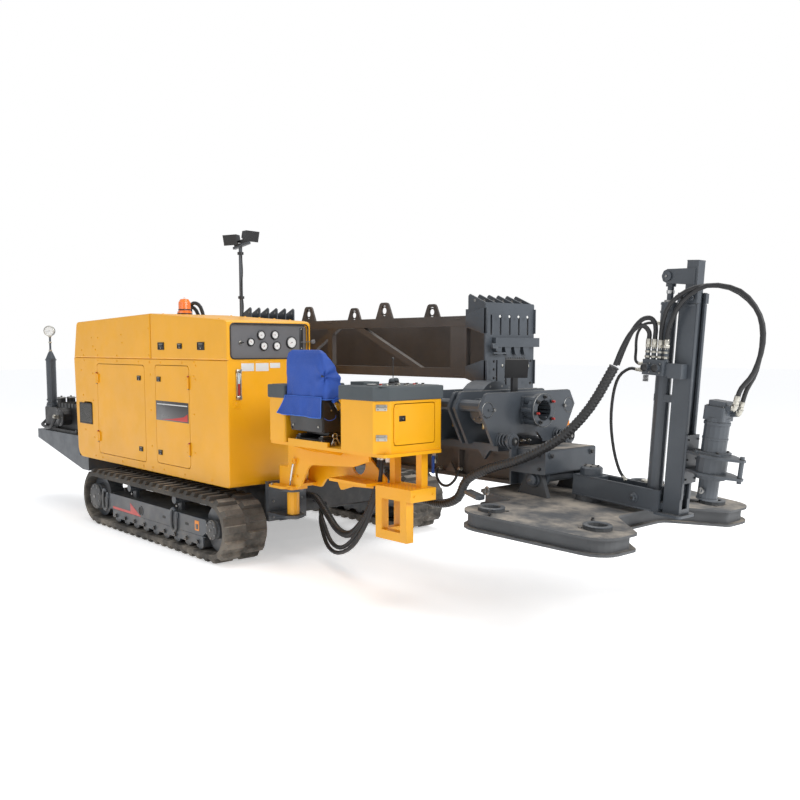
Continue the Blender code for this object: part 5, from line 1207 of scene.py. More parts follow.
    def _plates(self) -> None:
        """Stick the blank white plates with yellow heads under the gauges."""
        piece = Shapes("blank_stickers")
        x = self.front
        for low, high, bottom in ((-0.914, -0.804, 1.422), (-0.789, -0.675, 1.420), (-0.662, -0.571, 1.442)):
            piece.brick((x - 0.0002, x + 0.0010), (low, high), (bottom, 1.494), "blank_plate", 0.0004)
            piece.brick((x + 0.0006, x + 0.0014), (low, high), (1.480, 1.494), "yellow_paint", 0.0003)
        for a, b, c, d in ((-0.990, -0.925, 1.208, 1.211), (-0.990, -0.925, 1.143, 1.146),
                           (-0.990, -0.987, 1.143, 1.211), (-0.928, -0.925, 1.143, 1.211)):
            piece.brick((x - 0.0002, x + 0.0016), (a, b), (c, d), "yellow_paint", 0.0006)
        piece.brick((x - 0.0002, x + 0.004), (-0.970, -0.946), (1.160, 1.192), "yellow_paint", 0.0015)
        piece.finish("machine", "panel_grey")

    def _sight_gauge(self) -> None:
        """Mount the tank's upright sight gauge on the front."""
        piece = Shapes("sight_gauge")
        x, y = self.front, -0.942
        for low, high in ((y - 0.021, y - 0.011), (y + 0.011, y + 0.021)):
            piece.brick((x, x + 0.014), (low, high), (1.224, 1.424), "zinc", 0.002)
        for low, high in ((1.212, 1.240), (1.408, 1.436)):
            piece.brick((x, x + 0.020), (y - 0.021, y + 0.021), (low, high), "zinc", 0.003)
            middle = (low + high) / 2
            piece.rod((x + 0.018, y, middle), (x + 0.026, y, middle), 0.0095, "steel", 6, 0.001)
        piece.rod((x + 0.009, y, 1.236), (x + 0.009, y, 1.412), 0.0075, "sight_glass", 16)
        piece.rod((x + 0.009, y, 1.241), (x + 0.009, y, 1.330), 0.0079, "red_cap", 16)
        piece.brick((x, x + 0.003), (y - 0.011, y + 0.011), (1.238, 1.410), "dark_plate", 0.0008)
        piece.finish("machine", "steel")

    def _grilles(self) -> None:
        """Weave the side vent's mesh over a plate of painted shade, and set the louvres of the rear wall and
        left side with painted shade behind and under them.
        """
        vent = Shapes("side_vent")
        low_x, high_x, low_z, high_z = -1.546, -1.258, 0.880, 1.077
        y = self.side - 0.003
        for a, b, c, d in ((low_x, high_x, low_z, low_z + 0.014), (low_x, high_x, high_z - 0.014, high_z),
                           (low_x, low_x + 0.014, low_z, high_z), (high_x - 0.014, high_x, low_z, high_z)):
            vent.brick((a, b), (y - 0.002, y + 0.003), (c, d), "dark_parts_and_painted_shade", 0.001)
        for index in range(25):
            x = low_x + 0.014 + (high_x - low_x - 0.028) * index / 24
            vent.rod((x, y, low_z + 0.01), (x, y, high_z - 0.01), 0.0014, "steel", 6)
        for index in range(17):
            z = low_z + 0.014 + (high_z - low_z - 0.028) * index / 16
            vent.rod((low_x + 0.01, y + 0.0012, z), (high_x - 0.01, y + 0.0012, z), 0.0014, "steel", 6)
        # Painted shade: a dark plate behind the mesh fills the opening, where the hood's inside would lie in
        # shade.
        vent.brick((low_x + 0.008, high_x - 0.008), (y + 0.0022, y + 0.003),
                   (low_z + 0.008, high_z - 0.008), "dark_parts_and_painted_shade", 0.0002)
        vent.finish("machine", "black")
        rear = Shapes("rear_grille")
        lean = math.atan2(0.039, 0.944)
        wall = Matrix.Translation((-1.612, 0, 0.556)) @ Matrix.Rotation(-lean, 4, "Y")
        for a, b, c, d in ((-0.96, -0.35, 0.10, 0.13), (-0.96, -0.35, 0.80, 0.83),
                           (-0.96, -0.93, 0.10, 0.83), (-0.38, -0.35, 0.10, 0.83)):
            rear.brick((-0.009, 0.001), (a, b), (c, d), "black_paint", 0.002, wall)
        for index in range(18):
            z = 0.145 + index * 0.0372
            slat = wall @ Matrix.Translation((-0.004, 0, z)) @ Matrix.Rotation(math.radians(38), 4, "Y")
            rear.brick((-0.010, 0.004), (-0.932, -0.378), (-0.0015, 0.0015), "black_paint", 0.0008, slat)
        # Painted shade: a dark sheet behind the slats stands for the shaded inside seen between them.
        rear.brick((-0.0016, 0.0), (-0.94, -0.37), (0.12, 0.81), "dark_parts_and_painted_shade", 0.0004, wall)
        rear.finish("machine", "black")
        side = Shapes("left_louvres")
        for column in (-1.22, -0.62):
            for index in range(9):
                z = 0.80 + index * 0.06
                middle = Matrix.Translation((column + 0.22, self.left, z))
                turn = middle @ Matrix.Rotation(math.radians(-32), 4, "X")
                side.brick((-0.20, 0.20), (-0.004, 0.016), (-0.0015, 0.0015), "yellow_paint", 0.001, turn)
                # Painted shade: a dark strip under each slat stands for the shaded gap beneath it.
                side.brick((column + 0.022, column + 0.418), (self.left - 0.0002, self.left + 0.0012),
                           (z - 0.018, z - 0.002), "dark_parts_and_painted_shade", 0.0004)
        side.finish("machine", "yellow")

    def _beacon(self) -> None:
        """Give the beacon its foot, ribs, top cap and the clamp at its rim."""
        piece = Shapes("beacon_fittings")
        foot = Vector((-0.16, -0.65, 1.8769))
        piece.lathe([(0.0625, 0.002), (0.0655, 0.003), (0.0655, 0.010), (0.0625, 0.012)], foot, Z,
                    "black_plastic", 36)
        piece.lathe([(0.0505, 0.036), (0.0555, 0.038), (0.0555, 0.044), (0.0505, 0.047)], foot, Z,
                    "black_plastic", 36)
        for index in range(12):
            angle = math.tau * index / 12
            out = Vector((math.cos(angle), math.sin(angle), 0))
            piece.rod(foot + out * 0.0505 + Z * 0.048, foot + out * 0.0498 + Z * 0.106, 0.0014,
                      "amber_lens", 6)
        piece.lathe([(0, 0.147), (0.006, 0.146), (0.010, 0.1425), (0, 0.1425)], foot, Z, "amber_lens", 16)
        piece.finish("machine", "amber")

    def _hoses(self) -> None:
        """Hang the two hoses that loop up behind the beacon."""
        for index, (x, reach) in enumerate(((-0.68, 0.0), (-0.60, 0.03))):
            route = (at(x, self.left + 0.001, 1.60), at(x, self.left + 0.03, 1.60),
                     at(x, self.left + 0.08, 1.66), at(x - 0.02, self.left + 0.09, 1.80),
                     at(x - 0.05, self.left + 0.06, 1.94 + reach),
                     at(x - 0.14, self.left + 0.04, 1.98 + reach),
                     at(x - 0.24, self.left + 0.06, 1.93 + reach), at(x - 0.28, self.left + 0.09, 1.80),
                     at(x - 0.30, self.left + 0.08, 1.66), at(x - 0.30, self.left + 0.03, 1.60),
                     at(x - 0.30, self.left + 0.001, 1.60))
            Hose(f"roof_hose_{index}", route, 0.017, "machine").build()


# Station

def applied(thing: bpy.types.Object) -> None:
    """Make the evaluated shape the object's own and drop its modifiers."""
    finishes = list(thing.data.materials)
    mesh = bpy.data.meshes.new_from_object(thing.evaluated_get(bpy.context.evaluated_depsgraph_get()))
    thing.modifiers.clear()
    thing.data = mesh
    mesh.materials.clear()
    for finish in finishes:
        mesh.materials.append(finish)
    mesh.shade_smooth()


def rounded(corners: Sequence[tuple[float, float, float]], steps: int = 5) -> list[tuple[float, float]]:
    """Turn (u, v, radius) corners into an outline with arcs.

    Args:
        corners: The corners in turn, each with its radius.
        steps: How many steps an arc has.

    Returns:
        The outline's points.
    """
    made = []
    for index, (u, v, radius) in enumerate(corners):
        here = Vector((u, v))
        if radius <= 0:
            made.append((u, v))
            continue
        before = (Vector(corners[index - 1][:2]) - here).normalized()
        after = (Vector(corners[(index + 1) % len(corners)][:2]) - here).normalized()
        half = before.angle(after) / 2
        reach = radius / math.tan(half)
        middle = here + (before + after).normalized() * radius / math.sin(half)
        start, end = here + before * reach - middle, here + after * reach - middle
        turn = start.angle_signed(end)
        for step in range(steps + 1):
            spot = middle + Matrix.Rotation(-turn * step / steps, 2) @ start
            made.append((spot.x, spot.y))
    return made


@dataclass(frozen=True)
class Cushion:
    """One upholstered pad: its box before it swells, how far it may swell and its sewn channels."""

    name: str
    x: tuple[float, float]
    y: tuple[float, float]
    z: tuple[float, float]
    crown: int
    swell: float
    channels: tuple[float, ...]
    turn: Matrix

    def build(self) -> bpy.types.Object:
        """Swell the pad as cloth under pressure and sew its channels.

        Returns:
            The cushion.
        """
        piece = Shapes(self.name)
        piece.brick(self.x, self.y, self.z, "seat_black", 0.018, self.turn)
        thing = piece.finish("station", "black", ("seat",), 70.0)
        even = thing.modifiers.new("even", "REMESH")
        even.mode, even.voxel_size = "VOXEL", 0.007
        applied(thing)
        self._swell(thing)
        finer = thing.modifiers.new("finer", "SUBSURF")
        finer.levels = finer.render_levels = 1
        applied(thing)
        self._sew(thing.data)
        return thing

    def _swell(self, thing: bpy.types.Object) -> None:
        """Blow the pad up with cloth pressure, each point by no more than its cap."""
        rest = [v.co.copy() for v in thing.data.vertices]
        cloth = thing.modifiers.new("swell", "CLOTH")
        cloth.settings.quality = 5
        cloth.settings.use_pressure = True
        cloth.settings.uniform_pressure_force = 4.0
        cloth.settings.effector_weights.gravity = 0.0
        cloth.point_cache.frame_end = 20
        for step in range(1, 21):
            bpy.context.scene.frame_set(step)
        applied(thing)
        bpy.context.scene.frame_set(1)
        for vertex, start in zip(thing.data.vertices, rest):
            move = vertex.co - start
            if move.length > self.swell:
                vertex.co = start + move.normalized() * self.swell

    def _sew(self, mesh: bpy.types.Mesh) -> None:
        """Press a groove along each channel and along the piped border."""
        frame_of = MACHINE @ self.turn
        back = frame_of.inverted()
        across = 2 if self.crown == 1 else 1
        normal = frame_of.to_3x3() @ (Z if self.crown == 2 else Y)
        spans = ((self.x[0], self.x[1]), (self.y[0], self.y[1]) if across == 1 else (self.z[0], self.z[1]))
        middle = sum((self.y, self.z)[self.crown - 1]) / 2
        for vertex in mesh.vertices:
            spot = back @ vertex.co
            if spot[self.crown] < middle:
                continue
            edge = min(spot.x - spans[0][0], spans[0][1] - spot.x, spot[across] - spans[1][0],
                       spans[1][1] - spot[across])
            depth = 0.006 * math.exp(-((edge - 0.034) / 0.006) ** 2)
            if edge > 0.034:
                depth = max([depth, *(0.007 * math.exp(-((spot[across] - place) / 0.007) ** 2)
                                      for place in self.channels)])
            vertex.co -= normal * depth


@dataclass
class SeatCover:
    """The blue rain cover, drawn over the backrest like a pillow case, with a loose flap behind."""

    around: int = 168
    rows: int = 46
    sections: tuple = ((1.262, 1.836, 2.281, -1.004, -0.806), (1.35, 1.845, 2.279, -1.005, -0.822),
                       (1.42, 1.846, 2.278, -1.006, -0.848), (1.48, 1.848, 2.276, -1.005, -0.888),
                       (1.525, 1.853, 2.268, -1.002, -0.928), (1.558, 1.868, 2.248, -0.994, -0.948),
                       (1.576, 1.892, 2.222, -0.982, -0.962), (1.582, 1.915, 2.195, -0.974, -0.970))
    fold: tuple[float, float] = (2.262, 1.409)
    thick: float = 0.0012
    flap_top: float = 1.278
    flap_foot: float = 1.146

    def section(self, share: float) -> list[float]:
        """The height and the four sides of the bag at a share of its rise.

        Args:
            share: The share.

        Returns:
            The height, then left, right, back and front.
        """
        place = share * (len(self.sections) - 1)
        index = min(int(place), len(self.sections) - 2)
        low, high = self.sections[index], self.sections[index + 1]
        return [a + (b - a) * (place - index) for a, b in zip(low, high)]

    def point(self, turn: float, share: float) -> Vector:
        """A point of the bag by its turn round it and its share of the rise, creased.

        Args:
            turn: The share of a full turn.
            share: The share of the rise.

        Returns:
            The point.
        """
        z, left, right, back, front = self.section(share)
        angle = math.tau * turn
        squared = 2 / 6.0
        u = math.copysign(abs(math.cos(angle)) ** squared, math.cos(angle))
        v = math.copysign(abs(math.sin(angle)) ** squared, math.sin(angle))
        spot = Vector(((left + right) / 2 + u * (right - left) / 2,
                       (back + front) / 2 + v * (front - back) / 2, z))
        out = Vector((u ** 5 / (right - left), v ** 5 / (front - back), 0.25 * share ** 4))
        return spot + out.normalized() * self.crease(spot, u)

    def crease(self, spot: Vector, side: float) -> float:
        """How far the cloth stands in or out at a place.

        Args:
            spot: The place.
            side: How far to the side it lies, from -1 to 1.

        Returns:
            The distance outward.
        """
        near = Vector((spot.x - self.fold[0] + (spot.y + 0.96) * 0.6, spot.z - self.fold[1]))
        reach = near.length
        star = (0.013 * math.exp(-reach / 0.085) * math.cos(5 * math.atan2(near.y, near.x) + 0.6)
                * min(1.0, reach / 0.02))
        pinch = -0.016 * math.exp(-(reach / 0.030) ** 2)
        soft = 0.006 * noise.noise(spot * 7.0) + 0.003 * noise.noise(spot * 21.0 + X)
        drape = (0.0035 * math.sin(spot.x * 62 + 1.5 * math.sin(spot.z * 14))
                 * max(0.0, (1.40 - spot.z) / 0.14))
        gather = 0.008 * noise.noise(Vector((spot.y * 16, spot.z * 26, 3))) * max(0.0, side) ** 3
        return star + pinch + soft + drape * (1 - abs(side) ** 6) + gather

    def flap(self, share: float, drop: float) -> Vector:
        """A point of the flap by its share along the back and its drop from the seam.

        Args:
            share: The share along the back.
            drop: The share of the drop.

        Returns:
            The point.
        """
        left = self.section(0)[1] + 0.026 - 0.080 * drop ** 1.4
        x = left + (2.266 - left) * share
        wave = (0.007 * drop * math.sin(share * 21 + 0.8)
                + 0.004 * drop * noise.noise(Vector((share * 9, drop * 2, 5))))
        flare = 0.012 * drop * max(0.0, 1 - share * 3)
        foot = self.flap_foot + 0.010 * max(0.0, 1 - share * 2.2) - 0.003 * math.sin(share * 9)
        return Vector((x, -1.0105 - 0.008 * drop + wave - flare,
                       self.flap_top + (foot - self.flap_top) * drop))

    def sheet(self, name: str, wide: int, tall: int, place: Callable[[float, float], Vector]) -> Shapes:
        """Make a cloth from a grid, each of whose points goes where a rule says.

        Args:
            name: The cloth's name.
            wide: How many cells it has across.
            tall: How many it has down.
            place: The rule, from two shares to a place.

        Returns:
            The cloth, not yet finished.
        """
        shape = bmesh.new()
        bmesh.ops.create_grid(shape, x_segments=wide, y_segments=tall, size=0.5)
        for vertex in shape.verts:
            vertex.co = place(vertex.co.x + 0.5, vertex.co.y + 0.5)
        bmesh.ops.remove_doubles(shape, verts=shape.verts, dist=1e-5)
        piece = Shapes(name)
        piece.add(shape, "cover_blue")
        return piece

    def build(self) -> None:
        bag = self.sheet("seat_cover_cloth", self.around, self.rows, self.point)
        crest = [e for e in bag.bm.edges if e.is_boundary and min(v.co.z for v in e.verts) > 1.5]
        bmesh.ops.contextual_create(bag.bm, geom=crest)
        area = sum(face.calc_area() for face in bag.bm.faces)
        bag = bag.finish("station", "cover_blue", ("seat_cover",), 80.0)
        hem = Shapes("seat_cover_hem")
        steps = 90
        hem.tube([self.point(i / steps, 0.0) for i in range(steps + 1)], 0.0034, "cover_edge", 8, 1)
        hem.tube([self.flap(i / 40, 1.0) for i in range(41)], 0.0034, "cover_edge", 8, 1)
        for side in (0.0, 1.0):
            hem.tube([self.flap(side, i / 12) for i in range(13)], 0.0030, "cover_edge", 8, 1)
        hem.tube([self.flap(i / 40, 0.0) + Vector((0, -0.0006, 0)) for i in range(41)], 0.0018,
                 "cover_edge", 6, 1)
        hem.tube([self.point(0.895, i / 30) for i in range(30)], 0.0016, "cover_blue", 6, 1)
        hem.tube([self.point(0.605, i / 30) for i in range(30)], 0.0016, "cover_blue", 6, 1)
        hem.tube([(2.262, -0.985, 1.142), (2.285, -0.970, 1.128), (2.305, -0.95, 1.132),
                  (2.312, -0.93, 1.145), (2.295, -0.915, 1.160)], 0.0016, "cover_blue", 6, 4)
        hem = hem.finish("station", "cover_blue")
        flap = self.sheet("seat_cover_flap", 60, 18, self.flap)
        flap_area = sum(face.calc_area() for face in flap.bm.faces)
        flap = flap.finish("station", "cover_blue", (), 80.0)
        for cloth in (bag, flap):
            wall = cloth.modifiers.new("wall", "SOLIDIFY")
            wall.thickness, wall.offset = self.thick, -1.0
            applied(cloth)
        log.info("cover cloth %.3f m2, flap %.3f m2", area, flap_area)


@dataclass
class Station:
    """The operator's seat and the consoles' fittings."""

    back: float = -0.992

    def build(self) -> None:
        """Build the seat, its cover and the fittings of both consoles."""
        hinge = Vector((0, -0.945, 1.06))
        lean = (Matrix.Translation(hinge) @ Matrix.Rotation(math.radians(2.0), 4, "X")
                @ Matrix.Translation(-hinge))
        Cushion("seat_pan", (1.905, 2.235), (-0.905, -0.545), (1.062, 1.118), 2, 0.014, (-0.80, -0.66),
                Matrix.Identity(4)).build()
        Cushion("seat_back", (1.920, 2.220), (-0.962, -0.906), (1.105, 1.455), 1, 0.012, (1.20, 1.32),
                lean).build()
        self._shell()
        SeatCover().build()
        self._console()
        self._step()
        self._swing()
        self._tray()

    def _shell(self) -> None:
        """Make the seat's bucket shell, its slides, belt and bolts."""
        piece = Shapes("seat_shell")
        back = rounded(((1.888, 1.046, 0.085), (2.252, 1.046, 0.02), (2.252, 1.475, 0.05),
                        (1.888, 1.475, 0.05)))
        piece.plate(back, "y", self.back, self.back + 0.014, "black_plastic", 0.004)
        for low, high in ((1.886, 1.902), (2.240, 2.256)):
            side = rounded(((-0.985, 1.046, 0.02), (-0.545, 1.046, 0.05), (-0.545, 1.125, 0.03),
                            (-0.80, 1.160, 0.10), (-0.885, 1.300, 0.06), (-0.905, 1.46, 0.02),
                            (-0.985, 1.46, 0.02)))
            piece.plate(side, "x", low, high, "black_plastic", 0.005)
        piece.brick((1.892, 2.250), (-0.985, -0.540), (1.044, 1.060), "black_plastic", 0.006)
        piece.brick((1.95, 2.20), (-0.90, -0.56), (1.018, 1.044), "black_plastic", 0.004)
        for x in (1.945, 2.195):
            piece.brick((x - 0.022, x + 0.022), (-0.965, -0.54), (0.994, 1.012), "black_paint", 0.003)
            piece.brick((x - 0.014, x + 0.014), (-0.955, -0.55), (1.010, 1.020), "steel", 0.003)
        piece.brick((1.905, 2.235), (-0.962, -0.545), (0.9765, 0.9945), "black_paint", 0.004)
        for x in (1.93, 2.21):
            piece.rod((x, -0.9625, 0.985), (x, -0.970, 0.985), 0.0065, "chrome", 12, 0.001)
            piece.rod((x, self.back - 0.004, 1.082), (x, self.back, 1.082), 0.0075, "zinc", 6, 0.001)
        piece.rod((2.2575, -0.925, 1.19), (2.262, -0.925, 1.19), 0.006, "zinc", 10, 0.001)
        piece.finish("station", "black", ("seat",))
        belt = Shapes("seat_belt")
        route = (Vector((2.268, -0.800, 1.07)), Vector((2.276, -0.825, 1.12)),
                 Vector((2.280, -0.855, 1.175)), Vector((2.281, -0.874, 1.205)))
        for a, b in zip(route, route[1:]):
            belt.rod(a, b, 0.011, "black_plastic", 10)
        turn = Matrix.Translation((2.283, -0.895, 1.226)) @ Matrix.Rotation(math.radians(30), 4, "X")
        belt.brick((-0.008, 0.010), (-0.021, 0.021), (-0.038, 0.030), "chrome", 0.007, turn)
        belt.brick((-0.010, 0.012), (-0.023, 0.023), (0.024, 0.046), "blue_handle", 0.006, turn)
        belt.finish("station", "black")
        hook = Shapes("belt_anchor")
        hook.ring((2.272, -0.905, 1.022), X, 0.017, 0.0042, "chrome", 24, 8)
        hook.rod((2.272, -0.915, 1.005), (2.272, -0.935, 0.962), 0.0050, "chrome", 10, 0.001)
        hook.rod((2.272, -0.890, 1.008), (2.272, -0.868, 0.962), 0.0050, "chrome", 10, 0.001)
        hook.rod((2.262, -0.900, 0.957), (2.262, -0.900, 0.985), 0.011, "zinc", 6, 0.002)
        hook.finish("station", "steel")

    def _console(self) -> None:
        """Put hinges, latch, lip and levers on the consoles."""
        piece = Shapes("console_fittings")
        start, end = Vector((2.770, -1.002, 0)), Vector((2.845, -0.927, 0))
        middle, out = (start + end) / 2, Vector((1, -1, 0)).normalized()
        along = Vector((1, 1, 0)).normalized()
        turn = Matrix((along, -out, Z)).transposed().to_4x4()
        for z in (1.236, 1.053):
            place = Matrix.Translation(middle + Z * z) @ turn
            piece.brick((-0.034, 0.034), (-0.005, 0.0005), (-0.019, 0.019), "zinc", 0.002, place)
            piece.rod(place @ Vector((-0.034, -0.006, 0.0)), place @ Vector((0.034, -0.006, 0.0)), 0.0048,
                      "zinc", 12, 0.001)
            for u in (-0.021, 0.021):
                for w in (-0.011, 0.011):
                    spot = place @ Vector((u, -0.005, w))
                    piece.lathe([(0, 0.0028), (0.0030, 0.0020), (0.0042, 0.0), (0, -0.0005)], spot, out,
                                "steel", 10)
        for y, z in ((-0.905, 1.257), (-0.55, 1.257), (-0.95, 0.972), (-0.53, 0.972)):
            piece.lathe([(0, 0.004), (0.004, 0.003), (0.006, 0), (0, -0.001)], (2.845, y, z), X,
                        "yellow_paint", 10)
        piece.finish("station", "yellow")
        door = Shapes("console_latch")
        door.brick((2.8452, 2.849), (-0.890, -0.806), (1.150, 1.184), "black_plastic", 0.004)
        door.brick((2.8485, 2.8515), (-0.880, -0.816), (1.156, 1.176), "black_plastic", 0.003)
        door.brick((2.8505, 2.853), (-0.874, -0.846), (1.159, 1.173), "dark_parts_and_painted_shade", 0.002)
        door.rod((2.8505, -0.828, 1.166), (2.8535, -0.828, 1.166), 0.005, "steel", 12, 0.0008)
        door.finish("station_door", "black")
        tops = Shapes("console_tops")
        for low_x, high_x, top in ((1.668, 1.828, 1.345), (2.462, 2.835, 1.362)):
            tops.brick((low_x, high_x), (-0.985, -0.51), (top - 0.001, top + 0.0025), "console_pad", 0.002)
        tops.rod((2.498, -0.60, 1.362), (2.498, -0.60, 1.392), 0.010, "black_plastic", 14, 0.002, 0.006)
        tops.rod((2.498, -0.60, 1.390), (2.498, -0.60, 1.520), 0.0032, "black_plastic", 8)
        tops.lathe([(0, 0.010), (0.007, 0.007), (0.0085, 0), (0.005, -0.007), (0, -0.008)],
                   (2.498, -0.60, 1.524), Z, "black_plastic", 14)
        for x, y in ((2.55, -0.62), (2.62, -0.72)):
            foot = Vector((x, y, 1.362))
            tops.lathe([(0.030, 0.0), (0.030, 0.004), (0.024, 0.010), (0.019, 0.013), (0.021, 0.018),
                        (0.016, 0.023), (0.018, 0.028), (0.011, 0.034), (0, 0.034)], foot, Z, "hose_rubber",
                       24)
        caps = ("red_cap", "black_plastic", "zinc", "black_plastic", "black_plastic")
        for row in range(2):
            for index in range(5):
                spot = Vector((2.70 + row * 0.06, -0.88 + index * 0.075, 1.364))
                tops.rod(spot, spot + Z * 0.003, 0.013, "zinc", 16, 0.0006)
                tops.rod(spot + Z * 0.003, spot + Z * 0.011, 0.0095, caps[(index + row * 2) % 5], 16, 0.0015)
        tops.lathe([(0.036, 0), (0.036, 0.006), (0.032, 0.008), (0.0, 0.008)], (2.64, -0.90, 1.3635), Z,
                   "black_plastic", 28)
        tops.rod((2.64, -0.90, 1.3700), (2.64, -0.90, 1.3722), 0.030, "dial_white", 28)
        tops.brick((1.70, 1.79), (-0.86, -0.70), (1.3465, 1.352), "panel_grey", 0.003)
        for index in range(4):
            spot = Vector((1.745, -0.835 + 0.037 * index, 1.352))
            tops.rod(spot, spot + Z * 0.007, 0.0075, "black_plastic", 14, 0.0015)
        tops.finish("station", "console_pad")
        under = Shapes("console_fittings_under")
        for x, y, finish, size in ((2.36, -0.60, "zinc", 0.017), (2.41, -0.62, "zinc", 0.016),
                                   (2.30, -0.56, "steel", 0.030)):
            under.rod((x, y, 0.934), (x, y, 0.910), size, finish, 6, 0.002)
        under.rod((2.447, -0.60, 0.934), (2.447, -0.60, 0.842), 0.018, "blank_plate", 18, 0.004)
        under.finish("station", "steel")

    def _step(self) -> None:
        """Raise the treads of the step and edge its frame."""
        piece = Shapes("step_treads")
        for row in range(7):
            for column in range(10):
                spot = Vector((2.485 + column * 0.0322, -0.700 + row * 0.030, 0.7045))
                piece.lathe([(0.0100, 0), (0.0080, 0.0018), (0.0050, 0.0020), (0.0038, 0.0005),
                             (0, 0.0005)], spot, Z, "yellow_paint", 10)
        for spot in ((2.80, -0.69, 0.662), (2.80, -0.53, 0.662)):
            piece.bolts([Vector(spot)], X, 0.007, "yellow_paint")
        piece.finish("station", "yellow")

    def _swing(self) -> None:
        """Hang the locking rod beside the swing post and bolt its plates."""
        piece = Shapes("swing_lock")
        eye = Vector((1.640, -0.793, 0.790))
        piece.ring(eye, Y, 0.016, 0.006, "yellow_paint", 22, 8)
        piece.rod(eye - Z * 0.02 + Vector((-0.004, 0, 0)), (1.600, -0.793, 0.640), 0.0085, "chrome", 14,
                  0.002)
        piece.rod((1.600, -0.793, 0.640), (1.594, -0.793, 0.600), 0.006, "steel", 12, 0.002)
        piece.brick((1.570, 1.640), (-0.815, -0.776), (0.600, 0.608), "yellow_paint", 0.003)
        for z in (0.580, 0.592):
            piece.rod((1.42, -0.83, z + 0.012), (1.42, -0.83, z + 0.020), 0.012, "steel", 6, 0.001)
        piece.finish("station", "yellow")
        post = Shapes("swing_post_rings")
        for z in (0.5685, 0.340):
            post.lathe([(0.031, 0), (0.044, 0), (0.044, 0.006), (0.031, 0.006)], (1.50, -0.70, z), Z,
                       "steel", 28)
        post.bolts([(1.2995, y, z) for y in (-0.74, -0.60, -0.48) for z in (0.33, 0.45)], X, 0.009, "steel")
        post.finish("machine", "slate")

    def _tray(self) -> None:
        """Weld the ribs under the seat and the seams of the swing arm."""
        piece = Shapes("tray_ribs")
        for x in (1.93, 2.06, 2.19):
            rib = rounded(((-0.992, 0.934, 0.0), (-0.78, 0.934, 0.0), (-0.78, 0.872, 0.02),
                           (-0.90, 0.902, 0.05)))
            piece.plate(rib, "x", x - 0.005, x + 0.005, "yellow_paint", 0.002)
        piece.tube([(1.57 + i * 0.035, -0.778, 0.932) for i in range(25)], 0.004, "yellow_paint", 6, 1,
                   lambda i: 1.0 + 0.12 * math.sin(i * 2.4))
        for x in (1.61, 1.66):
            piece.bolts([(x, -0.7755, 0.68)], -Y, 0.010, "yellow_paint")
        piece.finish("station", "yellow")


# Tracks

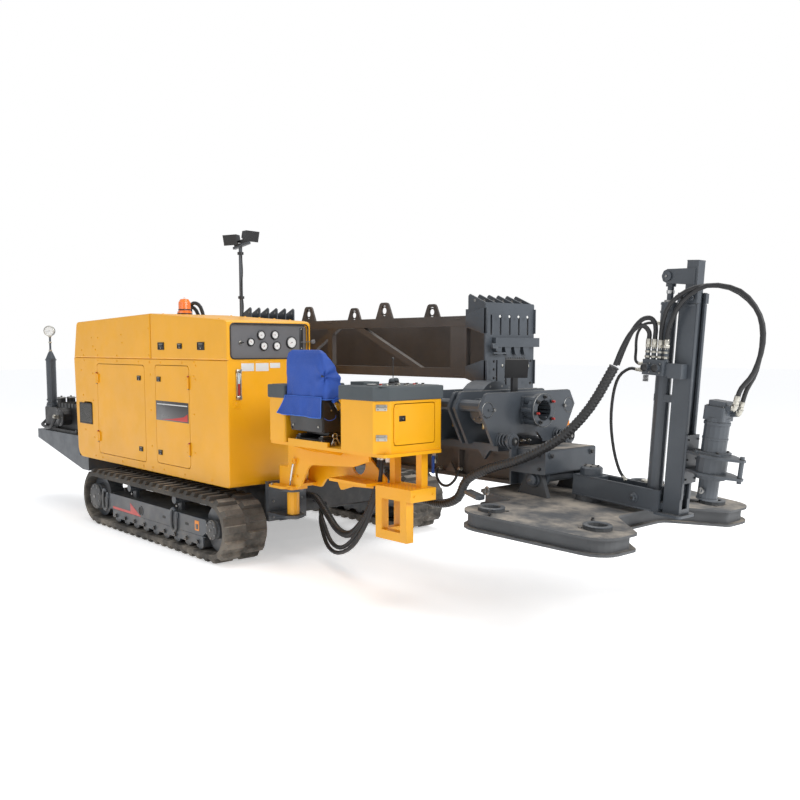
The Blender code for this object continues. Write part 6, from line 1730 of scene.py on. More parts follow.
@dataclass
class Tracks:
    """Fittings of both track frames."""

    right_face: float = -1.140
    left_face: float = 1.020
    skirt_inset: float = 0.004
    roller_start: float = -0.562
    roller_pitch: float = 0.17875
    rollers: int = 9
    hub_x: float = -0.98
    idler_x: float = 1.08
    axle_z: float = 0.25

    def build(self) -> None:
        """Build the same fittings on the right and on the left."""
        for side, face, way in (("right", self.right_face, -1), ("left", self.left_face, 1)):
            self._frame(side, face, way)
            self._hubs(side, face, way)
            self._hooks(side, face, way)
        self._wedge()

    def _frame(self, side: str, face: float, way: int) -> None:
        """Bolt the rollers on, give the beam its holes as flat dark plates of painted shade, and give it its
        edges.

        Args:
            side: Which track it is.
            face: Where the beam's outer face lies in y.
            way: 1 where outward is +y and -1 where it is -y.
        """
        piece = Shapes(f"track_{side}_bolts")
        out = Y * way
        for index in range(self.rollers):
            x = self.roller_start + self.roller_pitch * index
            spot = Vector((x, face - way * self.skirt_inset, 0.128))
            piece.rod(spot, spot + out * 0.003, 0.023, "slate_paint", 18)
            piece.rod(spot + out * 0.003, spot + out * 0.014, 0.0165, "black_paint", 6, 0.002)
            piece.lathe([(0.012, 0.0), (0.012, 0.004), (0.0075, 0.005), (0.0075, 0.001), (0, 0.001),
                         (0, 0)], spot + out * 0.013, out, "steel", 14)
        piece.lathe([(0.033, 0.0), (0.041, 0.0), (0.041, 0.0045), (0.036, 0.006), (0.033, 0.0045)],
                    (-0.080, face, 0.236), out, "slate_paint", 28)
        # Painted shade: the disc in the ring and the two slots are flat dark plates standing for the hollows
        # of holes.
        piece.rod((-0.080, face, 0.236), (-0.080, face + way * 0.001, 0.236), 0.033, "dark_parts_and_painted_shade", 24)
        for x in (0.328, 0.701):
            slot = rounded(((x - 0.026, 0.232, 0.0095), (x + 0.026, 0.232, 0.0095),
                            (x + 0.026, 0.253, 0.0095), (x - 0.026, 0.253, 0.0095)))
            low, high = sorted((face, face + way * 0.0012))
            piece.plate(slot, "y", low, high, "dark_parts_and_painted_shade", 0.0)
        low, high = sorted((face - way * 0.006, face + way * 0.003))
        piece.brick((-0.70, 0.985), (low, high), (0.3085, 0.3150), "slate_paint", 0.002)
        piece.brick((-0.70, 0.985), (low, high), (0.1750, 0.1810), "slate_paint", 0.002)
        for x in (-0.33, 0.47):
            for z in (0.345, 0.375):
                piece.rod((x, face - way * 0.05, z), (x, face - way * 0.035, z), 0.013, "steel", 6, 0.002)
        piece.finish("machine", "slate")

    def _hubs(self, side: str, face: float, way: int) -> None:
        """Ring the drive hub and the idler with their cover plates and bolts.

        Args:
            side: Which track it is.
            face: Where the beam's outer face lies in y.
            way: 1 where outward is +y and -1 where it is -y.
        """
        piece = Shapes(f"track_{side}_hubs")
        out = Y * way
        for x, radius, count in ((self.hub_x, 0.115, 9), (self.idler_x, 0.075, 6)):
            base = Vector((x, face + way * 0.002, self.axle_z))
            piece.lathe([(0, 0.012), (radius * 0.62, 0.012), (radius * 0.70, 0.007), (radius * 0.96, 0.006),
                         (radius, 0.0), (radius, -0.004), (0, -0.004)], base, out, "plate_paint", 40)
            for index in range(count):
                angle = math.tau * (index + 0.5) / count
                spot = base + Vector((math.cos(angle), 0, math.sin(angle))) * radius * 0.82 + out * 0.006
                piece.rod(spot, spot + out * 0.007, 0.0075, "steel", 6, 0.001)
            piece.rod(base + out * 0.012, base + out * 0.018, radius * 0.14, "steel", 6, 0.001)
        piece.finish("machine", "slate")

    def _hooks(self, side: str, face: float, way: int) -> None:
        """Weld the two lashing hooks, each a round bar bent like a paper clip, on the beam.

        Args:
            side: Which track it is.
            face: Where the beam's outer face lies in y.
            way: 1 where outward is +y and -1 where it is -y.
        """
        piece = Shapes(f"track_{side}_hooks")
        for x in (-0.768, 0.506):
            y = face + way * 0.0095
            route = [Vector((x + 0.030, y, 0.322)), Vector((x + 0.012, y + way * 0.001, 0.338)),
                     Vector((x - 0.020, y + way * 0.001, 0.330)), Vector((x - 0.036, y, 0.290)),
                     Vector((x - 0.042, y, 0.235)), Vector((x - 0.028, y, 0.178)),
                     Vector((x + 0.008, y, 0.158)), Vector((x + 0.040, y, 0.185)),
                     Vector((x + 0.046, y, 0.240)), Vector((x + 0.044, y - way * 0.003, 0.300))]
            piece.tube(route, 0.0125, "slate_paint", 12, 4)
            low, high = sorted((face, y))
            piece.brick((x + 0.024, x + 0.066), (low, high + 0.004 if way > 0 else high), (0.265, 0.318),
                        "slate_paint", 0.004)
            piece.brick((x - 0.012, x + 0.030), (low, high), (0.318, 0.346), "slate_paint", 0.004)
        piece.finish("machine", "slate")

    def _wedge(self) -> None:
        """Paint the red wedge and stick the blank amber tag on the right beam."""
        piece = Shapes("track_marks")
        y = self.right_face
        piece.plate(((-0.630, 0.205), (-0.277, 0.205), (-0.283, 0.278), (-0.083, 0.184), (-0.160, 0.183),
                     (-0.619, 0.184)), "y", y - 0.0012, y - 0.0001, "red_paint", 0.0)
        piece.plate(rounded(((0.826, 0.212, 0.006), (0.890, 0.212, 0.006), (0.890, 0.288, 0.006),
                             (0.826, 0.288, 0.006))), "y", y - 0.0014, y - 0.0001, "amber_tag", 0.0)
        piece.brick((0.838, 0.878), (y - 0.0019, y - 0.0013), (0.224, 0.262), "dark_plate", 0.0002)
        piece.finish("machine", "slate")


# Rod box, drill frame and vises

@dataclass
class RodBox:
    """Fittings of the rod box's end plates, chords and the frame under it."""

    front: float = 2.669
    near: float = 0.140
    far: float = 0.640
    pitch: float = 0.097

    def build(self) -> None:
        """Build the end plate's bolts, the chord gussets and the frame's small parts."""
        self._front_plate()
        self._gussets()
        self._frame()
        self._head()

    def _front_plate(self) -> None:
        """Bolt the front end plate and pin the rods' ends."""
        piece = Shapes("rod_box_end_fittings")
        for index in range(4):
            y = 0.19 + self.pitch * (index + 0.5)
            piece.lathe([(0, 0.004), (0.007, 0.004), (0.009, 0.0025), (0.0095, 0), (0, -0.001)],
                        (self.front, y, 1.812), X, "blank_plate", 14)
            for z in (1.735, 1.705):
                piece.rod((self.front, y, z), (self.front + 0.0012, y, z), 0.0045, "dark_parts_and_painted_shade", 10)
        for index in range(2):
            y = 0.25 + self.pitch * (index + 0.5)
            for z in (1.485, 1.425, 1.365):
                piece.rod((self.front, y, z), (self.front + 0.0035, y, z), 0.006,
                          "zinc" if z > 1.45 else "dark_parts_and_painted_shade", 10, 0.0008)
        for y, z in ((0.180, 1.50), (0.180, 1.445), (0.180, 1.385), (0.205, 1.565), (0.57, 1.50),
                     (0.57, 1.34)):
            piece.bolts([(self.front, y, z)], X, 0.0085, "black_paint")
        piece.brick((self.front, self.front + 0.020), (0.150, 0.205), (1.590, 1.625), "slate_paint", 0.004)
        piece.brick((self.front, self.front + 0.012), (0.168, 0.300), (1.552, 1.564), "slate_paint", 0.003)
        piece.rod((2.55, 0.700, 1.30), (2.55, 0.700, 1.845), 0.016, "slate_paint", 18, 0.002)
        for z in (1.38, 1.78):
            piece.brick((2.530, 2.570), (0.645, 0.716), (z - 0.014, z + 0.014), "slate_paint", 0.004)
        for index in range(6):
            y = self.near + 0.006 + index * self.pitch
            for tip in (-1, 1):
                middle = self.front - 0.145 if tip > 0 else -0.53 + 0.145
                piece.rod((middle, y - 0.0075, 1.925), (middle, y + 0.0075, 1.925), 0.011, "steel", 14)
        piece.finish("frame", "slate")

    def _gussets(self) -> None:
        """Weld the flared gussets where the near chords meet the end plate, and rub the chords' ends."""
        piece = Shapes("rod_box_gussets")
        for low, high in ((1.378, 1.463), (1.740, 1.825)):
            flare = ((2.44, low), (2.60, low - 0.045), (2.652, low - 0.045), (2.652, high + 0.045),
                     (2.60, high + 0.045), (2.44, high))
            for y in (self.near - 0.008, self.far + 0.001):
                piece.plate(flare, "y", y, y + 0.007, "slate_paint", 0.002)
        for x in (-0.30, 0.855, 2.36):
            for z in (1.396, 1.800):
                piece.tube([(x - 0.03 + 0.01 * i, self.near - 0.0005, z) for i in range(7)], 0.0035,
                           "truss_paint", 6, 1)
        for x in (0.53, 1.53):
            piece.ring((x, 0.165, 1.8815), Y, 0.030, 0.006, "truss_paint", 28, 6)
        for x in (0.60, 1.60):
            piece.ring((x, 0.615, 1.8815), Y, 0.030, 0.006, "truss_paint", 28, 6)
        piece.finish("frame", "truss_brown")

    def _frame(self) -> None:
        """Line the drill frame with its gussets, pipes and ball valve."""
        piece = Shapes("drill_frame_fittings")
        side = -0.2508
        for x in (0.9, 1.5, 2.1, 2.7):
            piece.plate(((x - 0.05, 0.775), (x + 0.05, 0.775), (x, 0.845)), "y", side - 0.020, side,
                        "truss_paint", 0.003)
        piece.plate(((2.93, 0.985), (3.09, 0.985), (3.01, 0.885)), "y", side - 0.030, side, "slate_paint",
                    0.004)
        for z in (0.93, 0.955):
            piece.tube([(0.5, side - 0.012, z), (1.4, side - 0.012, z), (2.35, side - 0.012, z)], 0.0085,
                       "steel", 10, 1)
        for x in (0.6, 1.4, 2.2):
            piece.brick((x - 0.02, x + 0.02), (side - 0.022, side), (0.915, 0.970), "slate_paint", 0.003)
        valve = Vector((2.555, side - 0.022, 0.865))
        piece.rod(valve + Z * 0.045, valve - Z * 0.048, 0.0150, "zinc", 16, 0.003)
        piece.rod(valve + Z * 0.020, valve - Z * 0.020, 0.0215, "zinc", 6, 0.003)
        piece.rod(valve + Z * 0.045, valve + Z * 0.085, 0.0085, "steel", 12)
        piece.rod(valve, valve - Y * 0.030, 0.0075, "zinc", 10)
        piece.brick((2.560, 2.584), (side - 0.060, side - 0.052), (0.752, 0.872), "blue_handle", 0.004)
        piece.brick((2.535, 2.575), (side - 0.012, side), (0.92, 0.965), "slate_paint", 0.003)
        piece.finish("frame", "truss_brown")

    def _head(self) -> None:
        """Fit hoses' ports, bolts and the motors' flange rings on the drill head and its spindle."""
        piece = Shapes("drill_head_fittings")
        for angle in range(0, 360, 45):
            out = Vector((0, math.cos(math.radians(angle + 22.5)), math.sin(math.radians(angle + 22.5))))
            piece.bolts([Vector((-0.58, 0, DRILL_LINE_Z)) + out * 0.100], X, 0.009, "steel")
        motor_z = 1.34
        for y in (-0.056, 0.056):
            piece.lathe([(0.052, 0), (0.056, 0.002), (0.056, 0.012), (0.052, 0.014)], (-1.14, y, motor_z),
                        -X, "slate_paint", 28)
            for turn in range(4):
                angle = math.radians(45 + 90 * turn)
                piece.bolts([(-1.140, y + 0.036 * math.cos(angle), motor_z + 0.036 * math.sin(angle))], -X,
                            0.006, "steel", False)
            for z in (1.375, 1.300):
                piece.rod((-1.05, y - math.copysign(0.045, -y), z),
                          (-1.05, y - math.copysign(0.072, -y), z), 0.012, "zinc", 6, 0.002)
        for x in (-0.95, -0.70):
            piece.bolts([(x, y, 1.43) for y in (-0.08, 0.08)], Z, 0.010, "steel")
        piece.finish("carriage", "slate")


@dataclass
class Vises:
    """Fittings of the two vises: bosses, pins, guide cage, springs, ports and lamp bracket."""

    face: float = 3.150
    line: float = DRILL_LINE_Z
    spring_z: float = 1.02
    ring_angles: tuple[int, ...] = (48, 132, 228, 312)

    def build(self) -> None:
        """Build the vises' fittings."""
        self._front()
        self._cage()
        self._springs()
        self._between()
        self._lamp()
        self._nose()
        self._breakout()

    def _front(self) -> None:
        """Put the slotted pins in their bosses and the bolts on the front plate."""
        piece = Shapes("vise_front_fittings")
        for y in (-0.400, 0.400):
            spot = Vector((self.face, y, 1.213))
            piece.lathe([(0, 0.0030), (0.044, 0.0030), (0.0475, 0.0), (0.0475, -0.001), (0, -0.001)], spot,
                        X, "slate_paint", 36)
            piece.lathe([(0.0475, 0.0), (0.050, 0.0), (0.0505, 0.0022), (0.0485, 0.0032), (0.0475, 0.0022)],
                        spot, X, "steel", 36)
            inward = -math.copysign(1, y)
            piece.brick((self.face, self.face + 0.011),
                        (min(y, y + inward * 0.058), max(y, y + inward * 0.058)), (1.206, 1.219),
                        "slate_paint", 0.003)
            piece.rod((self.face, y + inward * 0.052, 1.2125),
                      (self.face + 0.017, y + inward * 0.052, 1.2125), 0.0115, "steel", 6, 0.002)
        for sign_y in (-1, 1):
            for sign_z in (-1, 1):
                spot = Vector((self.face + 0.016, sign_y * 0.074, self.line + sign_z * 0.074))
                piece.rod(spot, spot + X * 0.004, 0.013, "slate_paint", 18)
                piece.rod(spot + X * 0.004, spot + X * 0.013, 0.0100, "black_paint", 6, 0.001)
        for x in (3.150, 2.930, 2.880, 2.672):
            piece.tube([(x - 0.011, -0.405 + 0.09 * i, 1.3165) for i in range(10)], 0.0020, "steel", 6, 1)
        piece.finish("frame", "slate")

    def _cage(self) -> None:
        """Make the rod guide's cage: four fat sleeves, the open ring and its capped bolts."""
        piece = Shapes("rod_guide_cage")
        for angle in (48, 132, 180, 228, 312, 0):
            a = math.radians(angle)
            out = Vector((0, math.cos(a), math.sin(a)))
            low = Vector((self.face + 0.012, 0, self.line)) + out * 0.088
            fat = 0.026 if angle in self.ring_angles else 0.020
            piece.rod(low, low + X * 0.088, fat, "slate_paint", 22, 0.002)
        piece.lathe([(0.067, 0.0), (0.106, 0.0), (0.108, 0.003), (0.108, 0.018), (0.104, 0.022),
                     (0.069, 0.022), (0.067, 0.019)], (3.2450, 0, self.line), X, "slate_paint", 44)
        piece.lathe([(0.1065, 0.0), (0.109, 0.001), (0.109, 0.003), (0.1065, 0.004)],
                    (3.2625, 0, self.line), X, "steel", 44)
        for index, angle in enumerate((40, 90, 140, 190, 240, 320)):
            a = math.radians(angle)
            spot = Vector((3.267, 0, self.line)) + Vector((0, math.cos(a), math.sin(a))) * 0.086
            piece.rod(spot, spot + X * 0.012, 0.0125, "black_paint", 6, 0.0015)
            if index in (0, 3, 5):
                piece.rod(spot + X * 0.011, spot + X * 0.033, 0.0080, "red_cap", 14, 0.003)
            else:
                piece.rod(spot + X * 0.011, spot + X * 0.024, 0.0070, "black_paint", 12, 0.001)
        piece.lathe([(0.0655, 0.0), (0.0665, 0.0), (0.0665, 0.10), (0.0655, 0.10)], (3.160, 0, self.line),
                    X, "chrome", 36)
        piece.finish("frame", "slate")

    def _springs(self) -> None:
        """Wind the two coil springs on their rods and cap their ends."""
        piece = Shapes("vise_springs")
        for y in (-0.28, 0.28):
            coil = helix(Vector((3.156, y, self.spring_z)), Vector((3.238, y, self.spring_z)), 0.038, 4.6)
            piece.add(sweep(coil, 0.0066, 8), "slate_paint")
            piece.lathe([(0, 0.010), (0.016, 0.010), (0.018, 0.006), (0.038, 0.005), (0.046, 0.001),
                         (0.046, -0.003), (0, -0.003)], (3.2620, y, self.spring_z), X, "slate_paint", 36)
            piece.lathe([(0.020, 0.0), (0.026, 0.0), (0.026, 0.012), (0.020, 0.012)],
                        (3.266, y, self.spring_z), X, "black_paint", 28)
            piece.rod((3.266, y, self.spring_z), (3.279, y, self.spring_z), 0.013, "steel", 6, 0.002)
            piece.lathe([(0.040, 0), (0.050, 0), (0.050, 0.006), (0.040, 0.006)],
                        (3.1505, y, self.spring_z), X, "slate_paint", 32)
        piece.finish("frame", "slate")

    def _between(self) -> None:
        """Fit brass elbows, jaw cylinders' caps, rings and small fittings between the plates."""
        piece = Shapes("vise_ports")
        for x in (2.775, 3.040):
            for sign in (-1, 1):
                elbow = Vector((x, sign * 0.295, 1.095))
                piece.rod(elbow, elbow + Vector((0, sign * 0.028, 0)), 0.0125, "brass", 6, 0.002)
                piece.rod(elbow + Vector((0, sign * 0.020, 0)), elbow + Vector((0, sign * 0.020, 0.034)),
                          0.0105, "brass", 12, 0.002)
                piece.rod(elbow + Vector((0.018, 0, -0.010)), elbow + Vector((0.034, sign * 0.012, -0.020)),
                          0.009, "brass", 10, 0.002)
        for sign in (-1, 1):
            piece.lathe([(0, 0.0), (0.076, 0.0), (0.079, 0.004), (0.079, 0.018), (0.074, 0.022), (0, 0.022)],
                        (3.035, sign * 0.340, self.line), Y * sign, "slate_paint", 32)
            for turn in range(6):
                angle = math.tau * turn / 6
                spot = Vector((3.035 + 0.060 * math.cos(angle), sign * 0.362,
                               self.line + 0.060 * math.sin(angle)))
                piece.bolts([spot], Y * sign, 0.0065, "steel", False)
        for sign in (-1, 1):
            for x in (3.149, 2.671):
                piece.lathe([(0.0365, 0), (0.043, 0.0), (0.043, 0.006), (0.0365, 0.008)],
                            (x - 0.031, sign * 0.40, 1.235), -X, "steel", 28)
        for y in (-0.030, 0.025):
            piece.rod((3.10, y, 0.998), (3.128, y, 0.998), 0.0105, "zinc", 6, 0.001)
            piece.rod((3.128, y, 0.998), (3.140, y, 0.998), 0.0065, "chrome", 12, 0.001)
        piece.finish("frame", "slate")
        tag = Shapes("vise_tag")
        tag.brick((3.128, 3.1295), (0.392, 0.440), (1.025, 1.105), "amber_tag", 0.0004)
        tag.rod((3.1285, 0.416, 1.103), (3.1285, 0.400, 1.145), 0.0012, "steel", 6)
        tag.finish("frame", "slate")

    def _lamp(self) -> None:
        """Cool the work lamp with ribs and hang it in its zinc yoke."""
        piece = Shapes("vise_lamp_fittings")
        ahead = Vector((0.75, -0.62, -0.35)).normalized()
        side = Z.cross(ahead).normalized()
        up = ahead.cross(side)
        turn = Matrix((ahead, side, up)).transposed().to_4x4()
        place = Matrix.Translation((3.05, -0.03, 1.475)) @ turn
        for index in range(9):
            v = -0.060 + index * 0.015
            piece.brick((-0.052, -0.030), (v - 0.0018, v + 0.0018), (-0.050, 0.050), "black_plastic", 0.001,
                        place)
        piece.finish("frame", "black")
        yoke = Shapes("vise_lamp_yoke")
        yoke.brick((2.998, 3.022), (-0.022, 0.032), (1.281, 1.287), "zinc", 0.002)
        yoke.bolts([(3.035, 0.005, 1.281), (2.985, 0.005, 1.281)], Z, 0.009, "zinc")
        for sign in (-1, 1):
            base = place @ Vector((-0.005, sign * 0.079, 0.0))
            yoke.rod(base, place @ Vector((-0.005, sign * 0.088, 0.0)), 0.010, "zinc", 6, 0.001)
        yoke.rod((3.012, 0.005, 1.40), (3.012, 0.005, 1.452), 0.010, "zinc", 12, 0.002)
        yoke.finish("frame", "steel")

    def _nose(self) -> None:
        """Pin the frame's nose to the plate with big bolt heads and lay dust on its lid."""
        piece = Shapes("nose_fittings")
        piece.brick((3.207, 3.478), (-0.242, 0.242), (0.9752, 0.9775), "plate_paint", 0.001)
        for sign in (-1, 1):
            for x, z in ((3.245, 0.945), (3.440, 0.945), (3.440, 0.862)):
                piece.bolts([(x, sign * 0.2505, z)], Y * sign, 0.010, "black_paint")
        for y in (-0.20, 0.20):
            spot = Vector((3.4853, y, 0.945))
            piece.rod(spot, spot + X * 0.006, 0.020, "slate_paint", 22, 0.001)
            piece.rod(spot + X * 0.006, spot + X * 0.018, 0.0135, "black_paint", 6, 0.002)
        piece.lathe([(0, 0.0), (0.036, 0.0), (0.036, 0.010), (0.031, 0.013), (0, 0.013)],
                    (3.37, -0.2355, 0.79), -Y, "slate_paint", 32)
        piece.lathe([(0, 0.0), (0.036, 0.0), (0.036, 0.010), (0.031, 0.013), (0, 0.013)],
                    (3.37, 0.2355, 0.79), Y, "slate_paint", 32)
        piece.finish("frame", "slate")

    def _breakout(self) -> None:
        """Ring the turning vise with bolts and cap its side bosses."""
        piece = Shapes("breakout_fittings")
        for x, way in ((2.673, 1), (2.857, -1)):
            for index in range(8):
                angle = math.tau * (index + 0.5) / 8
                spot = Vector((x - 0.0005 * way, 0.150 * math.cos(angle),
                               self.line + 0.150 * math.sin(angle)))
                piece.rod(spot, spot + X * way * 0.0008, 0.009, "steel", 6)
        for sign in (-1, 1):
            piece.lathe([(0, 0.0), (0.050, 0.0), (0.054, 0.003), (0.054, 0.010), (0, 0.010)],
                        (2.747, sign * 0.235, self.line), Y * sign, "slate_paint", 28)
            piece.bolts([(2.747, sign * 0.245, self.line)], Y * sign, 0.012, "steel")
        piece.finish("breakout", "slate")


# Anchor plate, mast and auger

@dataclass
class Anchor:
    """Fittings of the stake-down plate, its swinging mast and the auger motor, in the plate's frame."""

    top: float = -0.10
    post_x: float = 0.266
    circle: float = 0.759
    angles: tuple[float, float] = (50.5, 99.4)
    mast_x: float = 0.851
    feed_x: float = 0.708
    mast_top: float = 1.157
    eye_z: float = 1.242

    def build(self) -> None:
        """Build the plate's, the mast's and the auger's fittings."""
        self._plate()
        self._arm()
        self._mast()
        self._valve()
        self._auger()

    def _plate(self) -> None:
        """Ring the stake holes, lay their latches and the hinge's washers."""
        piece = Shapes("plate_fittings", PLATE)
        for angle in self.angles:
            for sign in (-1, 1):
                x = self.post_x + self.circle * math.cos(math.radians(angle))
                y = sign * self.circle * math.sin(math.radians(angle))
                spot = Vector((x, y, self.top + 0.018))
                piece.lathe([(0.0525, 0.0), (0.0785, 0.0), (0.0785, 0.004), (0.074, 0.007), (0.057, 0.007),
                             (0.0525, 0.003)], spot, Z, "slate_paint", 40)
                way = Vector((0.62, 0.78 * sign, 0)) if angle > 90 else Vector((-0.72, -0.69 * sign, 0))
                start = spot + way * 0.078 - Z * 0.006
                piece.rod(start, start + way * 0.075, 0.0095, "black_paint", 14, 0.002)
                piece.rod(start + way * 0.062 - Z * 0.010, start + way * 0.062 + Z * 0.018, 0.0075,
                          "black_paint", 12, 0.002)
                piece.rod((x - 0.09 * way.y, y + 0.09 * way.x, self.top),
                          (x - 0.09 * way.y, y + 0.09 * way.x, self.top + 0.006), 0.010, "steel", 6, 0.001)
        for sign in (-1, 1):
            rib = rounded(((-0.255, 0.500, 0.0), (-0.075, 0.565, 0.025), (-0.062, 0.640, 0.02),
                           (-0.255, 0.560, 0.0)))
            piece.plate([(x, sign * y) for x, y in rib], "z", self.top, self.top + 0.026, "slate_paint",
                        0.004)
            face = sign * 0.2125
            spot = Vector((0, face, 0))
            piece.lathe([(0, 0.0), (0.046, 0.0), (0.046, 0.012), (0.041, 0.016), (0.032, 0.016),
                         (0.032, 0.024), (0.028, 0.028), (0, 0.028)], spot, Y * sign, "slate_paint", 36)
            piece.rod(spot + Y * sign * 0.027, spot + Y * sign * 0.036, 0.014, "steel", 6, 0.002)
            for x in (-0.118, 0.098):
                piece.tube([Vector((x, face - sign * 0.002, self.top + 0.004)) + X * 0.003 * i
                            for i in range(3)], 0.004, "slate_paint", 6, 1)
        piece.finish("plate", "slate")
        eye = Shapes("plate_shackle", PLATE)
        eye.ring((-0.150, -0.470, self.top + 0.030), (0.3, 1, 0), 0.022, 0.006, "steel", 24, 8)
        eye.rod((-0.172, -0.470, self.top), (-0.172, -0.470, self.top + 0.010), 0.010, "steel", 12)
        eye.finish("plate", "steel")

    def _arm(self) -> None:
        """Edge the mast's arm, bolt its post cap and its pin."""
        piece = Shapes("arm_fittings", PLATE)
        low, high = -0.070, 0.055
        for sign in (-1, 1):
            y = sign * 0.078
            piece.brick((0.20, 0.745), sorted((y, y + sign * 0.006)), (low + 0.0005, low + 0.010),
                        "slate_paint", 0.002)
            piece.brick((0.20, 0.745), sorted((y, y + sign * 0.003)), (high - 0.006, high + 0.003),
                        "slate_paint", 0.0015)
            spot = Vector((0.625, y, -0.010))
            piece.lathe([(0, 0.0), (0.028, 0.0), (0.028, 0.006), (0.018, 0.009), (0.018, 0.020),
                         (0.014, 0.024), (0, 0.024)], spot, Y * sign, "slate_paint", 28)
            piece.rod(spot + Y * sign * 0.023, spot + Y * sign * 0.027, 0.007, "dark_parts_and_painted_shade", 6)
        cap = Vector((self.post_x, 0, 0.106))
        piece.lathe([(0, 0.003), (0.050, 0.003), (0.052, 0.0), (0, 0.0)], cap, Z, "plate_paint", 36)
        for index in range(6):
            angle = math.tau * index / 6
            spot = cap + Vector((0.043 * math.cos(angle), 0.043 * math.sin(angle), 0.002))
            piece.rod(spot, spot + Z * 0.006, 0.0070, "black_paint", 6, 0.001)
        for index in range(14):
            x = 0.37 + 0.012 * index
            piece.rod((x, -0.059, low + 0.020), (x, -0.0585, low + 0.060), 0.0012, "slate_paint", 6)
        piece.finish("mast", "slate")

    def _mast(self) -> None:
        """Edge the mast's channel, clamp its head and pin the feed rod's eye."""
        piece = Shapes("mast_fittings", PLATE)
        half = 0.052
        head = self.mast_top - 0.031
        for sign in (-1, 1):
            piece.brick((self.mast_x + half - 0.001, self.mast_x + half + 0.0045),
                        sorted((sign * 0.0275, sign * 0.0505)), (0.02, self.mast_top - 0.062),
                        "slate_paint", 0.002)
            piece.brick((self.mast_x - half, self.mast_x + half - 0.004),
                        sorted((sign * half, sign * (half + 0.003))),
                        (self.mast_top - 0.075, self.mast_top - 0.060), "slate_paint", 0.001)
            for x in (self.mast_x - 0.035, self.mast_x + 0.035):
                piece.bolts([(x, sign * 0.062, head)], Y * sign, 0.0085, "black_paint")
        piece.rod((self.mast_x + 0.025, -0.074, head), (self.mast_x + 0.025, -0.062, head), 0.016,
                  "slate_paint", 18, 0.002)
        for z in (1.085, 1.040):
            piece.lathe([(0.0445, 0.0), (0.0475, 0.001), (0.0475, 0.013), (0.0445, 0.014)],
                        (self.feed_x, 0, z), Z, "slate_paint", 32)
        piece.lathe([(0.0190, 0.0), (0.031, 0.0), (0.029, 0.010), (0.0190, 0.010)], (self.feed_x, 0, 1.103),
                    Z, "steel", 28)
        for z in (0.985, 0.080):
            port = Vector((self.feed_x - 0.043, 0, z))
            piece.rod(port, port - X * 0.020, 0.013, "zinc", 6, 0.002)
            piece.rod(port - X * 0.018, port - X * 0.045, 0.0085, "zinc", 12, 0.002)
        piece.finish("mast", "slate")
        slide = Shapes("slide_fittings", PLATE)
        for sign in (-1, 1):
            slide.lathe([(0, 0.0), (0.026, 0.0), (0.026, 0.005), (0.021, 0.008), (0, 0.008)],
                        (self.feed_x, sign * 0.047, self.eye_z), Y * sign, "slate_paint", 28)
            slide.rod((self.feed_x, sign * 0.055, self.eye_z), (self.feed_x, sign * 0.062, self.eye_z),
                      0.008, "steel", 6, 0.001)
        slide.lathe([(0.0186, 0.0), (0.0225, 0.0), (0.0225, 0.018), (0.0186, 0.018)],
                    (self.feed_x, 0, 1.149), Z, "chrome", 24)
        slide.brick((self.mast_x - 0.0355, self.mast_x + 0.0355), (-0.0355, 0.0355), (1.322, 1.3295),
                    "slate_paint", 0.002)
        for sign in (-1, 1):
            for z in (0.14, 0.25, 0.36):
                slide.bolts([(0.911 + 0.012, sign * 0.048, z)], X, 0.007, "black_paint", False)
        slide.finish("slide", "slate")

    def _valve(self) -> None:
        """Cap the valve's levers and screw its fittings in."""
        piece = Shapes("valve_fittings", PLATE)
        for index in range(4):
            x = 0.663 + 0.038 * index
            for z, size in ((0.0, 0.0165), (0.028, 0.0150), (0.048, 0.0135)):
                piece.rod((x, -0.107, 0.793 + z), (x, -0.107, 0.806 + z), size, "zinc", 6, 0.002)
        for x in (self.feed_x - 0.030, self.feed_x + 0.035):
            spot = Vector((x, -0.160, 0.740))
            piece.lathe([(0, 0.010), (0.012, 0.009), (0.019, 0.004), (0.022, 0.0), (0, 0.0)], spot, -Y,
                        "black_paint", 26)
            for z in (0.716, 0.764):
                piece.bolts([(x + 0.020, -0.1352, z)], -Y, 0.0055, "steel", False)
        for z in (0.722, 0.756):
            start = Vector((0.648, -0.107, z))
            piece.rod(start, start - X * 0.020, 0.0125, "zinc", 6, 0.002)
            piece.rod(start - X * 0.018, start - X * 0.040, 0.0095, "zinc", 14, 0.002)
        for index in range(5):
            z = 0.694 - 0.0075 * index
            piece.ring((0.668, -0.118, z), Z, 0.014, 0.0024, "black_paint", 20, 6)
        piece.finish("mast", "slate")

    def _auger(self) -> None:
        """Bolt the auger motor's flanges, its ports and the drive pin."""
        piece = Shapes("auger_fittings", AUGER)
        for index in range(8):
            angle = math.tau * (index + 0.5) / 8
            out = Vector((math.cos(angle), math.sin(angle), 0))
            piece.bolts([out * 0.073 + Z * 0.4005], Z, 0.006, "black_paint", False)
        for x in (-0.055, 0.055):
            for y in (-0.055, 0.055):
                piece.bolts([(x, y, 0.413)], Z, 0.0085, "black_paint")
        for x in (-0.046, 0.046):
            for y in (-0.046, 0.046):
                piece.bolts([(x, y, 0.660)], Z, 0.0065, "steel", False)
        piece.lathe([(0.0665, 0.0), (0.070, 0.001), (0.070, 0.016), (0.0665, 0.017)], (0, 0, 0.560), Z,
                    "slate_paint", 36)
        piece.lathe([(0.0665, 0.0), (0.0685, 0.001), (0.0685, 0.010), (0.0665, 0.011)], (0, 0, 0.480), Z,
                    "slate_paint", 36)
        for z in (0.299, 0.399):
            piece.bolts([(0.168, 0, z)], Z, 0.012, "black_paint")
        for sign, z in ((-1, 0.662), (1, 0.632)):
            start = Vector((0.085, sign * 0.030, z))
            piece.rod(start, start + X * 0.018, 0.0160, "zinc", 6, 0.002)
            piece.tube([start + X * 0.004, start + X * 0.013, start + Vector((0.018, 0, 0.008)),
                        start + Vector((0.018, 0, 0.028))], 0.0125, "zinc", 12, 3)
            piece.rod(start + Vector((0.018, 0, 0.014)), start + Vector((0.018, 0, 0.027)), 0.0165, "zinc",
                      6, 0.002)
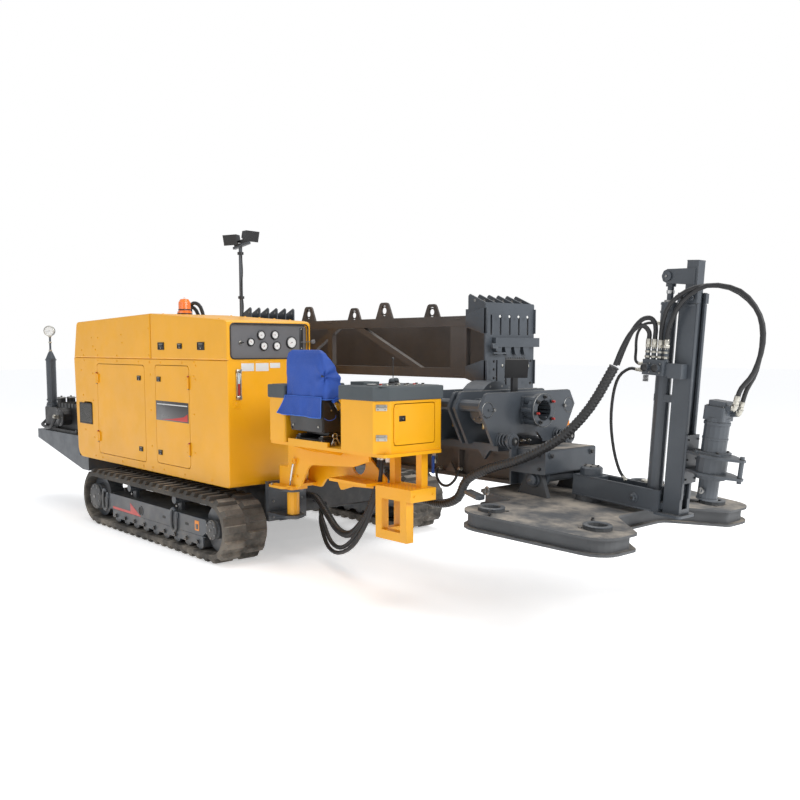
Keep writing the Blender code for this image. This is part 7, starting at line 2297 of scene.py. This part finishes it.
        piece.finish("slide", "slate")
        hub = Shapes("auger_hub_fittings", AUGER)
        for sign in (-1, 1):
            hub.lathe([(0, 0.0), (0.017, 0.0), (0.017, 0.010), (0.012, 0.013), (0, 0.013)],
                      (0, sign * 0.068, 0.202), Y * sign, "steel", 20)
            hub.rod((0, sign * 0.082, 0.190), (0, sign * 0.082, 0.222), 0.0035, "steel", 8, 0.001)
        hub.lathe([(0.0545, 0.0), (0.0585, 0.0), (0.0585, 0.008), (0.0545, 0.010)], (0, 0, 0.149), Z,
                  "slate_paint", 36)
        hub.finish("hub", "slate")


# Work lamps and mud pump

@dataclass
class Lamps:
    """The pair of work lamps on their pole."""

    pole: tuple[float, float] = (0.045, -0.21)

    def build(self) -> None:
        """Band the pole with its clamps and cable."""
        piece = Shapes("lamp_pole_fittings")
        x, y = self.pole
        for z in (1.40, 1.62, 2.02, 2.40):
            piece.lathe([(0.021, 0.0), (0.027, 0.0), (0.027, 0.022), (0.021, 0.022)], (x, y, z), Z,
                        "black_plastic", 22)
        piece.tube([(x + 0.021 + 0.004 * math.sin(i * 1.3), y - 0.006 * math.cos(i * 0.9), 1.42 + 0.05 * i)
                    for i in range(21)], 0.0038, "hose_rubber", 8, 2)
        piece.lathe([(0.017, 0.0), (0.030, 0.0), (0.030, 0.010), (0.017, 0.012)], (x, y, 2.490), Z, "steel",
                    22)
        piece.finish("machine", "black")


@dataclass
class Pump:
    """Fittings of the mud pump and its pressure damper on the rear platform."""

    damper: tuple[float, float] = (-2.56, -0.91)
    clutch: tuple[float, float] = (-2.10, 0.90)


    def build(self) -> None:
        """Bolt the pump and dress the damper's gauge and fittings."""
        piece = Shapes("pump_fittings")
        for y in (-0.87, -0.77, -0.67):
            piece.lathe([(0, 0.016), (0.036, 0.014), (0.046, 0.006), (0.046, 0.0), (0, 0.0)],
                        (-2.41, y, 1.0705), Z, "steel", 28)
            piece.bolts([(-2.41, y, 1.086)], Z, 0.012, "steel", False)
            piece.lathe([(0, 0.010), (0.032, 0.010), (0.040, 0.004), (0.040, 0.0), (0, 0.0)],
                        (-2.7005, y, 0.86), -X, "steel", 26)
            piece.rod((-2.52, y, 0.982), (-2.52, y, 1.004), 0.020, "black_paint", 6, 0.002)
        for index in range(6):
            x = -2.32 + index * 0.085
            piece.brick((x, x + 0.010), (-0.925, -0.615), (0.985, 1.036), "black_paint", 0.002)
        piece.lathe([(0, 0.0), (0.088, 0.0), (0.093, 0.004), (0.093, 0.018), (0.060, 0.026), (0, 0.026)],
                    (self.clutch[0], -1.0, self.clutch[1]), -Y, "black_paint", 34)
        for index in range(6):
            angle = math.tau * index / 6
            piece.bolts([(self.clutch[0] + 0.074 * math.cos(angle), -1.018,
                          self.clutch[1] + 0.074 * math.sin(angle))], -Y, 0.008, "steel", False)
        for x in (-2.38, -1.84):
            for y in (-0.955, -0.565):
                piece.bolts([(x, y, 0.770)], Z, 0.011, "steel")
        piece.finish("machine", "black")
        gauge = Shapes("damper_fittings")
        way = Vector((0.8, -0.6, 0))
        middle = Vector((*self.damper, 1.765)) + way * 0.022
        gauge.lathe([(0.047, 0.0), (0.055, 0.0), (0.055, 0.006), (0.050, 0.009), (0.047, 0.005)], middle,
                    way, "zinc", 32)
        gauge.lathe([(0, 0.0035), (0.048, 0.0035), (0.048, 0.001), (0, 0.001)], middle, way, "dial_white",
                    32)
        side = Vector((0.6, 0.8, 0))
        dial = middle + way * 0.0036
        for step in range(9):
            angle = math.radians(225 - 33.75 * step)
            out = side * math.cos(angle) + Z * math.sin(angle)
            gauge.rod(dial + out * 0.034, dial + out * 0.042, 0.0010, "black_plastic", 6)
        out = side * math.cos(math.radians(200)) + Z * math.sin(math.radians(200))
        gauge.rod(dial - out * 0.010, dial + out * 0.034, 0.0015, "black_plastic", 6, tip=0.0005)
        for z in (1.555, 1.64, 1.70):
            gauge.rod((*self.damper, z), (*self.damper, z + 0.016), 0.0175, "zinc", 6, 0.002)
        for z in (1.008, 1.045, 1.46):
            gauge.lathe([(0.0495, 0.0), (0.056, 0.0), (0.056, 0.014), (0.0495, 0.014)], (*self.damper, z),
                        Z, "slate_paint", 32)
        gauge.finish("machine", "slate")


def free_hoses() -> list[Hose]:
    """The thin hoses that only the dressed machine shows."""
    auger_return = (*spool(2, 0.0, 0.02, 0.04), on_plate(SPOOL_X[2] + 0.004, -0.112, SPOOL_Z + 0.12),
                    *placed(at, (4.22, -0.118, 1.835), (4.36, -0.105, 1.915), (4.52, -0.045, 1.905),
                            (4.64, 0.0, 1.80), (4.675, 0.015, 1.66), (4.645, 0.028, 1.48)),
                    *placed(on_auger, (0.122, 0.030, 0.765), (0.107, 0.030, 0.684), (0.103, 0.030, 0.657)))
    feed_far = (*placed(at, (3.956, -0.214, 1.500), (3.985, -0.192, 1.60), (4.018, -0.167, 1.69),
                        (4.056, -0.142, 1.748), (4.094, -0.121, 1.760), (4.119, -0.111, 1.738)),
                *spool(1, 0.100, 0.06, 0.03, 0.0))
    valve = placed(on_plate, (0.628, -0.107, 0.722), (0.600, -0.107, 0.722), (0.550, -0.107, 0.722),
                   (0.480, -0.100, 0.670), (0.440, -0.085, 0.560), (0.425, -0.065, 0.400),
                   (0.440, -0.040, 0.240), (0.475, -0.020, 0.120), (0.520, -0.010, 0.062))
    cylinder = placed(on_plate, (0.644, 0.0, 0.985), (0.620, 0.0, 0.985), (0.560, -0.004, 0.975),
                      (0.540, -0.030, 0.930), (0.552, -0.062, 0.880), (0.575, -0.092, 0.830),
                      (0.585, -0.105, 0.775), (0.606, -0.107, 0.757), (0.628, -0.107, 0.756))
    console = (placed(at, (2.36, -0.600, TRAY_BOTTOM - 0.026), (2.36, -0.600, 0.88), (2.36, -0.603, 0.84),
                      (2.345, -0.610, 0.70), (2.30, -0.615, 0.55), (2.20, -0.610, 0.40),
                      (2.05, -0.590, 0.25), (1.88, -0.560, 0.165), (1.72, -0.520, 0.175),
                      (1.58, -0.470, 0.255), (1.46, -0.420, 0.345), (1.36, -0.340, 0.400),
                      (1.30, -0.330, 0.405), (1.2606, -0.330, 0.405)),
               placed(at, (2.41, -0.620, TRAY_BOTTOM - 0.026), (2.41, -0.620, 0.88), (2.41, -0.623, 0.84),
                      (2.400, -0.632, 0.70), (2.345, -0.645, 0.54), (2.24, -0.640, 0.37),
                      (2.08, -0.615, 0.215), (1.88, -0.580, 0.130), (1.70, -0.530, 0.135),
                      (1.55, -0.470, 0.215), (1.43, -0.400, 0.310), (1.345, -0.290, 0.375),
                      (1.30, -0.275, 0.380), (1.2606, -0.275, 0.380)))
    loop = placed(at, (2.60, -0.2520, 0.790), (2.60, -0.275, 0.790), (2.60, -0.298, 0.780),
                  (2.62, -0.315, 0.730), (2.67, -0.320, 0.690), (2.73, -0.318, 0.690),
                  (2.775, -0.305, 0.730), (2.79, -0.290, 0.780), (2.79, -0.270, 0.800),
                  (2.79, -0.2520, 0.800))
    pump = placed(at, (-2.7105, -0.87, 0.86), (-2.735, -0.87, 0.86), (-2.765, -0.875, 0.85),
                  (-2.80, -0.90, 0.81), (-2.74, -0.955, 0.785), (-2.60, -0.985, 0.775),
                  (-2.40, -1.03, 0.775), (-2.22, -1.06, 0.80), (-2.13, -1.062, 0.86),
                  (-2.10, -1.050, 0.90), (-2.10, -1.0265, 0.90))
    return [
        Hose("auger_return", auger_return, 0.012, "mast", "slide"),
        Hose("feed_hose_far", feed_far, 0.013, "plate", "mast", ends=(False, True)),
        Hose("valve_return", valve, 0.009, "mast"),
        Hose("cylinder_top_hose", cylinder, 0.008, "mast", ends=(True, False)),
        Hose("console_hose_0", console[0], 0.016, "station", "machine", ends=(True, False)),
        Hose("console_hose_1", console[1], 0.015, "station", "machine", ends=(True, False)),
        Hose("frame_loop", loop, 0.009, "frame"),
        Hose("pump_hose_0", pump, 0.016, "machine"),
    ]


def main() -> None:
    """Build the scene, piece by piece."""
    logging.basicConfig(level=logging.INFO, format="%(name)s: %(message)s")
    random.seed(7)
    noise.seed_set(7)
    effects = Effects()
    for finish in FINISHES:
        MATERIALS[finish.name] = finish.make(effects)
    Studio().build()
    dress_nodes()
    for hose in (*cad_hoses(), *free_hoses()):
        hose.build()
    for assembly in (Hood(), Station(), Tracks(), RodBox(), Vises(), Anchor(), Lamps(), Pump()):
        assembly.build()


if __name__ == "__main__":
    main()
